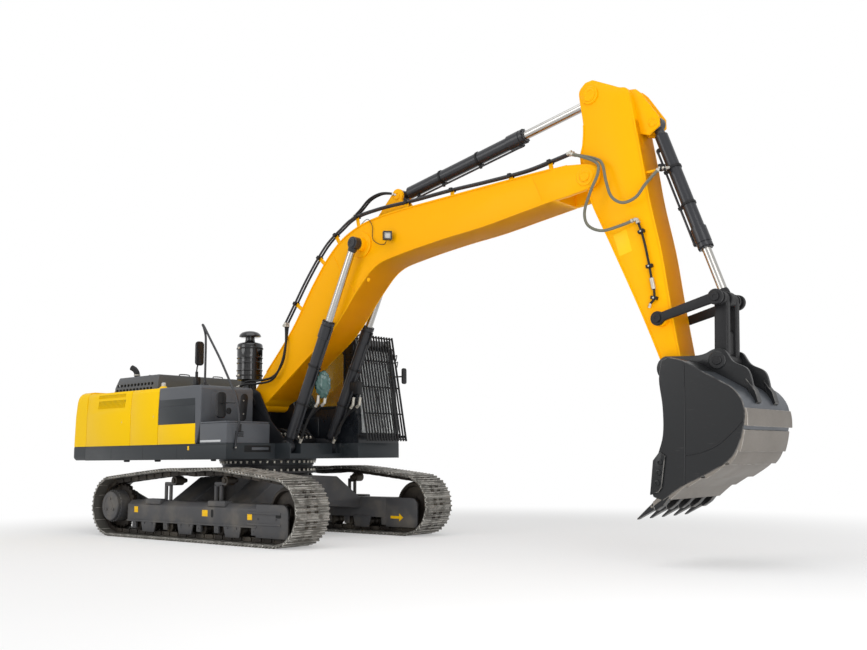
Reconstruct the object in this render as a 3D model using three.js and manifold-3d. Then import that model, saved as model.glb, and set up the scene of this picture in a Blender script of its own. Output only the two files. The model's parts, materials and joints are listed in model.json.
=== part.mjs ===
// Crawler excavator of the 33 tonne class: undercarriage, revolving upper with cab, and a
// boom, arm and bucket worked by four cylinders. Millimetres, +X forward, +Y left, +Z up,
// ground at Z = 0. Everything is laid out from the slewing axis, and the last lines move the
// whole machine so that the middle of its plan box stands over the origin.
import * as THREE from 'three';
import { mergeVertices } from 'three/addons/utils/BufferGeometryUtils.js';
import ManifoldModule from 'manifold-3d';

const wasm = await ManifoldModule();
wasm.setup();

// ---------------------------------------------------------------- driving dimensions
const seat = 0.3;                    // gap between pieces that touch
const running = 5;                   // gap between pieces that move past each other
const pinFit = 0.95;                 // a pin's play in its bushing, on the radius
const rodFit = 0.8;                  // a rod's play in its barrel, on the radius

// the track's radius is taken over the grousers; each carrier roller lifts the upper run
const track = {
  gauge: 2590, shoeWidth: 600, halfBase: 2020, radius: 470, shoes: 51,
  grouser: 25, grouserWidth: 28, plate: 20, chain: 70, chainWidth: 220,
  carriers: [{ x: -530, lift: 122 }, { x: 700, lift: 132 }],
};
// the beam's ends and rollers are measured from the rims of sprocket and idler, its sides from the chain
const trackBeam = {
  rearGap: 55, frontGap: 145, inward: 170, outward: 185, above: 100, chamfer: 70, wall: 30,
  rollers: 8, rollerRadius: 75, rollerHalf: 150, rollerLap: 5.3, rollerRear: 245, rollerFront: 214,
  carrierRadius: 70, guardReach: 150, guardBottom: 120, motorRadius: 230,
};
const carBody = { halfWidth: 600, bottom: 450, aboveTracks: 60, legInner: 380, legOuter: 960 };
const slewRing = { inner: 560, outer: 710, height: 95 };

const upper = {
  halfWidth: 1450, rear: -2980, rightFront: 790, noseFront: 1130, collar: 95, skirtHeight: 230,
  bodyHeight: 880, skirtWall: 20, deckPlate: 30,
};
const weight = { length: 470, crown: 40, cornerRadius: 420, tailBulge: 90, topSlope: 120, underSlope: 90 };
const bay = { split: -1670, front: -905, doorThickness: 40, doorGap: 8, shoulder: 60, plate: 30 };
const engine = { rear: -2600, front: -1730, right: -480, left: 520, height: 700 };
const hood = { rear: -2880, front: -1620, half: 1000, topHalf: 975, height: 290, shoulder: 90, wall: 25 };
const exhaust = { x: -2620, y: -740, radius: 38, height: 250 };
const tank = {
  front: 160, toe: 105, sideGap: 50, hydraulicRear: -880, hydraulicFront: -430, hydraulicHalf: 400,
};
const toolbox = { height: 320, wall: 25, lid: 25, inset: 100 };
const airFilter = {
  x: -250, y: -200, radius: 210, base: 150, shoulder: 750, neck: 75, capRadius: 175, top: 950,
};
const handRail = { radius: 17, inset: 150 };

const cab = {
  rear: -350, front: 1500, cylinderGap: 22, sideInset: 5, height: 1660, wall: 55, frontLean: 130,
  sill: 280, glass: 8, doorRear: 130, doorFront: 1180, doorBottom: 100, doorTop: 1520,
  hinge: 12, hingeHeights: [330, 1280],
};
const guard = { offset: 190, bars: 16, barRadius: 10, frameRadius: 20, bottom: 80, top: 1620 };

// reach and rise lead from the pin at the boom's foot to the pin at its tip
const boom = {
  footX: 20, footRise: 660, reach: 6139, rise: 2481, half: 280, wall: 22, collar: 20, footRadius: 145,
  forkDepth: 439, pin: 55, tipPin: 49,
};
const bracket = { thickness: 25 };
// reach and drop lead from the boom's tip pin to the bucket pin
const arm = {
  reach: 984, drop: 2410, half: 200, wall: 20, headRadius: 115, tipBoss: 120, bucketBoss: 120, guideBoss: 90,
  pin: 45, slotGap: 15, earPlate: 40,
};
const bucket = {
  half: 620, wall: 32, earGap: 12, earPlate: 50, armRoom: 412, pinEnd: 25, teeth: 5, toothWidth: 95,
  cutter: 25,
};
const links = { sideGap: 8, plate: 50, forkGap: 12, forkInset: 22, radius: 80 };

// barrel and rod radii, how long the barrel is from its foot pin, how much of the rod it
// holds at rest, and the half width and radius of the two eyes
const boomCylinder = {
  barrel: 88, rod: 55, gland: 2020, hold: 570, eyeHalf: 58, eyeRadius: 92, standoff: 37,
};
const armCylinder = { barrel: 95, rod: 58, gland: 2250, hold: 950, eyeHalf: 60, eyeRadius: 100 };
const bucketCylinder = { barrel: 84, rod: 52, gland: 1770, hold: 950, eyeHalf: 60, eyeRadius: 90 };

// ---------------------------------------------------------------- heights, widths and pins
const tumblerZ = track.radius;
const beltRadius = track.radius - track.grouser;
const belt = walker(beltLine());
const pitch = belt.total / track.shoes;
// the chain is flat between its joints, so the room for a wheel ends at the middle of a link
const halfLink = pitch / (2 * beltRadius);
const wheelPlay = 1.5;
const wheelRoom = (beltRadius - track.plate - track.chain) * Math.cos(halfLink) - wheelPlay;
const carBodyTop = 2 * track.radius + carBody.aboveTracks;
const ringTop = carBodyTop + slewRing.height;
const skirtBottom = ringTop + upper.collar;
const deck = skirtBottom + upper.skirtHeight;
const bodyTop = deck + upper.bodyHeight;
const tankTop = bodyTop - 4;         // the tanks end just below the doors
const weightRear = upper.rear - weight.length;

const chainInside = track.grouser + track.plate + track.chain + seat;
const beamBottom = chainInside + 2 * trackBeam.rollerRadius - trackBeam.rollerLap;
const beamTop = tumblerZ + trackBeam.above;
const beamInner = track.gauge / 2 - trackBeam.inward;
const beamOuter = track.gauge / 2 + trackBeam.outward;

const footHalf = boom.half + boom.collar;
boomCylinder.y = footHalf + bracket.thickness + boomCylinder.standoff + boomCylinder.eyeHalf;
const noseHalf = boomCylinder.y + boomCylinder.barrel + 32;
const tankInner = tank.hydraulicHalf + tank.sideGap;
const boxInner = noseHalf + toolbox.inset;
const railY = -(upper.halfWidth - handRail.inset);

const cabFloor = deck + seat;
const cabRoof = deck + cab.height;
const cabRight = boomCylinder.y + boomCylinder.barrel + cab.cylinderGap;
const cabLeft = upper.halfWidth - cab.sideInset;

const bucketEarInner = arm.half + bucket.earGap;
const bucketEarOuter = bucketEarInner + bucket.earPlate;
const guideInner = bucketEarOuter + links.sideGap;
const guideOuter = guideInner + links.plate;

// pins, as X and Z
const boomFoot = [boom.footX, deck + boom.footRise];
const boomTip = offset(boomFoot, [boom.reach, boom.rise]);
const bucketPin = offset(boomTip, [arm.reach, -arm.drop]);
const onBoom = between(boomFoot, boomTip);
const onArm = between(boomTip, bucketPin);
const armHead = offset(boomTip, [51, 1039]);
const guidePin = offset(bucketPin, [-83, 569]);
const bucketLinkPin = offset(bucketPin, [587, 49]);
const linkTop = offset(guidePin, [700, 170]);
boomCylinder.foot = [950, deck - 50];
boomCylinder.eye = onBoom([0.451, 1167]);
armCylinder.foot = onBoom([0.566, 1582]);
armCylinder.eye = armHead;
bucketCylinder.foot = offset(boomTip, [841, 529]);
bucketCylinder.eye = linkTop;

// ---------------------------------------------------------------- finishes
function finish(color, roughness, metalness) {
  return new THREE.MeshStandardMaterial({ color, roughness, metalness });
}


const yellow = () => finish(0xfdbf00, 0.4, 0.1);
const orange = () => finish(0xf5ac00, 0.4, 0.1);
const grey = () => finish(0x4a4b4e, 0.5, 0.1);
const charcoal = () => finish(0x232427, 0.55, 0.2);
const steel = () => finish(0x8d8577, 0.7, 0.6);
const chrome = () => finish(0xd0d0d0, 0.15, 1);
const glass = () => finish(0xa8c4cc, 0.05, 0);
const vinyl = () => finish(0x1d1d1f, 0.8, 0);

// ---------------------------------------------------------------- points and outlines
function offset([x, z], [dx, dz]) {
  return [x + dx, z + dz];
}

// places a point by its share of the way between two pins and its distance to the left
function between([x0, z0], [x1, z1]) {
  const line = new THREE.Vector2(x1 - x0, z1 - z0);
  const unit = line.clone().normalize();
  return ([share, off]) => [x0 + line.x * share - unit.y * off, z0 + line.y * share + unit.x * off];
}

function outline(points) {
  return new THREE.Shape(points.map(([a, b]) => new THREE.Vector2(a, b)));
}

// a smooth outline through points, as a list of points again
function smooth(points, steps) {
  const curve = new THREE.SplineCurve(points.map(([a, b]) => new THREE.Vector2(a, b)));
  return curve.getPoints(steps).map((p) => [p.x, p.y]);
}

// outlines are written in either direction; this makes them run anticlockwise
function orient(points) {
  const twice = points.reduce((sum, [x, z], i) => {
    const [nx, nz] = points[(i + 1) % points.length];
    return sum + x * nz - nx * z;
  }, 0);
  return twice < 0 ? [...points].reverse() : points;
}

// an outline moved inwards by a distance; the points run anticlockwise
function inset(points, distance) {
  return points.map(([x, z], i) => {
    const [px, pz] = points[(i + points.length - 1) % points.length];
    const [nx, nz] = points[(i + 1) % points.length];
    const a = new THREE.Vector2(x - px, z - pz).normalize();
    const b = new THREE.Vector2(nx - x, nz - z).normalize();
    const normal = new THREE.Vector2(-(a.y + b.y), a.x + b.x).normalize();
    const stretch = Math.max(0.5, Math.sqrt((1 + a.dot(b)) / 2));
    return [x + (normal.x * distance) / stretch, z + (normal.y * distance) / stretch];
  });
}

// the outline of a link with two round ends
function linkOutline([x0, z0], [x1, z1], radius) {
  const steps = 10;
  const along = Math.atan2(z1 - z0, x1 - x0);
  const end = (x, z, start) => Array.from({ length: steps + 1 }, (_, i) => {
    const angle = along + start + (Math.PI * i) / steps;
    return [x + radius * Math.cos(angle), z + radius * Math.sin(angle)];
  });
  return [...end(x0, z0, Math.PI / 2), ...end(x1, z1, -Math.PI / 2)];
}

// ---------------------------------------------------------------- solids
function solid(geometry) {
  const bare = geometry.clone();
  for (const name of Object.keys(bare.attributes)) {
    if (name !== 'position') bare.deleteAttribute(name);
  }
  const closed = mergeVertices(bare, 1e-3);
  return new wasm.Manifold(new wasm.Mesh({
    numProp: 3,
    vertProperties: new Float32Array(closed.attributes.position.array),
    triVerts: new Uint32Array(closed.index.array),
  }));
}

function join(...pieces) {
  return pieces.reduce((whole, piece) => whole.add(piece));
}

function cut(body, ...tools) {
  return tools.reduce((rest, tool) => rest.subtract(tool), body);
}

function box(x0, x1, y0, y1, z0, z1) {
  const shape = new THREE.BoxGeometry(x1 - x0, y1 - y0, z1 - z0);
  return solid(shape.translate((x0 + x1) / 2, (y0 + y1) / 2, (z0 + z1) / 2));
}

// a plate whose outline lies in X and Z, from y0 to y1
function sidePlate(points, y0, y1) {
  const shape = points instanceof THREE.Shape ? points : outline(orient(points));
  const body = new THREE.ExtrudeGeometry(shape, { depth: y1 - y0, bevelEnabled: false, curveSegments: 4 });
  return solid(body.rotateX(Math.PI / 2).translate(0, y1, 0));
}

// a plate whose outline lies in X and Y, from z0 to z1
function flatPlate(points, z0, z1) {
  const shape = points instanceof THREE.Shape ? points : outline(orient(points));
  const body = new THREE.ExtrudeGeometry(shape, { depth: z1 - z0, bevelEnabled: false, curveSegments: 8 });
  return solid(body.translate(0, 0, z0));
}

// a plate whose outline lies in Y and Z, from x0 to x1
function crossPlate(points, x0, x1) {
  const shape = outline(orient(points));
  const body = new THREE.ExtrudeGeometry(shape, { depth: x1 - x0, bevelEnabled: false });
  return solid(body.rotateX(Math.PI / 2).rotateZ(Math.PI / 2).translate(x0, 0, 0));
}

function rod(from, to, radius, sides = 16) {
  const a = new THREE.Vector3(...from);
  const b = new THREE.Vector3(...to);
  const body = new THREE.CylinderGeometry(radius, radius, a.distanceTo(b), sides);
  const line = b.clone().sub(a).normalize();
  body.applyQuaternion(new THREE.Quaternion().setFromUnitVectors(new THREE.Vector3(0, 1, 0), line));
  const middle = a.add(b).multiplyScalar(0.5);
  return solid(body.translate(middle.x, middle.y, middle.z));
}

// a round pin or boss across the machine, centred on a point given as X and Z
function across([x, z], y0, y1, radius, sides = 20) {
  return rod([x, y0, z], [x, y1, z], radius, sides);
}

// a round piece about an upright axis, from its profile of radius and height
function turned(profile, x, y, sides = 32) {
  const body = new THREE.LatheGeometry(profile.map(([r, z]) => new THREE.Vector2(r, z)), sides);
  return solid(body.rotateX(Math.PI / 2).translate(x, y, 0));
}

// a round piece about an axis across the machine, from its profile of radius and Y
function wheel(profile, [x, z], sides = 36) {
  const body = new THREE.LatheGeometry(profile.map(([r, y]) => new THREE.Vector2(r, y)), sides);
  return solid(body.translate(x, 0, z));
}

function tube(points, radius, steps, sides = 10) {
  const path = new THREE.CatmullRomCurve3(points.map((p) => new THREE.Vector3(...p)));
  const section = outline(Array.from({ length: sides }, (_, i) => {
    const angle = (2 * Math.PI * i) / sides;
    return [radius * Math.cos(angle), radius * Math.sin(angle)];
  }));
  return solid(new THREE.ExtrudeGeometry(section, { steps, extrudePath: path, bevelEnabled: false }));
}

const machine = new THREE.Group();

function add(name, body, material) {
  const mesh = body.getMesh();
  const geometry = new THREE.BufferGeometry();
  geometry.setAttribute('position', new THREE.BufferAttribute(new Float32Array(mesh.vertProperties), 3));
  geometry.setIndex(new THREE.BufferAttribute(new Uint32Array(mesh.triVerts), 1));
  geometry.computeVertexNormals();
  const piece = new THREE.Mesh(geometry, material);
  piece.name = name;
  machine.add(piece);
}

// pieces that come in pairs are drawn on the right, where Y is negative
const both = [['right', (body) => body], ['left', (body) => body.mirror([0, 1, 0])]];

function pair(body) {
  return both.map(([, place]) => place(body));
}

// ---------------------------------------------------------------- undercarriage
const chainY = -track.gauge / 2;

// the line of the shoe plates' outer faces, anticlockwise, as one closed polyline
function beltLine() {
  const points = [];
  const arcSteps = 24;
  const sag = 12;
  const arc = (x, from, to) => {
    for (let i = 0; i <= arcSteps; i += 1) {
      const angle = from + ((to - from) * i) / arcSteps;
      const [ax, az] = [beltRadius * Math.cos(angle), beltRadius * Math.sin(angle)];
      points.push(new THREE.Vector2(x + ax, tumblerZ + az));
    }
  };
  const [rear, front] = track.carriers;
  const onRoller = ({ x, lift }) => [x, 2 * track.radius + lift - track.grouser];
  const top = tumblerZ + beltRadius;
  const middle = [(rear.x + front.x) / 2, onRoller(rear)[1] - sag];
  arc(track.halfBase, -Math.PI / 2, Math.PI / 2);
  smooth([[track.halfBase, top], onRoller(front), middle, onRoller(rear), [-track.halfBase, top]], arcSteps)
    .slice(1, -1).forEach(([x, z]) => points.push(new THREE.Vector2(x, z)));
  arc(-track.halfBase, Math.PI / 2, (3 * Math.PI) / 2);
  points.push(points[0].clone());
  return points;
}

// walks along a polyline: a point and its outward normal at each distance
function walker(points) {
  const lengths = [0];
  for (let i = 1; i < points.length; i += 1) {
    lengths.push(lengths[i - 1] + points[i].distanceTo(points[i - 1]));
  }
  const total = lengths[lengths.length - 1];
  const at = (distance) => {
    const s = ((distance % total) + total) % total;
    let i = 1;
    while (lengths[i] < s) i += 1;
    const t = (s - lengths[i - 1]) / (lengths[i] - lengths[i - 1]);
    const tangent = points[i].clone().sub(points[i - 1]).normalize();
    const point = points[i - 1].clone().lerp(points[i], t);
    return { point, normal: new THREE.Vector2(tangent.y, -tangent.x) };
  };
  return { total, at };
}

function trackLoop() {
  const place = (s, out) => {
    const { point, normal } = belt.at(s);
    return [point.x + normal.x * out, point.y + normal.y * out];
  };
  const ring = (out) => Array.from({ length: track.shoes }, (_, i) => place(i * pitch, out));
  const ridge = track.grouserWidth / 2;
  const outer = ring(0).flatMap((_, i) => {
    const middle = (i + 0.5) * pitch;
    return [[-ridge, 0], [-ridge, track.grouser], [ridge, track.grouser], [ridge, 0]]
      .map(([along, out]) => place(middle + along, out));
  });
  const loop = (outside, hole, half) => {
    const shape = outline(outside);
    shape.holes.push(new THREE.Path(hole.map(([a, b]) => new THREE.Vector2(a, b))));
    return sidePlate(shape, chainY - half, chainY + half);
  };
  const shoes = loop(outer, ring(-track.plate), track.shoeWidth / 2);
  const chain = loop(ring(-track.plate / 2), ring(-track.plate - track.chain), track.chainWidth / 2);
  return join(shoes, chain);
}

// box beam with its rollers, the idler's yoke and guard in front and the motor's mount behind
function trackFrame() {
  const b = trackBeam;
  const rear = wheelRoom + b.rearGap - track.halfBase;
  const front = track.halfBase - wheelRoom - b.frontGap;
  const lap = 20;
  const parts = [crossPlate([
    [-beamInner, beamBottom], [-beamInner, beamTop], [b.chamfer - beamOuter, beamTop],
    [-beamOuter, beamTop - b.chamfer], [-beamOuter, beamBottom],
  ], rear, front)];
  const first = wheelRoom + b.rollerRear - track.halfBase;
  const last = track.halfBase - wheelRoom - b.rollerFront;
  for (let i = 0; i < b.rollers; i += 1) {
    const axle = [first + ((last - first) * i) / (b.rollers - 1), chainInside + b.rollerRadius];
    parts.push(across(axle, chainY - b.rollerHalf, chainY + b.rollerHalf, b.rollerRadius, 14));
  }
  const nose = track.halfBase + b.guardReach;
  const yoke = [
    [front - lap, b.guardBottom], [nose, b.guardBottom], [nose, beamTop], [front - lap, beamTop],
  ];
  const mount = [
    [-track.halfBase, tumblerZ - b.motorRadius], [rear + lap, beamBottom + 40], [rear + lap, beamTop],
    [-track.halfBase, tumblerZ + b.motorRadius],
  ];
  parts.push(
    sidePlate(yoke, -beamOuter, b.wall - beamOuter),
    sidePlate(yoke, -beamInner - b.wall, -beamInner),
    sidePlate(mount, -beamInner - b.wall, 10 - beamInner),
    across([-track.halfBase, tumblerZ], -beamInner - b.wall, 2 * b.wall - beamInner, b.motorRadius),
  );
  for (const { x, lift } of track.carriers) {
    const z = 2 * track.radius + lift - chainInside - 4 - b.carrierRadius;
    parts.push(
      box(x - 80, x + 80, -beamInner - 60, -beamInner - 20, beamTop - 10, z + 20),
      across([x, z], -beamInner - 280, -beamInner - 30, b.carrierRadius, 14),
    );
  }
  return join(...parts);
}

function idler() {
    const half = 85;
  const hub = 110;
  const boss = half + 25;
  const body = wheel([
    [0, chainY - boss], [hub, chainY - boss], [hub, chainY - half], [wheelRoom, chainY - half],
    [wheelRoom, chainY + half], [hub, chainY + half], [hub, chainY + boss], [0, chainY + boss],
  ], [track.halfBase, tumblerZ], 24);
  const outside = trackBeam.wall + seat - beamOuter;
  const inside = -beamInner - trackBeam.wall - seat;
  return join(body, across([track.halfBase, tumblerZ], outside, inside, 60));
}

// toothed rim about the round housing of the final drive, which stands out of the track
function driveSprocket() {
  const teeth = 21;
  const toothDepth = 32;
  const axis = [-track.halfBase, tumblerZ];
  const rim = Array.from({ length: 2 * teeth }, (_, i) => {
    const radius = i % 2 ? wheelRoom : wheelRoom - toothDepth;
    const angle = (Math.PI * i) / teeth;
    return offset(axis, [radius * Math.cos(angle), radius * Math.sin(angle)]);
  });
  return join(
    sidePlate(rim, chainY - 40, chainY + 40),
    across(axis, chainY - 215, chainY + 60, 250),
    across(axis, chainY - 255, chainY - 200, 225),
    across(axis, chainY + 50, -beamInner - trackBeam.wall - seat, 200),
  );
}

function addUndercarriage() {
  const c = carBody;
  const end = beamInner - seat;
  const half = [
    [c.halfWidth, carBodyTop - 90], [end, beamTop - 10], [end, beamBottom + 130], [c.halfWidth, c.bottom],
  ];
  const section = [[0, carBodyTop - 60], ...half, ...[...half].reverse().map(([y, z]) => [-y, z])];
  const drumRadius = slewRing.outer - 60;
  const flange = slewRing.outer + 10;
  const drum = turned([
    [0, c.bottom], [drumRadius, c.bottom], [drumRadius, carBodyTop - 40], [flange, carBodyTop - 40],
    [flange, carBodyTop], [0, carBodyTop],
  ], 0, 0);
  const legs = [crossPlate(section, -c.legOuter, -c.legInner), crossPlate(section, c.legInner, c.legOuter)];
  add('car_body', join(...legs, drum), charcoal());
  add('swing_bearing', ringOf(slewRing.inner, slewRing.outer, carBodyTop + seat, ringTop), charcoal());
  for (const [name, place] of both) {
    add(`track_frame_${name}`, place(trackFrame()), charcoal());
    add(`track_${name}`, place(trackLoop()), steel());
    add(`idler_${name}`, place(idler()), charcoal());
    add(`drive_sprocket_${name}`, place(driveSprocket()), charcoal());
  }
}

function ringOf(inner, outer, z0, z1) {
  return turned([[inner, z0], [outer, z0], [outer, z1], [inner, z1], [inner, z0]], 0, 0, 40);
}

// ---------------------------------------------------------------- revolving upper
// deck with its skirt, open from below between its webs, and grooved for the boom cylinders
function deckPlate() {
  const u = upper;
  const w = u.skirtWall;
  const plan = [
    [u.rear, -u.halfWidth], [u.rightFront, -u.halfWidth], [u.rightFront, -noseHalf], [u.noseFront, -noseHalf],
    [u.noseFront, cabRight - 10], [cab.front, cabRight - 10], [cab.front, u.halfWidth], [u.rear, u.halfWidth],
  ];
  const side = u.halfWidth - w;
  const ringRear = -slewRing.outer - 50;
  const ringFront = 340;
  const spans = [
    [u.rear + w, ringRear, -side, -noseHalf - w], [ringRear + w, u.rightFront - w, -side, -noseHalf - w],
    [u.rear + w, ringRear, noseHalf + w, side], [ringRear + w, ringFront, noseHalf + w, side],
    [ringFront + w, cab.front - w, noseHalf + w, side],
    [u.rear + w, -1900, -noseHalf, noseHalf], [-1900 + w, ringRear - 100, -noseHalf, noseHalf],
  ];
  const pockets = spans.map(([x0, x1, y0, y1]) => box(x0, x1, y0, y1, skirtBottom - 10, deck - u.deckPlate));
  return cut(flatPlate(plan, skirtBottom, deck), ...pockets);
}

// the two plates that carry the boom's foot and, outside them, the feet of its cylinders
function addRevolvingFrame() {
  const [fx, fz] = boomFoot;
  const [cx, cz] = boomCylinder.foot;
  const rear = tank.hydraulicFront + 40;
  const cheek = [
    [rear, deck - 20], [cx + 140, deck - 20], [cx + 110, cz + 95], [cx, cz + 130], [cx - 210, cz + 130],
    [fx + 410, fz - 310], [fx + 240, fz - 40], [fx + 125, fz + 145], [fx - 10, fz + 212],
    [fx - 150, fz + 212], [fx - 270, fz + 100], [rear, deck + 80],
  ];
  const face = footHalf + seat;
  const floor = cz - boomCylinder.eyeRadius - 12;
  const eyeInner = boomCylinder.y - boomCylinder.eyeHalf - seat;
  const eyeOuter = boomCylinder.y + boomCylinder.eyeHalf + seat;
  const lug = [
    [cx - 130, floor - 5], [cx - 90, cz + 60], [cx, cz + 95], [cx + 80, cz + 50], [cx + 105, floor - 5],
  ];
  const grooveHalf = boomCylinder.barrel + 8;
  const grooveY = -boomCylinder.y;
  const groove = box(
    cx - 150, upper.noseFront + 10, grooveY - grooveHalf, grooveY + grooveHalf, floor, deck + 10,
  );
  const collar = ringOf(slewRing.inner, slewRing.outer + 15, ringTop + seat, skirtBottom + 30);
  const base = cut(join(deckPlate(), collar), ...pair(groove));
  const carried = join(
    sidePlate(cheek, -face - bracket.thickness, -face),
    sidePlate(lug, -eyeOuter - 35, -eyeOuter),
    across(boomCylinder.foot, -eyeInner, -footHalf - 10, 60),
  );
  const pin = across(boomFoot, -footHalf - 75, footHalf + 75, boom.pin);
  add('revolving_frame', join(base, ...pair(carried), pin), charcoal());
}

function addCounterweight() {
  const w = weight;
  const front = upper.rear - seat;
  const side = upper.halfWidth;
  const corner = side - w.cornerRadius;
  const plan = new THREE.Shape();
  plan.moveTo(front, -side);
  plan.lineTo(front, side);
  plan.quadraticCurveTo(weightRear + 60, side - 20, weightRear + 40, corner);
  plan.quadraticCurveTo(weightRear + 5 - w.tailBulge / 2, 0, weightRear + 40, -corner);
  plan.quadraticCurveTo(weightRear + 60, 20 - side, front, -side);
  const top = bodyTop + w.crown;
  const behind = weightRear - 50;
  const block = flatPlate(plan, skirtBottom + 5, top);
  const topCut = [[behind, top - w.topSlope], [weightRear + 150, top + 20], [behind, top + 20]];
  const under = skirtBottom - 10;
  const lowCut = [[behind, skirtBottom + w.underSlope], [behind, under], [weightRear + 110, under]];
  const slopes = [topCut, lowCut].map((points) => sidePlate(points, -side - 50, side + 50));
  add('counterweight', cut(block, ...slopes), yellow());
}

// frame behind the doors: a roof with an opening under the hood, on three bulkheads
function addEngineBay() {
  const z0 = deck + seat;
  const inside = upper.halfWidth - bay.doorThickness - seat;
  const underFold = inside - 30;
  const bulkhead = (x) => join(
    box(x, x + bay.plate, -inside, inside, z0, bodyTop - bay.shoulder - 5),
    box(x, x + bay.plate, -underFold, underFold, bodyTop - bay.shoulder - 20, bodyTop - 40),
  );
  const middle = cut(
    bulkhead(bay.split - bay.plate / 2),
    box(bay.split - 50, bay.split + 50, -800, 800, z0 + 60, bodyTop - 200),
  );
  const lip = 60;
  const roof = cut(
    box(upper.rear + 2, bay.front - 2, -underFold, underFold, bodyTop - 50, bodyTop - seat),
    box(hood.rear + lip, hood.front - lip, lip - hood.half, hood.half - lip, bodyTop - 100, bodyTop + 10),
  );
  const ends = [upper.rear + 2, bay.front - 2 - bay.plate].map(bulkhead);
  add('engine_bay_frame', join(roof, ...ends, middle), charcoal());
  const { rear, front, right, left, height } = engine;
  add('engine_block', box(rear, front, right, left, z0, deck + height), charcoal());
}

// four doors with a fold along their upper edge, hung at their rear edges
function addDoors() {
  const side = upper.halfWidth;
  const t = bay.doorThickness;
  const fold = bodyTop - bay.shoulder;
  const section = [
    [-side, deck + seat], [-side, fold], [30 - side, bodyTop], [30 + t - side, bodyTop], [t - side, fold],
    [t - side, deck + seat],
  ];
  const spans = [
    ['rear', upper.rear + bay.doorGap / 2, bay.split - bay.doorGap / 2],
    ['front', bay.split + bay.doorGap / 2, bay.front - bay.doorGap],
  ];
  for (const [name, place] of both) {
    for (const [end, x0, x1] of spans) {
      add(`${name}_${end}_door`, place(crossPlate(section, x0, x1)), yellow());
    }
  }
}

function addHood() {
  const h = hood;
  const shell = (grow, base) => {
    const low = h.half - grow;
    const high = h.topHalf - grow;
    const shoulder = bodyTop + h.shoulder - grow;
    const top = bodyTop + h.height - grow;
    return crossPlate([
      [-low, bodyTop + base], [-low, shoulder], [-high, top],
      [high, top], [low, shoulder], [low, bodyTop + base],
    ], h.rear + grow, h.front - grow);
  };
  const past = h.half + 10;
  const top = bodyTop + h.height + 5;
  const slopeSide = [[h.rear - 10, bodyTop + 110], [h.rear + 100, top], [h.rear - 10, top]];
  const slope = sidePlate(slopeSide, -past, past);
  add('engine_hood', cut(shell(0, seat), shell(h.wall, -20), slope), grey());
  const { x, y, radius, height } = exhaust;
  const base = bodyTop + h.height + seat;
  const pipe = [
    [x, y, base], [x, y, base + 0.36 * height], [x - 20, y - 10, base + 0.68 * height],
    [x - 75, y - 40, base + height],
  ];
  add('exhaust_pipe', tube(pipe, radius, 7), charcoal());
}

// ---------------------------------------------------------------- tanks and boxes on the deck
function addTanks() {
  const z0 = deck + seat;
  const rear = bay.front + running;
  const side = upper.halfWidth;
  const block = box(rear, tank.front, -side, -tankInner, z0, tankTop);
  const knee = z0 + (tankTop - z0) * 0.34;
  const toe = [[tank.front - tank.toe, z0 - 5], [tank.front + 20, z0 - 5], [tank.front + 20, knee]];
  add('fuel_tank', cut(block, sidePlate(toe, -side - 10, 10 - tankInner)), grey());
  const half = tank.hydraulicHalf;
  const hydraulic = box(tank.hydraulicRear, tank.hydraulicFront, -half, half, z0, bodyTop - 50);
  add('hydraulic_tank', hydraulic, charcoal());
  add('left_body_panel', box(rear, cab.rear - 30, half + 30, side, z0, tankTop), grey());
}

function addToolbox() {
  const z0 = deck + seat;
  const x0 = tank.front + seat;
  const x1 = upper.rightFront;
  const top = deck + toolbox.height;
  const rim = top - toolbox.lid - seat;
  const w = toolbox.wall;
  const side = upper.halfWidth;
  const section = [[x0, z0], [x1, z0], [x1, top - 30], [x1 - 20, rim], [x0, rim]];
  const outside = sidePlate(section, -side, -boxInner);
  const room = box(x0 + w, x1 - w, w - side, -boxInner - w, z0 + w, top + 20);
  add('toolbox', cut(outside, room), grey());
  add('toolbox_lid', box(x0 + running, x1 - 20, -side, -boxInner, top - toolbox.lid, top), grey());
}

// a round pre-cleaner on a square post, with a mushroom cap on its neck
function addAirFilter() {
  const a = airFilter;
  const z = (height) => bodyTop + height;
  const body = turned([
    [0, z(a.base)], [a.radius, z(a.base)], [a.radius, z(a.shoulder - 30)], [a.radius - 40, z(a.shoulder)],
    [a.neck, z(a.shoulder + 20)], [a.neck, z(a.top - 110)], [a.capRadius, z(a.top - 80)],
    [a.capRadius - 20, z(a.top - 30)], [60, z(a.top)], [0, z(a.top)],
  ], a.x, a.y, 20);
  const post = box(a.x - 120, a.x + 60, a.y - 70, a.y + 70, deck + seat, z(a.base + 40));
  add('air_filter', join(body, post), vinyl());
}

// the rail rises beside the toolbox, leans back over the tank and comes down on it
function addHandrail() {
  const r = handRail.radius;
  const x0 = upper.rightFront + r + seat + 1;
  const rise = (share) => deck + share * (bodyTop - deck);
  const end = tankTop + seat;
  const xs = tank.front - 100;
  const rail = tube([
    [x0, rise(-0.1)], [x0 + 15, rise(0.06)], [x0 + 75, rise(0.3)], [x0 + 72, rise(0.49)],
    [x0 + 15, rise(0.75)], [x0 - 148, bodyTop + 20], [xs + 350, bodyTop + 380], [xs + 100, bodyTop + 700],
    [xs - 50, bodyTop + 895], [xs - 90, bodyTop + 925], [xs - 60, bodyTop + 880], [xs - 12, bodyTop + 760],
    [xs, bodyTop + 600], [xs, bodyTop + 100], [xs, end],
  ].map(([x, z]) => [x, railY, z]), r, 34, 6);
  const foot = rise(-0.09);
  const tab = box(upper.rightFront + seat, x0 + 10, railY - 12, railY + 12, foot, foot + 30);
  add('handrail', join(rail, tab), charcoal());
}

// ---------------------------------------------------------------- cab
const sillZ = deck + cab.sill;
const browZ = cabRoof - 130;

// the front face leans back above the sill
function cabFaceX(z) {
  return cab.front - cab.frontLean * Math.max(0, (z - sillZ) / (browZ - sillZ));
}

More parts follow.
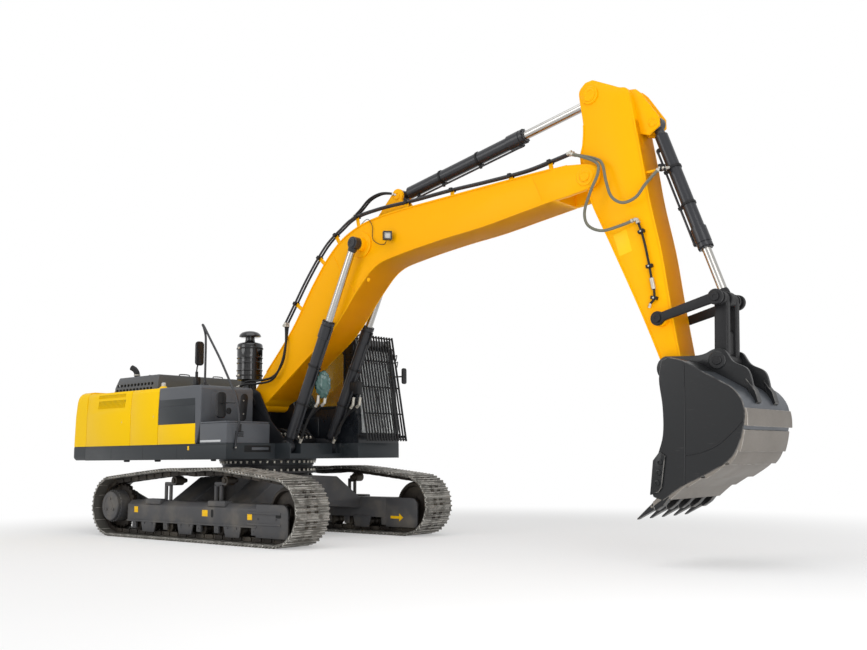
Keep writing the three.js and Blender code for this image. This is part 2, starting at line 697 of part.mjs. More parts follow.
function cabProfile(grow) {
  const top = cabRoof - grow;
  return [
    [cab.rear + grow, cabFloor + grow], [cab.front - grow, cabFloor + grow], [cab.front - grow, sillZ],
    [cabFaceX(browZ) - grow, browZ], [cabFaceX(browZ) - 110 - grow * 0.6, top],
    [cab.rear + 110 + grow * 0.6, top], [cab.rear + grow, cabRoof - 100],
  ];
}

// a panel with rounded corners between y0 and y1; its corners are [[x0, z0], [x1, z1]]
function windowPanel([[x0, z0], [x1, z1]], y0, y1, radius) {
  const s = new THREE.Shape();
  s.moveTo(x0 + radius, z0);
  s.lineTo(x1 - radius, z0).quadraticCurveTo(x1, z0, x1, z0 + radius);
  s.lineTo(x1, z1 - radius).quadraticCurveTo(x1, z1, x1 - radius, z1);
  s.lineTo(x0 + radius, z1).quadraticCurveTo(x0, z1, x0, z1 - radius);
  s.lineTo(x0, z0 + radius).quadraticCurveTo(x0, z0, x0 + radius, z0);
  return sidePlate(s, y0, y1);
}

const shrink = ([[x0, z0], [x1, z1]], gap) => [[x0 + gap, z0 + gap], [x1 - gap, z1 - gap]];

const windowBottom = deck + 620;
const windowTop = cabRoof - 200;
const rightWindow = [[cab.rear + 170, windowBottom - 60], [cab.front - 300, windowTop]];
const cornerWindow = [[cab.rear + 110, windowBottom + 10], [cab.doorRear - 90, windowTop]];
const doorHole = [[cab.doorRear, deck + cab.doorBottom], [cab.doorFront, deck + cab.doorTop]];
const doorGlass = [[cab.doorRear + 90, windowBottom - 40], [cab.doorFront - 90, deck + cab.doorTop - 90]];
const rearWindow = { y0: cabRight + 130, y1: cabLeft - 130, z0: windowBottom + 10, z1: windowTop - 30 };
const frontWindow = { y0: cabRight + 75, y1: cabLeft - 75, z0: deck + 160, z1: windowTop + 20 };
const hingeX = cab.doorRear + 8;
const hingeY = cabLeft + 16;
const hingeHeights = cab.hingeHeights.map((height) => deck + height);

function addCabFrame() {
  const c = cab;
  const shell = cut(
    sidePlate(cabProfile(0), cabRight, cabLeft),
    sidePlate(cabProfile(c.wall), cabRight + c.wall, cabLeft - c.wall),
  );
  const leftHole = (corners, radius) => windowPanel(corners, cabLeft - c.wall - 10, cabLeft + 10, radius);
  const r = rearWindow;
  const f = frontWindow;
  const frame = cut(
    shell, windowPanel(rightWindow, cabRight - 10, cabRight + c.wall + 10, 90),
    leftHole(cornerWindow, 50), leftHole(doorHole, 60),
    box(c.rear - 10, c.rear + c.wall + 10, r.y0, r.y1, r.z0, r.z1),
    box(c.front - 350, c.front + 10, f.y0, f.y1, f.z0, f.z1),
  );
  const knuckles = hingeHeights.map((z) => join(
    rod([hingeX, hingeY, z - 40], [hingeX, hingeY, z - seat], c.hinge + 2, 12),
    box(c.doorRear - 45, hingeX, cabLeft - 3, hingeY + 12, z - 40, z - seat),
  ));
  add('cab_frame', join(frame, ...knuckles), grey());
}

function addCabGlass() {
  const g = cab.glass;
  const middle = cab.wall / 2;
  const right = cabRight + middle;
  const left = cabLeft - middle;
  add('cab_right_window', windowPanel(shrink(rightWindow, seat), right, right + g, 90), glass());
  add('cab_corner_window', windowPanel(shrink(cornerWindow, seat), left, left + g, 50), glass());
  const { y0, y1, z0, z1 } = rearWindow;
  const x = cab.rear + 20;
  add('cab_rear_window', box(x, x + g, y0 + seat, y1 - seat, z0 + seat, z1 - seat), glass());
  const f = frontWindow;
  const face = (z, depth) => [cabFaceX(z) - depth, z];
  const bottom = f.z0 + seat;
  const top = f.z1 - seat;
  const section = [
    face(bottom, 35), face(bottom, 27), face(sillZ, 27), face(top, 27), face(top, 35), face(sillZ, 35),
  ];
  add('windshield', sidePlate(section, f.y0 + seat, f.y1 - seat), glass());
}

// the door hangs on two pins that stand out of its side, over the frame's knuckles
function addCabDoor() {
  const height = 120;
  const panel = cut(
    windowPanel(shrink(doorHole, running), cabLeft - 48, cabLeft - 4, 55),
    windowPanel(doorGlass, cabLeft - 60, cabLeft + 10, 60),
  );
  const pins = hingeHeights.map((z) => rod([hingeX, hingeY, z], [hingeX, hingeY, z + height], cab.hinge, 12));
  const leaves = hingeHeights.map((z) => box(
    hingeX, hingeX + 62, cabLeft - 10, cabLeft + 20, z + 10, z + height - 10,
  ));
  add('cab_door', join(panel, ...pins, ...leaves), grey());
  add('door_window', windowPanel(shrink(doorGlass, seat), cabLeft - 30, cabLeft - 22, 60), glass());
}

function addCabInside() {
  const floor = cabFloor + cab.wall + seat;
  const cushion = box(250, 720, cabRight + 240, cabLeft - 240, floor, floor + 380);
  const backrest = [[180, floor + 305], [300, floor + 305], [240, floor + 1085], [110, floor + 1065]];
  add('seat', join(cushion, sidePlate(backrest, cabRight + 260, cabLeft - 260)), vinyl());
  const y = cabRight + cab.wall + 20;
  const consoleTop = floor + 545;
  const block = box(300, 800, y, y + 145, floor, consoleTop);
  const lever = box(700, 760, y + 25, y + 65, consoleTop - 20, consoleTop + 160);
  add('console', join(block, lever), vinyl());
}

// upright bars in front of the windshield, carried by four stays
function addGuard() {
  const g = guard;
  const bottom = deck + g.bottom;
  const top = deck + g.top;
  const endX = (z, lean) => cabFaceX(z) + g.offset - lean;
  const at = (z) => {
    const t = (z - bottom) / (top - bottom);
    return endX(bottom, 0) * (1 - t) + endX(top, 60) * t;
  };
  const y0 = cabRight + 10;
  const y1 = cabLeft - 20;
  const upright = (y, radius, sides) => rod([at(bottom), y, bottom], [at(top), y, top], radius, sides);
  const rung = (z) => rod([at(z), y0, z], [at(z), y1, z], g.barRadius + 4, 4);
  const spacing = (y1 - y0) / g.bars;
  const bars = Array.from({ length: g.bars - 1 }, (_, i) => upright(y0 + spacing * (i + 1), g.barRadius, 4));
  const ends = [y0, y1].map((y) => upright(y, g.frameRadius, 6));
  const stays = [y0, y1].flatMap((y) => [bottom + 60, cabRoof - 260].map(
    (z) => box(cabFaceX(z - 15) + seat, at(z), y - 12, y + 12, z - 15, z + 15),
  ));
  const rungs = [bottom, deck + 880, top].map(rung);
  add('front_guard', join(...ends, ...rungs, ...bars, ...stays), charcoal());
}

function addMirrors() {
  const base = tankTop + seat;
  const x = -150;
  const right = join(
    rod([x, railY, base], [x, railY, base + 260], 14, 8),
    rod([x, railY, base + 250], [x + 60, railY, base + 330], 11, 8),
    box(x + 42, x + 78, railY - 75, railY + 75, base + 310, base + 680),
  );
  add('mirror_right', right, vinyl());
  const z = cabRoof - 580;
  const face = cabFaceX(z);
  const left = join(
    box(face - 90, face + 115, cabLeft + seat, cabLeft + 18, z - 12, z + 12),
    box(face + 95, face + 125, cabLeft + 5, cabLeft + 140, z - 180, z + 180),
  );
  add('mirror_left', left, vinyl());
}

// ---------------------------------------------------------------- boom, arm, bucket
// the bend's upper and lower edges and the fork, as shares of the way from foot to tip
const boomTop = [
  [0.059, 350], [0.177, 690], [0.275, 1097], [0.363, 1390], [0.438, 1470], [0.531, 1362], [0.691, 988],
  [0.879, 500], [0.975, 277],
];
const boomLow = [
  [0.947, -173], [0.846, 12], [0.754, 214], [0.655, 427], [0.544, 561], [0.471, 572], [0.404, 451],
  [0.293, 209], [0.18, 100], [0.045, -98],
];
const boomHeel = [[-0.012, -109], [-0.02, 52], [-0.008, 162]];
const boomNose = [
  [0.933, -143], [0.982, -190], [1.015, -215], [1.029, -78], [1.023, 78], [0.975, 274], [0.961, 312],
];

function addBoom() {
  const b = boom;
  const edge = orient([
    ...smooth(boomTop.map(onBoom), 15), ...smooth(boomLow.map(onBoom), 14), ...boomHeel.map(onBoom),
  ]);
  const [tipX, tipZ] = boomTip;
  const forkX = tipX - b.forkDepth;
  const high = 1500;
  const hollow = cut(
    sidePlate(inset(edge, b.wall), b.wall - b.half, b.half - b.wall),
    box(forkX - b.wall, tipX + high, -b.half, b.half, tipZ - high, tipZ + high),
  );
  const forkHalf = arm.half + running;
  const fork = box(forkX, tipX + high, -forkHalf, forkHalf, tipZ - high, tipZ + high);
  const nose = sidePlate(smooth(boomNose.map(onBoom), 18), -b.half, b.half);
  const foot = across(boomFoot, -footHalf, footHalf, b.footRadius);
  const bossEnd = boomCylinder.y - boomCylinder.eyeHalf - seat;
  const bosses = across(boomCylinder.eye, -bossEnd, bossEnd, 105, 16);
  const lugSide = [[0.521, 1356], [0.579, 1234]].map(onBoom);
  const lugTop = [[75, 45], [0, 90], [-70, 50]].map((shift) => offset(armCylinder.foot, shift));
  const lugInner = armCylinder.eyeHalf + seat;
  const lug = sidePlate([...lugSide, ...lugTop], -lugInner - 45, -lugInner);
  const [dx, dz] = onBoom([0.44, 512]);
  const drain = rod([dx, 0, dz - 150], [dx, 0, dz + 150], 40, 12);
  const through = b.half * 2;
  const whole = cut(
    join(cut(join(sidePlate(edge, -b.half, b.half), nose), hollow), foot, bosses, ...pair(lug)), fork, drain,
    across(boomFoot, -through, through, b.pin + pinFit),
    across(boomTip, -through, through, b.tipPin + pinFit),
  );
  add('boom', whole, orange());
}

const armRear = [
  [-0.435, 452], [-0.416, 335], [-0.37, 286], [-0.25, 202], [-0.167, 97], [-0.094, -18], [0.102, -96],
  [0.353, -82], [0.704, -66], [0.955, -75],
];
const armFront = [
  [0.98, 159], [0.727, 319], [0.505, 468], [0.271, 588], [0.094, 701], [-0.073, 802], [-0.257, 900],
  [-0.309, 805], [-0.385, 637], [-0.424, 549],
];
const armLugs = [
  [-0.302, 797], [-0.264, 962], [-0.229, 1000], [-0.076, 1075], [-0.037, 1034], [-0.025, 870], [-0.063, 759],
];

function addArm() {
  const a = arm;
  const edge = orient([...smooth(armRear.map(onArm), 14), ...smooth(armFront.map(onArm), 13)]);
  const hollow = sidePlate(inset(edge, a.wall), a.wall - a.half, a.half - a.wall);
  const shell = cut(sidePlate(edge, -a.half, a.half), hollow);
  const [hx, hz] = armHead;
  const slotHalf = armCylinder.eyeHalf + a.slotGap;
  const headWall = box(hx - 210, hx + 690, 5 - a.half, -slotHalf, hz - 600, hz + 400);
  const headBlock = join(...pair(headWall)).intersect(sidePlate(inset(edge, 5), -a.half, a.half));
  const slot = box(hx - 410, hx + 310, -slotHalf, slotHalf, hz - 270, hz + 400);
  const swing = across(armHead, -slotHalf, slotHalf, 320)
    .intersect(box(hx - 710, hx + 350, -slotHalf, slotHalf, hz - 300, hz + 500));
  const lugInner = bucketCylinder.eyeHalf + seat;
  const lug = sidePlate(armLugs.map(onArm), -lugInner - a.earPlate, -lugInner);
  const guideEnd = guideInner - seat;
  const bosses = [
    across(armHead, -a.half - 25, a.half + 25, a.headRadius), across(boomTip, -a.half, a.half, a.tipBoss),
    across(guidePin, -guideEnd, guideEnd, a.guideBoss), across(bucketPin, -a.half, a.half, a.bucketBoss),
  ];
  const [dx, dz] = onArm([0.65, -68]);
  const drain = rod([dx - 100, 0, dz], [dx + 40, 0, dz], 40, 12);
  const through = a.half * 2;
  const whole = cut(
    join(shell, headBlock, ...pair(lug), ...bosses), slot, swing, drain,
    across(bucketPin, -through, through, a.pin + pinFit), across(guidePin, -through, through, a.pin + pinFit),
  );
  const pin = across(boomTip, -boom.half - 22, boom.half + 22, boom.tipPin);
  add('arm', join(whole, pin), orange());
}

// every outline of the bucket is drawn from its pin
const bucketBack = [
  [187, 89], [377, 29], [557, -81], [767, -201], [917, -301], [1007, -461], [997, -671], [907, -921],
  [767, -1061], [497, -1201], [297, -1291], [57, -1451],
];
const bucketMouth = [[-53, -1411], [-63, -1311], [7, -1001], [87, -751], [97, -451], [67, -151], [107, 49]];
const bucketOpen = [[-243, -1591], [-443, -1451], [-443, 249], [107, 179]];
const bucketEar = [
  [-43, 139], [377, 119], [557, 174], [667, 159], [757, 29], [917, -71], [967, -271], [957, -391],
  [757, -221], [357, -1], [107, -1], [37, -121], [-83, -71], [-113, 29],
];
const bucketLip = [[-63, -1511], [117, -1391], [297, -1271], [277, -1251], [-63, -1461]];
const bucketTooth = [[-268, -1666], [-133, -1591], [57, -1491], [117, -1391], [-23, -1411], [-273, -1651]];
const sideCutter = [[-83, -1391], [57, -1351], [117, -971], [37, -941], [-33, -1021]];

function addBucket() {
  const b = bucket;
  const drawn = (points) => points.map((point) => offset(bucketPin, point));
  const back = smooth(drawn(bucketBack), 18);
  const body = sidePlate([...back, ...drawn(bucketMouth)], -b.half, b.half);
  const room = inset(orient([...back, ...drawn(bucketOpen)]), b.wall);
  const hollow = sidePlate(room, b.wall - b.half, b.half - b.wall);
  // the shell stops short of the arm's end, so that the bucket can be dumped
  const armRoom = across(bucketPin, -bucketEarInner - 1, bucketEarInner + 1, b.armRoom);
  const ear = sidePlate(drawn(bucketEar), -bucketEarOuter, -bucketEarInner);
  const cutter = sidePlate(drawn(sideCutter), -b.half - b.cutter, 5 - b.half);
  const lip = sidePlate(drawn(bucketLip), -b.half, b.half);
  const teeth = Array.from({ length: b.teeth }, (_, i) => {
    const y = ((2 * b.half - b.toothWidth) * i) / (b.teeth - 1) - b.half;
    return sidePlate(drawn(bucketTooth), y, y + b.toothWidth);
  });
  const pinHalf = bucketEarOuter + b.pinEnd;
  const pins = [bucketPin, bucketLinkPin].map((pin) => across(pin, -pinHalf, pinHalf, arm.pin));
  const shell = cut(body, hollow, armRoom);
  add('bucket', join(shell, ...pair(ear), ...pair(cutter), lip, ...teeth, ...pins), charcoal());
}

function addLinks() {
  const k = links;
  const guide = sidePlate(linkOutline(guidePin, linkTop, k.radius), -guideOuter, -guideInner);
  const pin = across(guidePin, -guideOuter - 25, guideOuter + 25, arm.pin);
  add('guide_links', join(...pair(guide), pin), charcoal());
  const forkInner = bucketCylinder.eyeHalf + k.forkGap;
  const forkOuter = bucketEarInner - k.forkInset;
  const [tx, tz] = linkTop;
  const gap = box(tx - 400, tx + 400, -forkInner, forkInner, tz - 260, tz + 400);
  const body = cut(sidePlate(linkOutline(bucketLinkPin, linkTop, k.radius), -forkOuter, forkOuter), gap);
  const barrelEnd = bucketEarInner - seat;
  const barrel = across(bucketLinkPin, -barrelEnd, barrelEnd, k.radius + 5);
  const stub = across(linkTop, seat - guideInner, -forkInner - 10, arm.pin);
  const hole = across(bucketLinkPin, -2 * barrelEnd, 2 * barrelEnd, arm.pin + pinFit);
  add('bucket_link', cut(join(body, barrel, ...pair(stub)), hole), charcoal());
}

// ---------------------------------------------------------------- cylinders
// a barrel with an open bore and a rod that runs in it, each with an eye at its end
function addCylinder([barrelName, rodName], c, y) {
  const foot = new THREE.Vector2(...c.foot);
  const eye = new THREE.Vector2(...c.eye);
  const length = foot.distanceTo(eye);
  const at = (distance) => {
    const point = foot.clone().lerp(eye, distance / length);
    return [point.x, y, point.y];
  };
  const eyeBoss = (pin) => across(pin, y - c.eyeHalf, y + c.eyeHalf, c.eyeRadius);
  const neck = rod(at(0), at(c.eyeRadius + 80), c.eyeHalf - 2, 12);
  const pipe = rod(at(c.eyeRadius + 60), at(c.gland), c.barrel, 20);
  const hole = rod(at(c.eyeRadius + 130), at(c.gland + 20), c.rod + rodFit);
  add(barrelName, cut(join(neck, pipe, eyeBoss(c.foot)), hole), charcoal());
  const shaft = rod(at(c.gland - c.hold), at(length - c.eyeRadius + 15), c.rod);
  add(rodName, join(shaft, eyeBoss(c.eye)), chrome());
}

function addCylinders() {
  const names = (kind, side = '') => [`${kind}_cylinder_barrel${side}`, `${kind}_cylinder_rod${side}`];
  addCylinder(names('boom', '_right'), boomCylinder, -boomCylinder.y);
  addCylinder(names('boom', '_left'), boomCylinder, boomCylinder.y);
  addCylinder(names('arm'), armCylinder, 0);
  addCylinder(names('bucket'), bucketCylinder, 0);
}

// ---------------------------------------------------------------- the machine
addUndercarriage();
addRevolvingFrame();
addCounterweight();
addEngineBay();
addDoors();
addHood();
addTanks();
addToolbox();
addAirFilter();
addHandrail();
addCabFrame();
addCabGlass();
addCabDoor();
addCabInside();
addGuard();
addMirrors();
addBoom();
addArm();
addBucket();
addLinks();
addCylinders();

const extent = new THREE.Box3().setFromObject(machine);
machine.position.x = -(extent.min.x + extent.max.x) / 2;
machine.updateMatrixWorld(true);

export default machine;
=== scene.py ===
"""Crawler excavator of the 33 tonne class: its visible pieces, finishes and stage.

Lengths are metres and places are measured from the slewing axis until a piece is set down in the
shared frame. The construction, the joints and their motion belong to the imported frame.
"""

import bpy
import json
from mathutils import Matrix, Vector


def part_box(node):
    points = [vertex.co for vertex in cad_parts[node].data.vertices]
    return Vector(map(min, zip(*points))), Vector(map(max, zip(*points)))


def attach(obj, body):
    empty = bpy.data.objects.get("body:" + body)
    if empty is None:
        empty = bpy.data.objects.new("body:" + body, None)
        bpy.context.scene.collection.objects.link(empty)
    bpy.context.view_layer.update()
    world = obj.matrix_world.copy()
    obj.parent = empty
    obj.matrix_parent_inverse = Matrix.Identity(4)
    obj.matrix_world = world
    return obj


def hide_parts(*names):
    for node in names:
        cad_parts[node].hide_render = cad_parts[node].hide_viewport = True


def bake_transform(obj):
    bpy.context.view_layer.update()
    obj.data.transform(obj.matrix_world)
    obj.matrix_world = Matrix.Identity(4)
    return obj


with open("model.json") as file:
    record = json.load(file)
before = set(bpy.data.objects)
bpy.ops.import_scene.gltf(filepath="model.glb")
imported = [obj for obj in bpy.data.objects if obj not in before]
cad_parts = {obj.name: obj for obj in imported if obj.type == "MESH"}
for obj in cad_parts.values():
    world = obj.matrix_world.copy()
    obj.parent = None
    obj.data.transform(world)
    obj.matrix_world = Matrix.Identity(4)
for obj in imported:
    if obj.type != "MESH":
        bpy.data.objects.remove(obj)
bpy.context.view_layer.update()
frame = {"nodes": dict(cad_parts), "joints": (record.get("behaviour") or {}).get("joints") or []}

import json
import math

import bmesh
import bpy
from mathutils import Matrix, Vector

bl_info = {
    "name": "Crawler excavator", "version": (1, 0, 0), "blender": (4, 5, 0),
    "location": "3D View > Sidebar > Excavator",
    "description": "Builds the visible pieces of a crawler excavator around its frame", "category": "Add Mesh"
}


# ---------------------------------------------------------------- places taken from the frame
def joint_place(name):
    return Vector(next(j for j in frame["joints"] if j["name"] == name)["pos_m"])


SLEW_X = joint_place("slew").x


def pin(name):
    """A joint's pin as X and Z."""
    place = joint_place(name)
    return Vector((place.x - SLEW_X, place.z))


def span(node):
    """Lowest and highest corner of a node of the frame."""
    low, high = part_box(node)
    shift = Vector((SLEW_X, 0, 0))
    return low - shift, high - shift


def off(point, dx, dz):
    return Vector((point[0] + dx, point[1] + dz))


def between(first, last):
    """Places a point by its share of the way between two pins and its distance to the left."""
    line = last - first
    unit = line.normalized()
    return lambda share, left: first + line * share + Vector((-unit.y, unit.x)) * left


BOOM_FOOT = pin("boom_lift")
BOOM_TIP = pin("arm_swing")
BUCKET_PIN = pin("bucket_curl")
BOOM_CYLINDER_FOOT = pin("boom_barrel_right_pivot")
ARM_CYLINDER_FOOT = pin("arm_barrel_pivot")
BUCKET_CYLINDER_FOOT = pin("bucket_barrel_pivot")
GUIDE_PIN = pin("guide_pivot")
LINK_PIN = pin("link_pivot")
ARM_HEAD = off(BOOM_TIP, 0.051, 1.039)
LINK_TOP = off(GUIDE_PIN, 0.7, 0.17)
ON_BOOM = between(BOOM_FOOT, BOOM_TIP)
ON_ARM = between(BOOM_TIP, BUCKET_PIN)
BOOM_EYE = ON_BOOM(0.451, 1.167)

SIDE = -span("fuel_tank")[0].y                  # half the width of the upper works
DECK = span("fuel_tank")[0].z
BODY_TOP = span("hydraulic_tank")[1].z + 0.05
SKIRT_BOTTOM = span("counterweight")[0].z - 0.005
CAB_LOW, CAB_HIGH = span("cab_frame")
CYLINDER_Y = -joint_place("boom_barrel_right_pivot").y
CHAIN_Y = (span("track_right")[0].y + span("track_right")[1].y) / 2
TUMBLER_X = (span("idler_right")[0].x + span("idler_right")[1].x) / 2
TUMBLER_Z = (span("idler_right")[0].z + span("idler_right")[1].z) / 2
WHEEL_RADIUS = (span("idler_right")[1].z - span("idler_right")[0].z) / 2


# ---------------------------------------------------------------- lines
def smooth_line(points, steps):
    """A smooth line through points, as a list of points again."""
    last = len(points) - 1
    line = []
    for i in range(steps + 1):
        k = min(int(i / steps * last), last - 1)
        t = i / steps * last - k
        p0, p1, p2, p3 = (Vector(points[min(max(k + j, 0), last)]) for j in (-1, 0, 1, 2))
        out, into = (p2 - p0) / 2, (p3 - p1) / 2
        cube = 2 * p1 - 2 * p2 + out + into
        square = 3 * p2 - 3 * p1 - 2 * out - into
        line.append(cube * t**3 + square * t**2 + out * t + p1)
    return line


def arc(centre, radius, start, end, steps):
    """Points on an arc, its angles in degrees."""
    angles = [math.radians(start + (end - start) * i / steps) for i in range(steps + 1)]
    return [Vector((centre[0] + radius * math.cos(a), centre[1] + radius * math.sin(a))) for a in angles]


def rounded(low, high, radius, steps=6):
    """A rectangle with round corners."""
    corners = [(high[0], high[1], 0), (low[0], high[1], 90), (low[0], low[1], 180), (high[0], low[1], 270)]
    line = []
    for x, z, start in corners:
        centre = (x - math.copysign(radius, x - low[0] - 1e-6), z - math.copysign(radius, z - low[1] - 1e-6))
        line += arc(centre, radius, start, start + 90, steps)
    return line


def link_line(first, last, radius, end_radius=None, steps=14):
    """The outline of a bar with two round ends."""
    along = math.degrees(math.atan2(last[1] - first[1], last[0] - first[0]))
    return [
        *arc(first, radius, along + 90, along + 270, steps),
        *arc(last, end_radius or radius, along - 90, along + 90, steps)
    ]


def parallel(line, distance):
    """A line moved sideways, to its left."""
    out = []
    for i, p in enumerate(line):
        way = (line[min(i + 1, len(line) - 1)] - line[max(i - 1, 0)]).normalized()
        out.append(p + Vector((-way.y, way.x)) * distance)
    return out


def band(line, width):
    """The outline between a line and its parallel."""
    return [*line, *reversed(parallel(line, width))]


def disc(radius, low, high, edge, edge_height=None):
    """The profile of a round cover from low to high, with a bevelled outer edge."""
    return [(0, low), (radius, low), (radius, high - (edge_height or edge)), (radius - edge, high), (0, high)]


def drum(radius, half, edge):
    """The profile of a round boss with bevelled ends, from -half to half."""
    return [
        (0, -half), (radius - edge, -half), (radius, edge - half), (radius, half - edge),
        (radius - edge, half), (0, half)
    ]


def slab(outline, side, inner, outer):
    """An outline given a thickness on one side of the machine."""
    return poly(outline, "Y", *sorted((side * inner, side * outer)))


# ---------------------------------------------------------------- parts, each a mesh of its own
def poly(points, axis, low, high):
    """A flat outline given a thickness along one axis, from low to high."""
    part = bmesh.new()
    place = {
        "X": lambda p: (low, p[0], p[1]), "Y": lambda p: (p[0], low, p[1]), "Z": lambda p: (p[0], p[1], low)
    }[axis]
    face = part.faces.new([part.verts.new(place(p)) for p in points])
    grown = bmesh.ops.extrude_face_region(part, geom=[face])["geom"]
    way = [high - low if name == axis else 0 for name in "XYZ"]
    bmesh.ops.translate(part, verts=[g for g in grown if isinstance(g, bmesh.types.BMVert)], vec=way)
    bmesh.ops.recalc_face_normals(part, faces=part.faces)
    return part


def block(x0, x1, y0, y1, z0, z1):
    part = bmesh.new()
    bmesh.ops.create_cube(part, size=1)
    bmesh.ops.scale(part, vec=(x1 - x0, y1 - y0, z1 - z0), verts=part.verts)
    bmesh.ops.translate(part, vec=((x0 + x1) / 2, (y0 + y1) / 2, (z0 + z1) / 2), verts=part.verts)
    return part


def aim(start, direction):
    """The matrix that carries the Z axis to a line from a start."""
    return Matrix.Translation(start) @ Vector(direction).to_track_quat("Z", "Y").to_matrix().to_4x4()


def rod(start, end, radius, sides=24, end_radius=None):
    line = Vector(end) - Vector(start)
    part = bmesh.new()
    bmesh.ops.create_cone(
        part, cap_ends=True, cap_tris=False, segments=sides, radius1=radius,
        radius2=radius if end_radius is None else end_radius, depth=line.length
    )
    bmesh.ops.translate(part, vec=(0, 0, line.length / 2), verts=part.verts)
    bmesh.ops.transform(part, matrix=aim(start, line), verts=part.verts)
    return part


def across(point, y0, y1, radius, sides=32):
    """A round pin or boss across the machine."""
    return rod((point[0], y0, point[1]), (point[0], y1, point[1]), radius, sides)


def spun(profile, start, direction, sides=40, ring=False):
    """A round form from pairs of radius and height about a line; a ring's profile is closed."""
    part = bmesh.new()
    verts = [part.verts.new((radius, 0, height)) for radius, height in profile]
    edges = [part.edges.new(pair) for pair in zip(verts, verts[1:])]
    if ring:
        edges.append(part.edges.new((verts[-1], verts[0])))
    bmesh.ops.spin(
        part, geom=verts + edges, cent=(0, 0, 0), axis=(0, 0, 1), angle=math.tau, steps=sides, use_merge=True
    )
    bmesh.ops.remove_doubles(part, verts=part.verts, dist=1e-5)
    bmesh.ops.recalc_face_normals(part, faces=part.faces)
    bmesh.ops.transform(part, matrix=aim(start, direction), verts=part.verts)
    return part


def tube(points, radius, sides=10, steps=None):
    """A round pipe or hose along a smooth line through its points."""
    curve = bpy.data.curves.new("route", "CURVE")
    curve.dimensions = "3D"
    curve.bevel_depth = radius
    curve.bevel_resolution = max(0, sides // 2 - 2)
    curve.use_fill_caps = True
    spline = curve.splines.new("POLY")
    line = smooth_line(points, steps or 6 * (len(points) - 1))
    spline.points.add(len(line) - 1)
    for point, place in zip(spline.points, line):
        point.co = (*place, 1)
    holder = bpy.data.objects.new("route", curve)
    mesh = bpy.data.meshes.new_from_object(holder)
    part = bmesh.new()
    part.from_mesh(mesh)
    bmesh.ops.remove_doubles(part, verts=part.verts, dist=1e-6)
    bpy.data.objects.remove(holder)
    bpy.data.curves.remove(curve)
    bpy.data.meshes.remove(mesh)
    return part


def bolt(place, direction, radius=0.014, height=0.01):
    """A six-sided head on its washer."""
    part = bmesh.new()
    for size, sides, low, high in ((1.25, 12, -0.002, 0.2 * height), (1, 6, 0.2 * height, height)):
        made = bmesh.ops.create_cone(
            part, cap_ends=True, cap_tris=False, segments=sides, radius1=radius * size, radius2=radius * size,
            depth=high - low
        )
        bmesh.ops.translate(part, vec=(0, 0, (low + high) / 2), verts=made["verts"])
    bmesh.ops.transform(part, matrix=aim(place, direction), verts=part.verts)
    return part


def copy_of(node):
    """A node of the frame as a closed mesh with its flat faces whole."""
    part = bmesh.new()
    part.from_mesh(frame["nodes"][node].data)
    bmesh.ops.translate(part, vec=(-SLEW_X, 0, 0), verts=part.verts)
    bmesh.ops.remove_doubles(part, verts=part.verts, dist=2e-5)
    bmesh.ops.dissolve_limit(part, angle_limit=math.radians(0.6), verts=part.verts, edges=part.edges)
    return part


def soften(part, width, segments=2, above=28):
    """Rounds the edges that turn by more than an angle."""
    edges = [e for e in part.edges if len(e.link_faces) == 2 and e.calc_face_angle(0) > math.radians(above)]
    bmesh.ops.bevel(
        part, geom=edges, offset=width, affect="EDGES", segments=segments, profile=0.5, material=-1,
        clamp_overlap=True
    )
    return part


def soft_block(x0, x1, y0, y1, z0, z1, width, segments=2):
    return soften(block(x0, x1, y0, y1, z0, z1), width, segments)


def moved(part, matrix):
    bmesh.ops.transform(part, matrix=matrix, verts=part.verts)
    return part


def carve(part, *cutters):
    """Cuts the cutters out of a part."""
    holders = []
    for shape in ([part], cutters):
        mesh = bpy.data.meshes.new("shape")
        whole = bmesh.new()
        for piece in shape:
            passed = bpy.data.meshes.new("passed")
            piece.to_mesh(passed)
            piece.free()
            whole.from_mesh(passed)
            bpy.data.meshes.remove(passed)
        whole.to_mesh(mesh)
        whole.free()
        holders.append(bpy.data.objects.new("shape", mesh))
        bpy.context.scene.collection.objects.link(holders[-1])
    cut = holders[0].modifiers.new("cut", "BOOLEAN")
    cut.object = holders[1]
    cut.operation = "DIFFERENCE"
    cut.solver = "EXACT"
    mesh = bpy.data.meshes.new_from_object(holders[0].evaluated_get(bpy.context.evaluated_depsgraph_get()))
    left = bmesh.new()
    left.from_mesh(mesh)
    for holder in holders:
        old = holder.data
        bpy.data.objects.remove(holder)
        bpy.data.meshes.remove(old)
    bpy.data.meshes.remove(mesh)
    return left


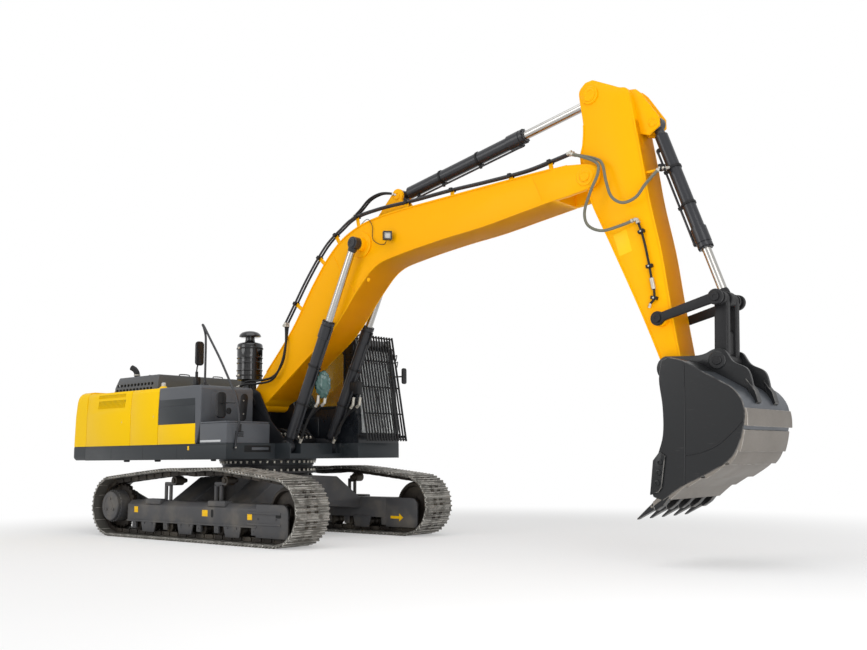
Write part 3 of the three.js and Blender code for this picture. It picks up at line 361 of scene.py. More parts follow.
# ---------------------------------------------------------------- pieces
class Piece:
    """A visible piece, gathered from parts that each have a finish."""

    def __init__(self, name):
        self.name = name
        self.mesh = bmesh.new()
        self.looks = []

    def add(self, part, look, places=(None,)):
        """Takes a part in at one or more places; its finish is a name, or is picked for each face."""
        for face in part.faces:
            name = look(face) if callable(look) else look
            if name not in self.looks:
                self.looks.append(name)
            face.material_index = self.looks.index(name)
            face.smooth = True
        passed = bpy.data.meshes.new("passed")
        part.to_mesh(passed)
        part.free()
        for place in places:
            before = len(self.mesh.verts)
            self.mesh.from_mesh(passed)
            if place is not None:
                self.mesh.verts.ensure_lookup_table()
                bmesh.ops.transform(self.mesh, matrix=place, verts=self.mesh.verts[before:])
        bpy.data.meshes.remove(passed)
        return self

    def mirror(self):
        """Moves all to the other side of the machine."""
        bmesh.ops.scale(self.mesh, vec=(1, -1, 1), verts=self.mesh.verts)
        bmesh.ops.reverse_faces(self.mesh, faces=self.mesh.faces)
        return self

    def object(self, crease=32):
        bmesh.ops.translate(self.mesh, vec=(SLEW_X, 0, 0), verts=self.mesh.verts)
        data = bpy.data.meshes.new(self.name)
        self.mesh.to_mesh(data)
        self.mesh.free()
        for name in self.looks:
            data.materials.append(finish(name))
        data.set_sharp_from_angle(angle=math.radians(crease))
        made = bpy.data.objects.new(self.name, data)
        bpy.context.scene.collection.objects.link(made)
        return made

    def ride(self, body, slot, *nodes):
        """Sets the piece down on a body, in place of nodes of the frame. The slot is not used."""
        made = self.object()
        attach(made, body)
        if nodes:
            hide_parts(*nodes)
        return made


# ---------------------------------------------------------------- shader node groups
def linear(*rgb):
    """A colour given in 0 to 255 steps, as light."""
    return [((v / 255 + 0.055) / 1.055) ** 2.4 if v > 10 else v / 255 / 12.92 for v in rgb]


def put(tree, kind, values=None, **settings):
    """Adds a node; a value that is a socket is linked, and any other is set."""
    made = tree.nodes.new(kind)
    for name, value in settings.items():
        setattr(made, name, value)
    for name, value in (values or {}).items():
        if isinstance(value, bpy.types.NodeSocket):
            tree.links.new(value, made.inputs[name])
        elif hasattr(value, "__len__") and len(made.inputs[name].default_value) == 4 and len(value) == 3:
            made.inputs[name].default_value = (*value, 1)
        else:
            made.inputs[name].default_value = value
    return made


def mixed(tree, share, first, second):
    """Two colours mixed by a share."""
    return put(tree, "ShaderNodeMix", {0: share, 6: first, 7: second}, data_type="RGBA").outputs[2]


def sums(tree, operation, first, second):
    return put(tree, "ShaderNodeMath", {0: first, 1: second}, operation=operation).outputs[0]


def ramp(tree, value, low, high, start=0.0, end=1.0):
    values = {"Value": value, "From Min": low, "From Max": high, "To Min": start, "To Max": end}
    return put(tree, "ShaderNodeMapRange", values, interpolation_type="SMOOTHSTEP").outputs[0]


def cloud(tree, place, scale, detail=4.0):
    values = {"Vector": place, "Scale": scale, "Detail": detail}
    return put(tree, "ShaderNodeTexNoise", values).outputs["Fac"]


KINDS = {"Vector": "NodeSocketVector", "Colour": "NodeSocketColor", "Value": "NodeSocketFloat"}


def group(name, inputs, outputs, fill):
    """A shader node group, made once; fill gets its tree and input sockets and returns its outputs."""
    tree = bpy.data.node_groups.get(name)
    if tree:
        return tree
    tree = bpy.data.node_groups.new(name, "ShaderNodeTree")
    for label, kind in inputs.items():
        tree.interface.new_socket(label, in_out="INPUT", socket_type=KINDS[kind])
    for label, kind in outputs.items():
        tree.interface.new_socket(label, in_out="OUTPUT", socket_type=KINDS[kind])
    entry = tree.nodes.new("NodeGroupInput")
    leave = tree.nodes.new("NodeGroupOutput")
    for label, socket in fill(tree, entry.outputs).items():
        tree.links.new(socket, leave.inputs[label])
    return tree


def use(tree, made, values):
    node = tree.nodes.new("ShaderNodeGroup")
    node.node_tree = made
    for name, value in values.items():
        if isinstance(value, bpy.types.NodeSocket):
            tree.links.new(value, node.inputs[name])
        elif hasattr(value, "__len__"):
            node.inputs[name].default_value = (*value, 1)
        else:
            node.inputs[name].default_value = value
    return node.outputs


def uneven_tone():
    def fill(tree, given):
        wide = cloud(tree, given["Place"], given["Size"])
        fine = cloud(tree, given["Place"], sums(tree, "MULTIPLY", given["Size"], 14.0), 6.0)
        both = sums(tree, "ADD", sums(tree, "MULTIPLY", wide, 0.7), sums(tree, "MULTIPLY", fine, 0.3))
        shift = sums(tree, "MULTIPLY", sums(tree, "SUBTRACT", both, 0.5), given["Spread"])
        values = {"Value": sums(tree, "ADD", shift, 1.0), "Color": given["Colour"]}
        return {"Colour": put(tree, "ShaderNodeHueSaturation", values).outputs[0]}

    inputs = {"Place": "Vector", "Colour": "Colour", "Spread": "Value", "Size": "Value"}
    return group("uneven_tone", inputs, {"Colour": "Colour"}, fill)


def settled_dust():
    """Dust in soft patches that thickens towards the ground."""
    def fill(tree, given):
        patches = ramp(tree, cloud(tree, given["Place"], given["Size"], 8.0), 0.42, 0.72)
        height = put(tree, "ShaderNodeSeparateXYZ", {0: given["Place"]}).outputs[2]
        low = ramp(tree, height, 0.0, 1.4, 1.0, 0.35)
        return {"Mask": sums(tree, "MULTIPLY", sums(tree, "MULTIPLY", patches, low), given["Amount"])}

    inputs = {"Place": "Vector", "Size": "Value", "Amount": "Value"}
    return group("settled_dust", inputs, {"Mask": "Value"}, fill)


def worn_edges():
    """Bright metal along the rounded edges, broken up, with a few long scratches."""
    def fill(tree, given):
        edge = put(tree, "ShaderNodeAttribute", attribute_name="edge").outputs["Fac"]
        broken = ramp(tree, cloud(tree, given["Place"], 9.0, 6.0), 0.35, 0.6)
        stretched = put(tree, "ShaderNodeMapping", {0: given["Place"], "Scale": (3, 40, 55)}).outputs[0]
        lines = ramp(tree, cloud(tree, stretched, 2.0, 3.0), 0.66, 0.74)
        along = sums(tree, "MULTIPLY", edge, broken)
        scratched = sums(tree, "MULTIPLY", lines, given["Scratches"])
        return {"Mask": sums(tree, "MAXIMUM", sums(tree, "MULTIPLY", along, given["Edges"]), scratched)}

    inputs = {"Place": "Vector", "Edges": "Value", "Scratches": "Value"}
    return group("worn_edges", inputs, {"Mask": "Value"}, fill)


def sprayed_skin():
    """The fine unevenness of paint, castings and rubber, as a normal and a change of gloss."""
    def fill(tree, given):
        fine = cloud(tree, given["Place"], given["Grain"], 3.0)
        values = {"Strength": given["Depth"], "Distance": 0.01, "Height": fine}
        wide = cloud(tree, given["Place"], 3.0, 5.0)
        gloss = sums(
            tree, "ADD", sums(tree, "MULTIPLY", sums(tree, "SUBTRACT", wide, 0.5), 0.22), given["Gloss"]
        )
        return {"Normal": put(tree, "ShaderNodeBump", values).outputs[0], "Roughness": gloss}

    inputs = {"Place": "Vector", "Grain": "Value", "Depth": "Value", "Gloss": "Value"}
    return group("sprayed_skin", inputs, {"Normal": "Vector", "Roughness": "Value"}, fill)


# ---------------------------------------------------------------- finishes
def surface(
    name, colour, roughness, metallic=0.0, coat=0.0, tone=0.1, size=1.1, dust=0.0,
    dust_colour=(0.3, 0.26, 0.2), edges=0.0, scratches=0.0, bare=(0.45, 0.43, 0.4), grain=160.0, depth=0.04,
    shine=0.3
):
    """A solid finish with uneven tone, dust, wear along its edges and a fine skin."""
    material = bpy.data.materials.new(name)
    material.use_nodes = True
    tree = material.node_tree
    shader = tree.nodes["Principled BSDF"]
    place = put(tree, "ShaderNodeTexCoord").outputs["Object"]
    base = use(
        tree, uneven_tone(), {"Place": place, "Colour": colour, "Spread": tone, "Size": size}
    )["Colour"]
    if edges or scratches:
        worn = use(tree, worn_edges(), {"Place": place, "Edges": edges, "Scratches": scratches})["Mask"]
        base = mixed(tree, worn, base, bare)
        if not metallic:
            tree.links.new(sums(tree, "MULTIPLY", worn, 0.8), shader.inputs["Metallic"])
    if dust:
        settled = use(tree, settled_dust(), {"Place": place, "Size": 2.6, "Amount": dust})["Mask"]
        base = mixed(tree, settled, base, dust_colour)
    skin = use(tree, sprayed_skin(), {"Place": place, "Grain": grain, "Depth": depth, "Gloss": roughness})
    tree.links.new(base, shader.inputs["Base Color"])
    tree.links.new(skin["Roughness"], shader.inputs["Roughness"])
    tree.links.new(skin["Normal"], shader.inputs["Normal"])
    if metallic:
        shader.inputs["Metallic"].default_value = metallic
    shader.inputs["Specular IOR Level"].default_value = shine
    shader.inputs["Coat Weight"].default_value = coat
    shader.inputs["Coat Roughness"].default_value = 0.12
    return material


def clear_glass(name, tint, roughness=0.03, mirror=0.7):
    material = surface(name, tint, roughness, tone=0.02, depth=0.002)
    shader = material.node_tree.nodes["Principled BSDF"]
    shader.inputs["Transmission Weight"].default_value = 0.92
    shader.inputs["IOR"].default_value = 1.2
    shader.inputs["Metallic"].default_value = mirror
    return material


def woven_cloth(name, colour):
    """Seat cloth: a close weave of two waves over the padded form."""
    material = surface(name, colour, 0.9, tone=0.15)
    tree = material.node_tree
    place = put(tree, "ShaderNodeTexCoord").outputs["Object"]
    ways = [
        put(tree, "ShaderNodeTexWave", {"Vector": place, "Scale": 90.0}, bands_direction=way).outputs["Fac"]
        for way in "YZ"
    ]
    height = sums(tree, "MULTIPLY", *ways)
    bump = put(tree, "ShaderNodeBump", {"Strength": 0.4, "Distance": 0.002, "Height": height})
    shader = tree.nodes["Principled BSDF"]
    tree.links.new(bump.outputs[0], shader.inputs["Normal"])
    shader.inputs["Sheen Weight"].default_value = 0.3
    return material


def finish(name):
    """A finish by its name, made when it is first asked for."""
    made = bpy.data.materials.get(name)
    if made:
        return made
    paint = bpy.context.scene.excavator_paint
    makers = {
        "body_paint": lambda: surface(name, paint.body, 0.36, coat=0.03, tone=0.07, shine=0.1),
        "boom_paint": lambda: surface(name, paint.boom, 0.42, coat=0.02, tone=0.07, grain=120.0, depth=0.06,
            shine=0.1), "tank_grey": lambda: surface(name, paint.tank, 0.42, coat=0.15, tone=0.12),
        "skirt_grey": lambda: surface(name, paint.skirt, 0.42, coat=0.1, tone=0.12),
        "cab_grey": lambda: surface(name, linear(26, 29, 34), 0.3, coat=0.3, tone=0.12),
        "frame_paint": lambda: surface(name, linear(28, 30, 34), 0.45, coat=0.1, tone=0.2, dust=0.08),
        "running_gear": lambda: surface(name, linear(74, 74, 76), 0.5, tone=0.2, dust=0.3, edges=0.25),
        "cast_black": lambda: surface(name, linear(22, 22, 24), 0.46, tone=0.25, grain=60.0, depth=0.2),
        "bucket_paint": lambda: surface(name, linear(20, 21, 23), 0.34, coat=0.12, tone=0.2, edges=0.3,
            scratches=0.04), "wear_steel": lambda: surface(name, linear(124, 118, 111), 0.42, metallic=0.4,
            tone=0.5, size=2.4, edges=0.9, scratches=0.35, bare=linear(172, 168, 162), grain=50.0,
            # rubbed_steel: scratched steel whose lighter blue-grey colour also paints the sheen of light on
            # the bucket's upper back
            depth=0.15), "rubbed_steel": lambda: surface(name, linear(84, 88, 94), 0.34, metallic=0.55,
            tone=0.45, size=2.0, scratches=0.3, bare=linear(170, 170, 168), grain=50.0, depth=0.12),
        "shoe_steel": lambda: surface(name, linear(104, 102, 97), 0.46, metallic=0.5, tone=0.55, size=3.0,
            dust=0.15, edges=1.0, scratches=0.3, bare=linear(222, 219, 212),
            dust_colour=linear(150, 142, 130), grain=70.0, depth=0.2),
        "chain_steel": lambda: surface(name, linear(46, 41, 37), 0.45, metallic=0.4, tone=0.5, size=4.0,
            dust=0.3, grain=60.0, depth=0.2), "hard_chrome": lambda: surface(name, linear(184, 182, 178),
            0.24, metallic=1.0, tone=0.12, size=3.0, scratches=0.05, grain=300.0, depth=0.01),
        "barrel_grey": lambda: surface(name, linear(40, 41, 45), 0.32, coat=0.25, tone=0.12),
        "bright_zinc": lambda: surface(name, linear(186, 182, 172), 0.4, metallic=0.6, tone=0.2, size=9.0),
        "hose_rubber": lambda: surface(name, linear(24, 24, 25), 0.5, tone=0.3, size=6.0, grain=240.0,
            depth=0.3), "wrapped_hose": lambda: surface(name, linear(112, 112, 100), 0.6, tone=0.3, size=30.0,
            # window_rubber: real black rubber for seals and seams, and also used for flat dark patches and
            # sheets that paint the shade inside holes, a recess and vents
            grain=260.0, depth=0.5), "window_rubber": lambda: surface(name, linear(20, 20, 21), 0.7, tone=0.1,
            grain=300.0, depth=0.1), "black_plastic": lambda: surface(name, linear(22, 22, 24), 0.42,
            coat=0.2, tone=0.15, grain=260.0, depth=0.12),
        "filter_gloss": lambda: surface(name, linear(14, 14, 16), 0.16, coat=0.7, tone=0.1, grain=40.0,
            depth=0.02), "mark_yellow": lambda: surface(name, linear(250, 196, 4), 0.45, tone=0.06, size=6.0),
        "pale_plate": lambda: surface(name, linear(196, 198, 200), 0.35, tone=0.08, size=8.0),
        "sheet_wrap": lambda: surface(name, linear(66, 96, 92), 0.22, coat=0.6, tone=0.5, size=9.0,
            grain=14.0, depth=0.6), "mirror_face": lambda: surface(name, linear(200, 204, 208), 0.05,
            metallic=1.0, tone=0.02, depth=0.0), "lamp_lens": lambda: surface(name, linear(176, 178, 176),
            0.12, coat=0.8, tone=0.1, size=20.0, grain=60.0),
        "red_cap": lambda: surface(name, linear(150, 26, 22), 0.4, tone=0.1, size=6.0),
        "clear_pane": lambda: clear_glass(name, (0.88, 0.94, 0.93)),
        "front_pane": lambda: clear_glass(name, (0.93, 0.96, 0.95), 0.32, 0.85),
        "seat_cloth": lambda: woven_cloth(name, linear(34, 34, 37))
    }
    if name not in makers:
        raise ValueError(f"there is no finish named {name}")
    return makers[name]()


def dress(node, name):
    """Gives a node of the frame a finish."""
    data = frame["nodes"][node].data
    data.materials.clear()
    data.materials.append(finish(name))


def colour_value(label, about, default):
    return bpy.props.FloatVectorProperty(
        name=label, description=about, subtype="COLOR", size=3, min=0, max=1, default=default
    )


def length_value(label, about, default):
    return bpy.props.FloatProperty(
        name=label, description=about, default=default, min=0, subtype="DISTANCE", unit="LENGTH"
    )


class PaintSettings(bpy.types.PropertyGroup):
    """The paints of the machine."""

    body: colour_value("Body", "Doors, side panels and counterweight", linear(255, 206, 0))
    boom: colour_value("Boom and arm", "The welded boom and arm", linear(253, 178, 0))
    tank: colour_value("Panels", "Hood, tanks and toolbox", linear(84, 87, 92))
    skirt: colour_value("Skirt", "The band round the foot of the upper works", linear(36, 41, 45))


class StageSettings(bpy.types.PropertyGroup):
    """Camera, lamps and floor."""

    camera_place: bpy.props.FloatVectorProperty(
        name="Camera", description="Where the camera stands", size=3, subtype="TRANSLATION", unit="LENGTH",
        default=(9.839, -10.289, 1.176)
    )
    camera_turn: bpy.props.FloatVectorProperty(
        name="Camera turn", description="Turn to the left, tilt above level and roll", size=3,
        unit="ROTATION", default=(math.radians(40.24), math.radians(7.77), math.radians(-0.54))
    )
    lens: bpy.props.FloatProperty(
        name="Lens", description="Focal length", default=40.54, min=1, unit="CAMERA"
    )
    daylight: bpy.props.FloatProperty(
        name="Daylight", description="Strength of the even light from all round", default=0.5, min=0
    )
    lamps: bpy.props.FloatProperty(name="Lamps", description="Power of the soft lamps", default=1.0, min=0)


def white_world(daylight):
    """White to the eye and in gloss and glass, and an even soft light on everything else."""
    world = bpy.data.worlds.new("backdrop")
    bpy.context.scene.world = world
    world.use_nodes = True
    tree = world.node_tree
    tree.nodes.clear()
    rays = put(tree, "ShaderNodeLightPath").outputs
    seen = sums(tree, "MAXIMUM", rays["Is Camera Ray"], rays["Is Transmission Ray"])
    seen = sums(tree, "MAXIMUM", seen, sums(tree, "MULTIPLY", rays["Is Glossy Ray"], 0.85))
    strength = sums(tree, "MAXIMUM", seen, daylight)
    light = put(tree, "ShaderNodeBackground", {"Color": (1, 1, 1), "Strength": strength})
    tree.links.new(light.outputs[0], put(tree, "ShaderNodeOutputWorld").inputs[0])


def floor_finish():
    """A plain pale floor that turns white away from the machine."""
    material = bpy.data.materials.new("pale_floor")
    material.use_nodes = True
    tree = material.node_tree
    tree.nodes.clear()
    place = put(tree, "ShaderNodeTexCoord").outputs["Object"]
    tone = use(tree, uneven_tone(), {"Place": place, "Colour": (0.9, 0.9, 0.9), "Spread": 0.02, "Size": 0.8})
    away = put(tree, "ShaderNodeVectorMath", {0: place}, operation="LENGTH").outputs["Value"]
    rays = put(tree, "ShaderNodeLightPath").outputs
    seen = sums(tree, "MAXIMUM", rays["Is Camera Ray"], rays["Is Glossy Ray"])
    share = sums(tree, "MULTIPLY", ramp(tree, away, 5.0, 11.0, 0.35, 1.0), seen)
    pale = put(tree, "ShaderNodeBsdfDiffuse", {"Color": tone["Colour"]}).outputs[0]
    white = put(tree, "ShaderNodeEmission", {"Color": (1, 1, 1), "Strength": 1.0}).outputs[0]
    blend = put(tree, "ShaderNodeMixShader", {0: share, 1: pale, 2: white}).outputs[0]
    tree.links.new(blend, put(tree, "ShaderNodeOutputMaterial").inputs[0])
    return material


def area_lamp(name, place, target, size, power):
    lamp = bpy.data.lights.new(name, "AREA")
    lamp.shape = "DISK"
    lamp.size = size
    lamp.energy = power
    holder = bpy.data.objects.new(name, lamp)
    holder.location = place
    holder.rotation_euler = (Vector(target) - Vector(place)).to_track_quat("-Z", "Y").to_euler()
    bpy.context.scene.collection.objects.link(holder)


class BuildStage(bpy.types.Operator):
    """Makes the floor, the backdrop, the lamps and the camera"""

    bl_idname = "excavator.stage"
    bl_label = "Stage"

    def execute(self, context):
        settings = context.scene.excavator_stage
        white_world(settings.daylight)
        reach = 120
        sheet = bmesh.new()
        bmesh.ops.create_grid(sheet, x_segments=1, y_segments=1, size=reach)
        data = bpy.data.meshes.new("floor")
        sheet.to_mesh(data)
        sheet.free()
        data.materials.append(floor_finish())
        floor = bpy.data.objects.new("floor", data)
        context.scene.collection.objects.link(floor)
        middle = (0, 0, 1.8)
        area_lamp("sky_lamp", (2, -3, 14), middle, 14, 640 * settings.lamps)
        area_lamp("front_lamp", (13, -7, 7), middle, 8, 380 * settings.lamps)
        area_lamp("side_lamp", (-6, -15, 7), middle, 9, 490 * settings.lamps)
        area_lamp("low_lamp", (8, -5, 0.3), (1.5, 0, 3.4), 6, 270 * settings.lamps)
        lens = bpy.data.cameras.new("camera")
        lens.lens = settings.lens
        lens.sensor_width = 36
        lens.clip_end = 500
        camera = bpy.data.objects.new("camera", lens)
        turn, tilt, roll = settings.camera_turn
        level = math.radians(90)
        look = Matrix.Rotation(turn, 4, "Z") @ Matrix.Rotation(
            level + tilt, 4, "X"
        ) @ Matrix.Rotation(roll, 4, "Z")
        camera.matrix_world = Matrix.Translation(settings.camera_place) @ look
        context.scene.collection.objects.link(camera)
        context.scene.camera = camera
        context.scene.view_settings.view_transform = "Standard"
        return {"FINISHED"}


# ---------------------------------------------------------------- undercarriage
class TrackSettings(bpy.types.PropertyGroup):
    """Sizes of the running gear."""

    shoes: bpy.props.IntProperty(name="Shoes", description="Shoes on each track", default=51, min=12)
    grouser: length_value("Grouser", "Height of the bars on a shoe", 0.025)
    plate: length_value("Plate", "Thickness of a shoe", 0.02)
    chain: length_value("Chain", "Depth of a link below its shoe", 0.07)
    roller: length_value("Roller", "Radius of a bottom roller", 0.075)


SHOE_HALF = 0.3
BEAM_OUT = CHAIN_Y - 0.185
BEAM_IN = CHAIN_Y + 0.17
BEAM_TOP = TUMBLER_Z + 0.1
BEAM_BOTTOM = 0.26
BEAM_REAR = WHEEL_RADIUS + 0.055 - TUMBLER_X
BEAM_FRONT = TUMBLER_X - WHEEL_RADIUS - 0.145
CARRIERS = ((-0.53, 0.122), (0.7, 0.132))     # X, and how far a carrier roller lifts the track


def belt_line(grouser):
    """The line of the shoes' outer faces, all the way round."""
    radius = TUMBLER_Z - grouser
    top = TUMBLER_Z + radius
    (rear, rear_lift), (front, front_lift) = CARRIERS
    over = [(x, 2 * TUMBLER_Z + lift - grouser) for x, lift in ((front, front_lift), (rear, rear_lift))]
    sag = 0.012
    middle = ((rear + front) / 2, over[1][1] - sag)
    upper_run = smooth_line([(TUMBLER_X, top), over[0], middle, over[1], (-TUMBLER_X, top)], 40)
    line = arc((TUMBLER_X, TUMBLER_Z), radius, -90, 90, 40) + upper_run[1:-1]
    line += arc((-TUMBLER_X, TUMBLER_Z), radius, 90, 270, 40)
    return line + line[:1]


def shoe_places(line, count):
    """A matrix for each shoe: X along the track, Z outwards, at the middle of its plate."""
    lengths = [0.0]
    for first, second in zip(line, line[1:]):
        lengths.append(lengths[-1] + (second - first).length)
    pitch = lengths[-1] / count

    def at(distance):
        distance %= lengths[-1]
        i = next(k for k in range(1, len(lengths)) if lengths[k] >= distance)
        share = (distance - lengths[i - 1]) / (lengths[i] - lengths[i - 1])
        return line[i - 1].lerp(line[i], share)

    places = []
    for i in range(count):
        first, second = at(i * pitch), at((i + 1) * pitch)
        way = (second - first).normalized()
        middle = (first + second) / 2
        places.append(
            Matrix(((way.x, 0, way.y, middle.x), (0, 1, 0, CHAIN_Y), (way.y, 0, -way.x, middle.y),
                (0, 0, 0, 1)))
        )
    return places, pitch


def mark_edges(part, width, segments=1, above=28):
    """Rounds the edges of a part and marks them for wear."""
    marks = part.faces.layers.float.get("edge") or part.faces.layers.float.new("edge")
    edges = [e for e in part.edges if len(e.link_faces) == 2 and e.calc_face_angle(0) > math.radians(above)]
    made = bmesh.ops.bevel(
        part, geom=edges, offset=width, affect="EDGES", segments=segments, profile=0.5, material=-1,
        clamp_overlap=True
    )
    for face in made["faces"]:
        face[marks] = 1
    return part


def shoe(pitch, settings):
    """A shoe with three bars, its front and rear lips lapping its neighbours'."""
    third = pitch / 3
    half = pitch / 2 - 0.003
    section = [(half - 0.004, -settings.plate), (half, -settings.plate / 2), (half, 0)]
    for middle in (third, 0, -third):
        section += [
            (middle + 0.017, 0), (middle + 0.008, settings.grouser), (middle - 0.008, settings.grouser),
            (middle - 0.017, 0)
        ]
    section += [(-half, 0), (-half, -settings.plate / 2), (0.004 - half, -settings.plate)]
    return mark_edges(poly(section, "Y", -SHOE_HALF, SHOE_HALF), 0.003)


def chain_links(pitch, settings):
    """The two pairs of link halves behind a shoe, and the pin that joins it to the next."""
    low = -settings.plate - settings.chain
    middle = -settings.plate - settings.chain * 0.55
    reach = pitch / 2
    parts = []
    for side in (-1, 1):
        for start, end, near in ((-reach, 0.03, 0.092), (-0.03, reach, 0.072)):
            line = link_line((start, middle), (end, middle), 0.03, steps=5)
            parts.append(slab(line, side, near, near + 0.022))
        y0, y1 = sorted((side * 0.07, side * 0.1))
        parts.append(block(-reach * 0.8, reach * 0.8, y0, y1, low + 0.008, -settings.plate - 0.002))
    parts.append(rod((-reach, -0.118, middle), (-reach, 0.118, middle), 0.019, 10))
    return parts


class BuildTracks(bpy.types.Operator):
    """Lays both tracks, shoe by shoe, round their wheels and rollers"""

    bl_idname = "excavator.tracks"
    bl_label = "Tracks"

    def execute(self, context):
        settings = context.scene.excavator_track
        places, pitch = shoe_places(belt_line(settings.grouser), settings.shoes)
        for side in ("right", "left"):
            shoes = Piece(f"track_shoes_{side}")
            shoes.add(shoe(pitch, settings), "shoe_steel", places)
            for along in (-pitch / 6, pitch / 6):
                for y in (-0.085, -0.05, 0.05, 0.085):
                    shoes.add(bolt((along, y, 0), (0, 0, 1), 0.013, 0.012), "chain_steel", places)
            chain = Piece(f"track_chain_{side}")
            for part in chain_links(pitch, settings):
                chain.add(part, "chain_steel", places)
            for piece in (shoes, chain):
                if side == "left":
                    piece.mirror()
            shoes.ride("undercarriage", "track_steel", f"track_{side}")
            chain.ride("undercarriage", "track_steel")
        return {"FINISHED"}


def sprocket_and_drive(piece):
    """The toothed rim, and the round housing of the final drive with its bolted cover."""
    teeth = 21
    rim = []
    for i in range(teeth):
        for step, radius in ((0.1, 0.32), (0.32, 0.352), (0.68, 0.352), (0.9, 0.32)):
            turn = math.tau * (i + step) / teeth
            rim.append((-TUMBLER_X + radius * math.cos(turn), TUMBLER_Z + radius * math.sin(turn)))
    piece.add(soften(poly(rim, "Y", CHAIN_Y - 0.035, CHAIN_Y + 0.035), 0.004), "chain_steel")
    axle = (-TUMBLER_X, CHAIN_Y, TUMBLER_Z)
    housing = [
        (0, 0.05), (0.24, 0.05), (0.25, 0.04), (0.25, 0.19), (0.235, 0.2), (0.228, 0.2), (0.228, 0.243),
        (0.22, 0.252), (0.16, 0.255), (0.155, 0.25), (0.07, 0.25), (0.065, 0.255), (0, 0.255)
    ]
    piece.add(spun(housing, axle, (0, -1, 0), 56), "running_gear")
    inner = [(0, -0.05), (0.2, -0.05), (0.2, -0.12), (0.17, -0.135), (0, -0.135)]
    piece.add(spun([(r, -h) for r, h in inner], axle, (0, 1, 0), 40), "frame_paint")
    for i in range(28):
        turn = math.tau * i / 28
        place = (-TUMBLER_X + 0.241 * math.cos(turn), CHAIN_Y - 0.2, TUMBLER_Z + 0.241 * math.sin(turn))
        piece.add(bolt(place, (0, -1, 0), 0.011, 0.014), "running_gear")
    for turn in (90, 210, 330):
        x, z = 0.11 * math.cos(math.radians(turn)), 0.11 * math.sin(math.radians(turn))
        place = (x - TUMBLER_X, CHAIN_Y - 0.25, TUMBLER_Z + z)
        piece.add(bolt(place, (0, -1, 0), 0.02, 0.012), "running_gear")


def idler_wheel(piece):
    """The front wheel with its worn tread, dished sides and bearing blocks."""
    axle = (TUMBLER_X, CHAIN_Y, TUMBLER_Z)
    tread = [
        (0, -0.105), (0.1, -0.105), (0.11, -0.095), (0.115, -0.05), (0.27, -0.035), (0.29, -0.085),
        (0.325, -0.085), (0.33, -0.045), (0.351, -0.04), (0.351, 0.04), (0.33, 0.045), (0.325, 0.085),
        (0.29, 0.085), (0.27, 0.035), (0.115, 0.05), (0.11, 0.095), (0.1, 0.105), (0, 0.105)
    ]
    piece.add(spun(tread, axle, (0, 1, 0), 64), "chain_steel")
    ends = (BEAM_OUT + 0.031, BEAM_IN - 0.031)
    piece.add(across((TUMBLER_X, TUMBLER_Z), *ends, 0.058), "cast_black")
    for y0, y1 in ((ends[0], ends[0] + 0.06), (ends[1] - 0.06, ends[1])):
        piece.add(
            soft_block(TUMBLER_X - 0.12, TUMBLER_X + 0.1, y0, y1, TUMBLER_Z - 0.09, TUMBLER_Z + 0.09, 0.015),
            "cast_black"
        )


def roller(x, z, radius, half):
    """A double-flanged roller on its shaft."""
    flange = radius + 0.014
    profile = [
        (0, -half), (0.04, -half), (0.045, 0.03 - half), (radius - 0.01, 0.035 - half),
        (flange, 0.045 - half), (flange, 0.062 - half), (radius, 0.068 - half), (radius, -0.03),
        (radius - 0.02, -0.02)
    ]
    return spun(profile + [(r, -h) for r, h in reversed(profile)], (x, CHAIN_Y, z), (0, 1, 0), 28)


def yoke_guard(piece):
    """The box over the idler's yoke: two ribs, and a flat dark patch that paints the shade of a round hole,
    on a face with round corners.
    """
    front = TUMBLER_X + 0.15
    rear = BEAM_FRONT - 0.02
    low = 0.12
    outline = [(rear, low), *arc((front - 0.06, low + 0.06), 0.06, 270, 360, 6),
               *arc((front - 0.12, BEAM_TOP - 0.12), 0.12, 0, 90, 8), (rear, BEAM_TOP)]
    for y0, y1 in ((BEAM_OUT, BEAM_OUT + 0.03), (BEAM_IN - 0.03, BEAM_IN)):
        piece.add(soften(poly(outline, "Y", y0, y1), 0.007), "running_gear")
    face = BEAM_OUT
    for z in (0.3, 0.45):
        piece.add(
            soft_block(rear - 0.18, front - 0.14, face - 0.012, face + 0.005, z - 0.016, z + 0.016, 0.01),
            "running_gear"
        )
    for x in (rear + 0.04, front - 0.24):
        piece.add(bolt((x, face, 0.375), (0, -1, 0), 0.014, 0.01), "running_gear")
    # A flat dark patch paints the shade inside the round hole.
    hole = (front - 0.19, 0.42)
    piece.add(
        poly(link_line((hole[0] - 0.03, hole[1]), (hole[0] + 0.03, hole[1]), 0.026), "Y", face - 0.002, face),
        "window_rubber"
    )
    top = BEAM_TOP
    sheet = [(rear, top - 0.012), (front - 0.14, top - 0.012), (front - 0.14, top), (rear, top)]
    piece.add(poly(sheet, "Y", BEAM_OUT + 0.03, BEAM_OUT + 0.09), "running_gear")
    piece.add(poly(sheet, "Y", BEAM_IN - 0.09, BEAM_IN - 0.03), "running_gear")


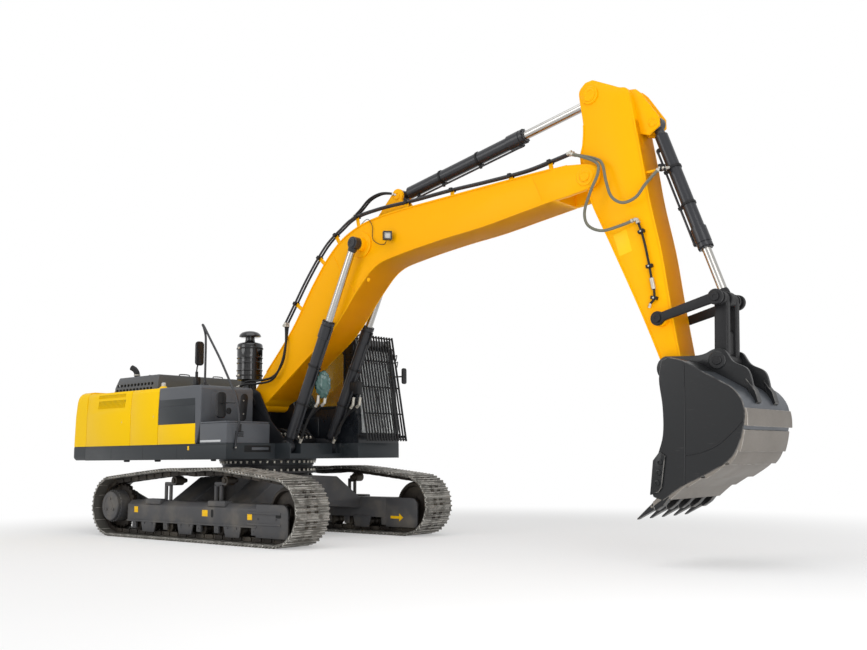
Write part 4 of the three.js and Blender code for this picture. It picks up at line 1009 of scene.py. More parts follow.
def carrier_stand(piece, x, lift, settings):
    """An upright slotted plate that carries a top roller, with a step beside its foot."""
    z = 2 * TUMBLER_Z + lift - settings.grouser - settings.plate - settings.chain - 0.074
    foot = BEAM_TOP - 0.02
    plate = x - 0.17
    out = (BEAM_OUT + 0.1, BEAM_OUT + 0.135)
    for side in (-1, 1):
        leg = sorted((plate + side * 0.085, plate + side * 0.035))
        piece.add(soft_block(*leg, *out, foot - 0.04, z - 0.03, 0.006), "running_gear")
    for low in (z - 0.08, foot - 0.03):
        piece.add(soft_block(plate - 0.085, plate + 0.085, *out, low, low + 0.055, 0.008), "running_gear")
    arm = soft_block(plate - 0.06, x + 0.04, out[1] - 0.01, CHAIN_Y - 0.1, z - 0.06, z - 0.02, 0.008)
    piece.add(arm, "running_gear")
    profile = [
        (0, -0.12), (0.035, -0.12), (0.04, -0.1), (0.07, -0.095), (0.07, 0.05), (0.05, 0.06), (0.03, 0.13),
        (0, 0.13)
    ]
    piece.add(spun(profile, (x, CHAIN_Y, z), (0, 1, 0), 32), "chain_steel")
    step = plate + (0.1 if x > 0 else -0.24)
    piece.add(soft_block(step - 0.2, step + 0.2, BEAM_OUT - 0.005, BEAM_OUT + 0.13, BEAM_TOP - 0.05,
                         BEAM_TOP + 0.03, 0.014), "running_gear")


def track_beam(piece, settings):
    """The box beam between sprocket and idler with its rollers, guards and marks."""
    section = [
        (BEAM_IN, BEAM_BOTTOM), (BEAM_IN, BEAM_TOP), (BEAM_OUT + 0.07, BEAM_TOP), (BEAM_OUT, BEAM_TOP - 0.07),
        (BEAM_OUT, BEAM_BOTTOM)
    ]
    piece.add(soften(poly(section, "X", BEAM_REAR, BEAM_FRONT), 0.012), "running_gear")
    lip = 0.012
    piece.add(soft_block(BEAM_REAR, BEAM_FRONT, BEAM_OUT - lip, BEAM_OUT + 0.05, BEAM_BOTTOM - lip,
                         BEAM_BOTTOM + lip, 0.004), "running_gear")
    clear = settings.grouser + settings.plate + settings.chain + settings.roller
    first = WHEEL_RADIUS + 0.245 - TUMBLER_X
    last = TUMBLER_X - WHEEL_RADIUS - 0.214
    for i in range(8):
        x = first + (last - first) * i / 7
        piece.add(roller(x, clear, settings.roller, 0.15), "chain_steel")
        for y0, y1 in ((CHAIN_Y - 0.185, CHAIN_Y - 0.145), (CHAIN_Y + 0.135, CHAIN_Y + 0.17)):
            piece.add(soft_block(x - 0.05, x + 0.05, y0, y1, clear - 0.045, BEAM_BOTTOM + 0.01, 0.008),
                      "running_gear")
            piece.add(bolt((x, y0, clear + 0.01), (0, -1, 0), 0.011, 0.008), "running_gear")
    for x in (-1.04, -0.1, 1.0):
        plate = [
            (x - 0.2, BEAM_BOTTOM + 0.02), (x - 0.15, 0.1), (x + 0.15, 0.1), (x + 0.2, BEAM_BOTTOM + 0.02)
        ]
        for y in (CHAIN_Y - 0.19, CHAIN_Y + 0.165):
            piece.add(soften(poly(plate, "Y", y, y + 0.022), 0.005), "running_gear")
        for dx in (-0.1, 0.1):
            piece.add(bolt((x + dx, CHAIN_Y - 0.19, BEAM_BOTTOM - 0.03), (0, -1, 0), 0.013, 0.01),
                      "running_gear")
    for x, wide, z in ((-1.38, 0.05, 0.43), (0.37, 0.065, 0.42), (1.38, 0.05, 0.4)):
        piece.add(soft_block(x - wide, x + wide, BEAM_OUT - 0.003, BEAM_OUT, z - 0.045, z + 0.045, 0.001),
                  "mark_yellow")
    # A flat dark patch on the beam's face paints the shade inside a round hole.
    hole = link_line((0.54, 0.39), (0.54, 0.45), 0.028)
    piece.add(poly(hole, "Y", BEAM_OUT - 0.002, BEAM_OUT), "window_rubber")
    mount = [
        (-TUMBLER_X, TUMBLER_Z - 0.23), (BEAM_REAR + 0.02, BEAM_BOTTOM + 0.04), (BEAM_REAR + 0.02, BEAM_TOP),
        (-TUMBLER_X, TUMBLER_Z + 0.23)
    ]
    piece.add(soften(poly(mount, "Y", BEAM_IN - 0.01, BEAM_IN + 0.03), 0.006), "running_gear")
    piece.add(spun([(0, 0), (0.22, 0), (0.23, 0.01), (0.23, 0.08), (0.22, 0.09), (0, 0.09)],
                   (-TUMBLER_X, BEAM_IN - 0.06, TUMBLER_Z), (0, 1, 0), 48), "running_gear")


class BuildRunningGear(bpy.types.Operator):
    """Builds the track beams, their rollers and guards, the sprockets and the idlers"""

    bl_idname = "excavator.running_gear"
    bl_label = "Running gear"

    def execute(self, context):
        settings = context.scene.excavator_track
        makers = (
            ("track_beam", "track_frame", lambda piece: track_beam(piece, settings)),
            ("yoke_guard", None, yoke_guard), ("drive", "drive_sprocket", sprocket_and_drive),
            ("idler_wheel", "idler", idler_wheel)
        )
        for side in ("right", "left"):
            for name, node, make in makers:
                piece = Piece(f"{name}_{side}")
                make(piece)
                if name == "track_beam":
                    for x, lift in CARRIERS:
                        carrier_stand(piece, x, lift, settings)
                if name == "yoke_guard" and side == "left":
                    arrow = [
                        (1.62, 0.3), (1.8, 0.3), (1.8, 0.26), (1.88, 0.32), (1.8, 0.38), (1.8, 0.34),
                        (1.62, 0.34)
                    ]
                    inner = [(x, z - 0.05) for x, z in arrow]
                    piece.add(poly(inner, "Y", BEAM_IN, BEAM_IN + 0.003), "mark_yellow")
                if side == "left":
                    piece.mirror()
                piece.ride("undercarriage", "frame_black", *([f"{node}_{side}"] if node else []))
        return {"FINISHED"}


class BuildCarBody(bpy.types.Operator):
    """Finishes the car body and the swing bearing with its rings of bolts"""

    bl_idname = "excavator.car_body"
    bl_label = "Car body and swing bearing"

    def execute(self, context):
        low, high = span("swing_bearing")
        body = Piece("car_body_shell")
        body.add(soften(copy_of("car_body"), 0.01), "running_gear")
        flange = [(0.6, -0.03), (0.76, -0.03), (0.765, -0.025), (0.765, -0.005), (0.76, 0), (0.6, 0)]
        body.add(spun(flange, (0, 0, low.z), (0, 0, 1), 72, ring=True), "running_gear")
        count = 44
        turns = [Matrix.Rotation(math.tau * i / count, 4, "Z") for i in range(count)]
        body.add(bolt((0.738, 0, low.z), (0, 0, 1), 0.017, 0.034), "bright_zinc", turns)
        body.ride("undercarriage", "frame_black", "car_body")
        race = [
            (0.56, 0), (0.706, 0), (0.71, 0.004), (0.71, 0.04), (0.7, 0.043), (0.7, 0.05), (0.71, 0.053),
            (0.71, 0.09), (0.706, high.z - low.z), (0.56, high.z - low.z)
        ]
        ring = Piece("bearing_race")
        ring.add(spun(race, (0, 0, low.z), (0, 0, 1), 96, ring=True), "cast_black")
        ring.ride("undercarriage", "frame_black", "swing_bearing")
        upper = Piece("bearing_upper_flange")
        top = SKIRT_BOTTOM - 0.001
        collar = [(0.6, -0.03), (0.76, -0.03), (0.765, -0.025), (0.765, 0), (0.6, 0)]
        upper.add(spun(collar, (0, 0, top), (0, 0, 1), 72, ring=True), "frame_paint")
        upper.add(bolt((0.738, 0, top - 0.03), (0, 0, -1), 0.017, 0.034), "bright_zinc", turns)
        upper.ride("upper", "frame_black")
        return {"FINISHED"}


# ---------------------------------------------------------------- upper works
class UpperSettings(bpy.types.PropertyGroup):
    """Sizes of the upper works."""

    corner: length_value("Tail corner", "Radius of the counterweight's upright corners", 0.09)
    fold: length_value("Door fold", "Height of the sloping edge along the top of the doors", 0.06)
    slots: bpy.props.IntProperty(name="Slots", description="Vent slots in a row", default=22, min=1)
    holes: bpy.props.IntProperty(
        name="Holes", description="Vent holes in a row on the hood", default=11, min=1
    )
    rail: length_value("Rail", "Radius of the handrail", 0.017)


def by_side(skirt, rest):
    """Picks the skirt's finish for faces on the outside of the band, and another for the rest."""
    def pick(face):
        middle = face.calc_center_median()
        outside = abs(middle.y) > SIDE - 0.02 or middle.x > 0.7 or middle.x < -2.95
        return skirt if outside and middle.z < DECK + 0.002 else rest
    return pick


class BuildRevolvingFrame(bpy.types.Operator):
    """Finishes the deck, its skirt, the boom's cheeks and the step beside the toolbox"""

    bl_idname = "excavator.revolving_frame"
    bl_label = "Revolving frame"

    def execute(self, context):
        piece = Piece("deck_and_skirt")
        body = soften(copy_of("revolving_frame"), 0.008)
        piece.add(body, by_side("skirt_grey", "frame_paint"))
        side = -SIDE
        for x in (-2.2, -1.3, -0.4):
            piece.add(
                soft_block(x - 0.0025, x + 0.0025, side - 0.001, side + 0.01, SKIRT_BOTTOM + 0.02,
                    DECK - 0.02, 0.001), "window_rubber"
            )
        lip = DECK - 0.012
        for y in (side, SIDE - 0.008):
            piece.add(
                soft_block(-2.97, 0.78, y - 0.004, y + 0.012, lip - 0.01, lip + 0.01, 0.004), "skirt_grey"
            )
        nose = 0.79
        # A dark patch on the nose paints the shade of the recess behind the grey bar.
        piece.add(soft_block(nose - 0.01, nose + 0.001, -1.12, -0.62, SKIRT_BOTTOM + 0.1, DECK - 0.03, 0.004),
                  "window_rubber")
        piece.add(
            soft_block(nose - 0.004, nose + 0.004, -0.98, -0.66, DECK - 0.1, DECK - 0.06, 0.003), "tank_grey"
        )
        piece.add(soft_block(-0.13, -0.09, side - 0.003, side, 1.33, 1.39, 0.001), "mark_yellow")
        face = BOOM_CYLINDER_FOOT
        for y in (-CYLINDER_Y, CYLINDER_Y):
            for out in (-0.096, 0.096):
                direction = math.copysign(1, out)
                boss = [(0, 0), (0.078, 0), (0.082, 0.004), (0.082, 0.016), (0.074, 0.02), (0, 0.02)]
                piece.add(spun(boss, (face[0], y + out, face[1]), (0, direction, 0), 32), "cast_black")
        for y in (-0.375, 0.375):
            direction = math.copysign(1, y)
            keeper = disc(0.085, -0.02, 0.016, 0.007, 0.004)
            piece.add(spun(keeper, (BOOM_FOOT[0], y, BOOM_FOOT[1]), (0, direction, 0), 36), "cast_black")
            for turn in (30, 150, 270):
                x, z = 0.05 * math.cos(math.radians(turn)), 0.05 * math.sin(math.radians(turn))
                place = (BOOM_FOOT[0] + x, y + direction * 0.014, BOOM_FOOT[1] + z)
                piece.add(bolt(place, (0, direction, 0), 0.012, 0.01), "bright_zinc")
        for y in (-0.9, 0.9):
            for x in (-2.6, -1.7):
                boss = disc(0.05, 0, 0.03, 0.01)
                piece.add(spun(boss, (x, y, SKIRT_BOTTOM), (0, 0, -1), 24), "frame_paint")
        piece.ride("upper", "frame_black", "revolving_frame")
        return {"FINISHED"}


def stacked(outline, fixed_x, levels):
    """An upright form: at each level its plan is drawn in towards a fixed X and the middle."""
    part = bmesh.new()
    height, share_x, share_y = levels[0]
    ring = [part.verts.new((fixed_x + (x - fixed_x) * share_x, y * share_y, height)) for x, y in outline]
    top = part.faces.new(ring)
    last_x, last_y = share_x, share_y
    for height, share_x, share_y in levels[1:]:
        grown = bmesh.ops.extrude_face_region(part, geom=[top])["geom"]
        verts = [g for g in grown if isinstance(g, bmesh.types.BMVert)]
        top = next(g for g in grown if isinstance(g, bmesh.types.BMFace))
        for vert in verts:
            vert.co.x = fixed_x + (vert.co.x - fixed_x) * share_x / last_x
            vert.co.y *= share_y / last_y
            vert.co.z = height
        last_x, last_y = share_x, share_y
    bmesh.ops.recalc_face_normals(part, faces=part.faces)
    return part


class BuildCounterweight(bpy.types.Operator):
    """Casts the counterweight with its round corners, crown and lifting eyes"""

    bl_idname = "excavator.counterweight"
    bl_label = "Counterweight"

    def execute(self, context):
        radius = context.scene.excavator_upper.corner
        low, high = span("counterweight")
        front = high.x
        corner = (low.x + 0.035 + radius, radius - SIDE)
        half = [(front, -SIDE), *reversed(arc(corner, radius, 180, 270, 14))]
        rear = smooth_line([half[-1], (low.x + 0.012, -0.6), (low.x, 0)], 12)[1:]
        half += rear
        outline = half + [(x, -y) for x, y in reversed(half[:-1])]
        levels = [
            (low.z, 0.9, 0.98), (low.z + 0.02, 0.96, 0.992), (low.z + 0.05, 0.995, 1), (DECK - 0.012, 1, 1),
            (DECK - 0.008, 0.99, 0.997), (DECK + 0.002, 0.99, 0.997), (DECK + 0.006, 0.998, 1),
            (1.93, 0.94, 1), (2.17, 0.86, 0.996), (BODY_TOP - 0.06, 0.81, 0.99),
            (BODY_TOP - 0.02, 0.77, 0.98), (BODY_TOP + 0.01, 0.71, 0.965), (high.z - 0.006, 0.62, 0.94),
            (high.z, 0.5, 0.9)
        ]
        casting = stacked(outline, front, levels)
        yellow, grey = "body_paint", "skirt_grey"
        piece = Piece("tail_weight")
        piece.add(casting, lambda face: grey if face.calc_center_median().z < DECK - 0.001 else yellow)
        for y in (-0.75, 0.75):
            eye = [(front - 0.34, high.z - 0.01), *arc((front - 0.25, high.z + 0.02), 0.05, 180, 0, 10),
                   (front - 0.16, high.z - 0.01)]
            hole = across((front - 0.25, high.z + 0.025), y - 0.03, y + 0.03, 0.024, 20)
            piece.add(carve(soften(poly(eye, "Y", y - 0.018, y + 0.018), 0.005), hole), yellow)
        for y in (-1.05, 1.05):
            lamp = soft_block(low.x + 0.015, low.x + 0.06, y - 0.09, y + 0.09, 1.5, 1.58, 0.012, 3)
            piece.add(lamp, "red_cap")
        for y in (-0.45, 0.45):
            x = low.x + 0.01
            piece.add(spun(disc(0.055, 0, 0.016, 0.025, 0.004), (x + 0.012, y, 1.75),
                           (-1, 0, 0), 32), "window_rubber")
        piece.ride("upper", "body_yellow", "counterweight")
        return {"FINISHED"}


def door_skin(x0, x1, fold):
    """A stretch of door on the right: its upper half leans in a little and its top edge slopes."""
    y, t = -SIDE, 0.04
    section = [
        (y, DECK + 0.001), (y, 1.93), (y + 0.016, BODY_TOP - fold), (y + 0.042, BODY_TOP),
        (y + 0.035 + t, BODY_TOP), (y + t, BODY_TOP - fold - 0.01), (y + t, DECK + 0.001)
    ]
    return soften(poly(section, "X", x0, x1), 0.005, above=12)


def slots(x0, x1, z0, z1, count):
    """Slanting cutters for a row of vent slots through the door's skin."""
    pitch = (x1 - x0) / count
    lean = (z1 - z0) * 0.18
    cutters = []
    for i in range(count):
        x = x0 + pitch * i
        outline = [(x, z0), (x + pitch * 0.55, z0), (x + pitch * 0.55 + lean, z1), (x + lean, z1)]
        cutters.append(poly(outline, "Y", -SIDE - 0.05, -SIDE + 0.055))
    return cutters


class BuildDoors(bpy.types.Operator):
    """Hangs the four side doors with their seams, latches and vent slots"""

    bl_idname = "excavator.doors"
    bl_label = "Side doors"

    def execute(self, context):
        settings = context.scene.excavator_upper
        yellow = "body_paint"
        for side in ("right", "left"):
            for end in ("rear", "front"):
                low, high = span(f"{side}_{end}_door")
                piece = Piece(f"{side}_{end}_skin")
                skin = door_skin(low.x, high.x, settings.fold)
                if end == "rear":
                    slots_from, slots_to = low.x + 0.33, high.x - 0.17
                    cutters = []
                    for z0, z1, inside, bottom, top in ((2.035, 2.165, 0.019, 2.025, 2.172),
                                                        (2.205, 2.262, 0.031, 2.2, 2.266)):
                        cutters += slots(slots_from, slots_to, z0, z1, settings.slots)
                        # A dark sheet just behind each row of slots paints the shade inside them.
                        backing = (inside - SIDE, inside + 0.005 - SIDE)
                        sheet = block(slots_from - 0.02, slots_to + 0.04, *backing, bottom, top)
                        piece.add(sheet, "window_rubber")
                    skin = carve(skin, *cutters)
                piece.add(skin, yellow)
                latch = (high.x - 0.25, 1.8) if end == "rear" else (high.x - 0.12, 1.86)
                ring = [
                    (0, 0.002), (0.03, 0.002), (0.036, 0.004), (0.044, 0.004), (0.048, 0), (0.048, -0.01),
                    (0, -0.01)
                ]
                piece.add(spun(ring, (latch[0], -SIDE, latch[1]), (0, -1, 0), 36), yellow)
                piece.add(
                    spun([(0, 0.003), (0.008, 0.003), (0.008, -0.01), (0, -0.01)],
                        (latch[0], -SIDE, latch[1]), (0, -1, 0), 16), "bright_zinc"
                )
                for z in (1.56, 2.1):
                    piece.add(
                        soft_block(low.x + 0.002, low.x + 0.05, 0.036 - SIDE, 0.04 - SIDE, z, z + 0.08,
                            0.001), "frame_paint"
                    )
                if side == "left":
                    piece.mirror()
                piece.ride(f"{side}_{end}_panel", "body_yellow", f"{side}_{end}_door")
        return {"FINISHED"}


class BuildHood(bpy.types.Operator):
    """Finishes the engine hood with its vent holes, and bends the exhaust pipe"""

    bl_idname = "excavator.hood"
    bl_label = "Engine hood and exhaust"

    def execute(self, context):
        count = context.scene.excavator_upper.holes
        low, high = span("engine_hood")
        hood = soften(copy_of("engine_hood"), 0.014, 3)
        holes = []
        for row, start in ((low.z + 0.066, 0.07), (low.z + 0.147, 0.09)):
            for i in range(count):
                x = low.x + start + 0.1 * i
                line = link_line((x, row), (x + 0.02, row), 0.025, steps=7)
                holes.append(poly(line, "Y", -1.05, 1.05))
        piece = Piece("hood_shell")
        piece.add(carve(hood, *holes), "tank_grey")
        for side in (-1, 1):
            # A dark sheet inside each side of the hood paints the shade behind the vent holes.
            inner = sorted((side * 0.935, side * 0.93))
            piece.add(block(low.x + 0.1, low.x + 1.2, *inner, low.z + 0.02, low.z + 0.22), "window_rubber")
            y = sorted((side * 0.985, side * 0.4))
            piece.add(soft_block(-1.9, -1.885, *y, high.z - 0.002, high.z + 0.004, 0.002), "tank_grey")
        for y in (-0.35, 0.35):
            grip = [
                (-1.8, y - 0.09, high.z), (-1.8, y - 0.09, high.z + 0.035), (-1.8, y + 0.09, high.z + 0.035),
                (-1.8, y + 0.09, high.z)
            ]
            piece.add(tube(grip, 0.009, 8, 18), "black_plastic")
        for y0 in (-0.7, 0.1):
            panel = soft_block(-2.55, -1.98, y0, y0 + 0.6, high.z - 0.002, high.z + 0.006, 0.004)
            piece.add(panel, "tank_grey")
        piece.ride("hood", "body_grey", "engine_hood")

        x, y = -2.62, -0.74
        base = span("exhaust_pipe")[0].z
        top = span("exhaust_pipe")[1].z
        height = top - base
        route = [(x, y, base), (x, y, base + 0.2 * height), (x - 0.012, y - 0.006, base + 0.4 * height),
                 (x - 0.045, y - 0.025, base + 0.58 * height), (x - 0.095, y - 0.05, base + 0.7 * height)]
        pipe = Piece("exhaust_stack")
        pipe.add(tube(route, 0.048, 24, 24), "cast_black")
        way = Vector(route[-1]) - Vector(route[-2])
        pipe.add(
            spun([(0, -0.03), (0.04, -0.03), (0.04, 0.001), (0, 0.001)], route[-1], way, 24), "window_rubber"
        )
        pipe.add(spun(disc(0.075, 0, 0.02, 0.015, 0.008), (x, y, base), (0, 0, 1), 32), "tank_grey")
        pipe.add(
            spun([(0.046, 0), (0.055, 0), (0.055, 0.016), (0.046, 0.016)], (x, y, base + 0.05), (0, 0, 1), 28,
                ring=True), "bright_zinc"
        )
        pipe.ride("hood", "frame_black", "exhaust_pipe")
        return {"FINISHED"}


class BuildTanks(bpy.types.Operator):
    """Builds the fuel tank with its side panels and fittings, and finishes the tanks beside it"""

    bl_idname = "excavator.tanks"
    bl_label = "Tanks"

    def execute(self, context):
        low, high = span("fuel_tank")
        grey = "tank_grey"
        piece = Piece("fuel_tank_body")
        front = high.x
        section = [
            (low.x, low.z), (front - 0.105, low.z), (front, low.z + 0.3), (front, high.z - 0.05),
            (front - 0.04, high.z), (low.x, high.z)
        ]
        piece.add(soften(poly(section, "Y", low.y + 0.004, high.y), 0.022, 4), grey)
        knee, top = 1.73, high.z - 0.05
        lean = 0.012
        upper = [(low.y - 0.002, 2.0), (low.y + lean, top), (low.y + 0.05, top), (low.y + 0.05, 2.0)]
        lower = [(low.y - 0.006, knee), (low.y - 0.002, 1.997), (low.y + 0.05, 1.997), (low.y + 0.05, knee)]
        panel_front = front - 0.13
        for shape in (upper, lower):
            piece.add(soften(poly(shape, "X", low.x + 0.004, panel_front), 0.004), "skirt_grey")
        cover = [
            (low.x + 0.002, low.z + 0.002), (front - 0.115, low.z + 0.002), (front - 0.115, knee - 0.005),
            (low.x + 0.002, knee - 0.005)
        ]
        piece.add(soften(poly(cover, "Y", low.y - 0.004, low.y + 0.03), 0.004), "body_paint")
        face = front
        well = (low.y + high.y) / 2
        piece.add(
            soft_block(face - 0.002, face + 0.004, well - 0.3, well + 0.33, low.z + 0.34, high.z - 0.1,
                0.003), grey
        )
        gauge = link_line((well + 0.29, low.z + 0.42), (well + 0.32, high.z - 0.17), 0.07)
        piece.add(soften(poly(gauge, "X", face, face + 0.012), 0.005, 3), "black_plastic")
        for z in (low.z + 0.46, high.z - 0.21):
            piece.add(bolt((face + 0.011, well + 0.3, z), (1, 0, 0), 0.012, 0.005), "bright_zinc")
        piece.add(spun([(0, 0), (0.045, 0), (0.05, 0.01), (0.05, 0.012), (0.04, 0.015), (0, 0.015)],
                       (face, well + 0.02, low.z + 0.5), (1, 0, 0), 32), "black_plastic")
        cap = [
            (0, 0), (0.09, 0), (0.09, 0.03), (0.075, 0.035), (0.075, 0.06), (0.068, 0.07), (0.02, 0.074),
            (0, 0.074)
        ]
        piece.add(spun(cap, (-0.55, -0.85, high.z), (0, 0, 1), 40), "black_plastic")
        for x in (-0.72, -0.3):
            piece.add(soft_block(x - 0.09, x + 0.09, -1.2, -1.02, high.z, high.z + 0.012, 0.004),
                      "black_plastic")
        for i in range(9):
            x = -0.78 + 0.085 * i
            piece.add(soft_block(x, x + 0.03, -0.98, -0.5, high.z, high.z + 0.006, 0.002), "window_rubber")
        piece.ride("upper", "body_grey", "fuel_tank")

        others = Piece("hydraulic_tank_body")
        others.add(soften(copy_of("hydraulic_tank"), 0.02, 3), "frame_paint")
        low, high = span("hydraulic_tank")
        others.add(spun(cap, (low.x + 0.2, 0.05, high.z), (0, 0, 1), 40), "black_plastic")
        others.ride("upper", "frame_black", "hydraulic_tank")

        panel = Piece("left_side_panel")
        low, high = span("left_body_panel")
        panel.add(soften(copy_of("left_body_panel"), 0.015, 3), "tank_grey")
        outline = rounded((low.x + 0.05, low.z + 0.06), (high.x - 0.05, high.z - 0.12), 0.03)
        cutters = [
            block(low.x + 0.1, high.x - 0.1, high.y - 0.02, high.y + 0.03, low.z + 0.3 + 0.045 * i,
                low.z + 0.322 + 0.045 * i) for i in range(7)
        ]
        cover = soften(poly(outline, "Y", high.y - 0.01, high.y + 0.006), 0.004)
        panel.add(carve(cover, *cutters), "tank_grey")
        # A dark sheet behind the louvres paints the shade inside them.
        panel.add(
            block(low.x + 0.08, high.x - 0.08, high.y - 0.005, high.y + 0.001, low.z + 0.28, low.z + 0.62),
            "window_rubber"
        )
        panel.ride("upper", "body_grey", "left_body_panel")
        return {"FINISHED"}


class BuildToolbox(bpy.types.Operator):
    """Finishes the toolbox and hangs its lid"""

    bl_idname = "excavator.toolbox"
    bl_label = "Toolbox"

    def execute(self, context):
        low, high = span("toolbox")
        box = Piece("toolbox_body")
        box.add(soften(copy_of("toolbox"), 0.012, 3), "tank_grey")
        step = high.x
        latch = low.y + 0.24
        box.add(
            soft_block(step + 0.01, step + 0.02, latch - 0.02, latch + 0.02, high.z - 0.14, high.z - 0.02,
                0.004), "black_plastic"
        )
        plate = soft_block(
            low.x + 0.02, low.x + 0.5, low.y - 0.003, low.y + 0.002, low.z + 0.02, low.z + 0.05, 0.001
        )
        box.add(plate, "pale_plate")
        for z in (high.z - 0.2, high.z - 0.17, high.z - 0.14):
            box.add(soft_block(step - 0.001, step + 0.008, latch - 0.08, latch + 0.07, z, z + 0.016, 0.003),
                    "black_plastic")
        box.ride("upper", "body_grey", "toolbox")
        low, high = span("toolbox_lid")
        lid = Piece("toolbox_cover_plate")
        lid.add(soften(copy_of("toolbox_lid"), 0.009, 3), "tank_grey")
        for i in range(12):
            for j in range(8):
                x = low.x + 0.07 + 0.042 * i + 0.02 * (j % 2)
                y = low.y + 0.12 + 0.075 * j
                stud = rod((x, y, high.z - 0.001), (x, y, high.z + 0.003), 0.009, 8, 0.006)
                lid.add(stud, "tank_grey")
        lid.ride("toolbox_cover", "body_grey", "toolbox_lid")
        return {"FINISHED"}


class BuildAirFilter(bpy.types.Operator):
    """Turns the round air cleaner with its bands, cap and elbow"""

    bl_idname = "excavator.air_filter"
    bl_label = "Air filter"

    def execute(self, context):
        low, high = span("air_filter")
        x, y = low.x + 0.21, (low.y + high.y) / 2
        base = BODY_TOP + 0.15
        gloss = "filter_gloss"
        r = 0.205
        profile = [(0, 0), (r - 0.02, 0), (r - 0.005, 0.008), (r - 0.005, 0.13)]
        for height in (0.14, 0.26, 0.34):
            profile += [(r - 0.005, height), (r + 0.005, height + 0.008), (r + 0.005, height + 0.022),
                        (r - 0.005, height + 0.03)]
        profile += [
            (r, 0.4), (r, 0.56), (r - 0.012, 0.585), (r - 0.04, 0.6), (0.09, 0.612), (0.085, 0.62),
            (0.075, 0.66)
        ]
        profile += [
            (0.075, 0.69), (0.15, 0.695), (0.175, 0.705), (0.178, 0.715), (0.165, 0.745), (0.13, 0.775),
            (0.07, 0.794), (0, 0.8)
        ]
        piece = Piece("air_cleaner")
        piece.add(spun(profile, (x, y, base), (0, 0, 1), 64), gloss)
        elbow = [
            (x + 0.1, y - 0.05, base + 0.5), (x + 0.2, y - 0.05, base + 0.52),
            (x + 0.29, y - 0.05, base + 0.47), (x + 0.32, y - 0.05, base + 0.35),
            (x + 0.32, y - 0.05, base + 0.1), (x + 0.3, y - 0.05, base - 0.2)
        ]
        elbow = [Vector((min(p[0], high.x - 0.056), p[1], p[2])) for p in elbow]
        post = soft_block(x - 0.13, x + 0.06, y - 0.07, y + 0.07, DECK, base + 0.01, 0.01)
        piece.add(post, "frame_paint")
        piece.add(tube(elbow, 0.052, 20, 30), "hose_rubber")
        for height in (0.06, 0.5):
            piece.add(spun([(r - 0.002, 0), (r + 0.008, 0), (r + 0.008, 0.02), (r - 0.002, 0.02)],
                           (x, y, base + height), (0, 0, 1), 56, ring=True), "cast_black")
            piece.add(soft_block(x - 0.02, x + 0.02, y - r - 0.03, y - r + 0.005, base + height - 0.006,
                                 base + height + 0.026, 0.004), "bright_zinc")
        piece.ride("upper", "cab_plastic", "air_filter")
        return {"FINISHED"}


RAIL_Y = -(SIDE - 0.15)


def mirror_head(piece, x, y, z, height, width, way):
    """A mirror with a round-cornered shell and a bright face, looking back along X."""
    outline = [(y + a * width, z + b * height) for a, b in [(-0.5, 0), (0.5, 0), (0.5, 1), (-0.5, 1)]]
    lower, upper = (outline[0][0], outline[0][1]), (outline[2][0], outline[2][1])
    shell = rounded(lower, upper, width * 0.36, 8)
    x0, x1 = sorted((x, x + way * 0.04))
    piece.add(soften(poly(shell, "X", x0, x1), 0.014, 3), "black_plastic")
    glass = rounded(
        (lower[0] + 0.012, lower[1] + 0.012), (upper[0] - 0.012, upper[1] - 0.012), width * 0.3, 8
    )
    g0, g1 = sorted((x - 0.002, x + 0.004))
    piece.add(poly(glass, "X", g0, g1), "mirror_face")


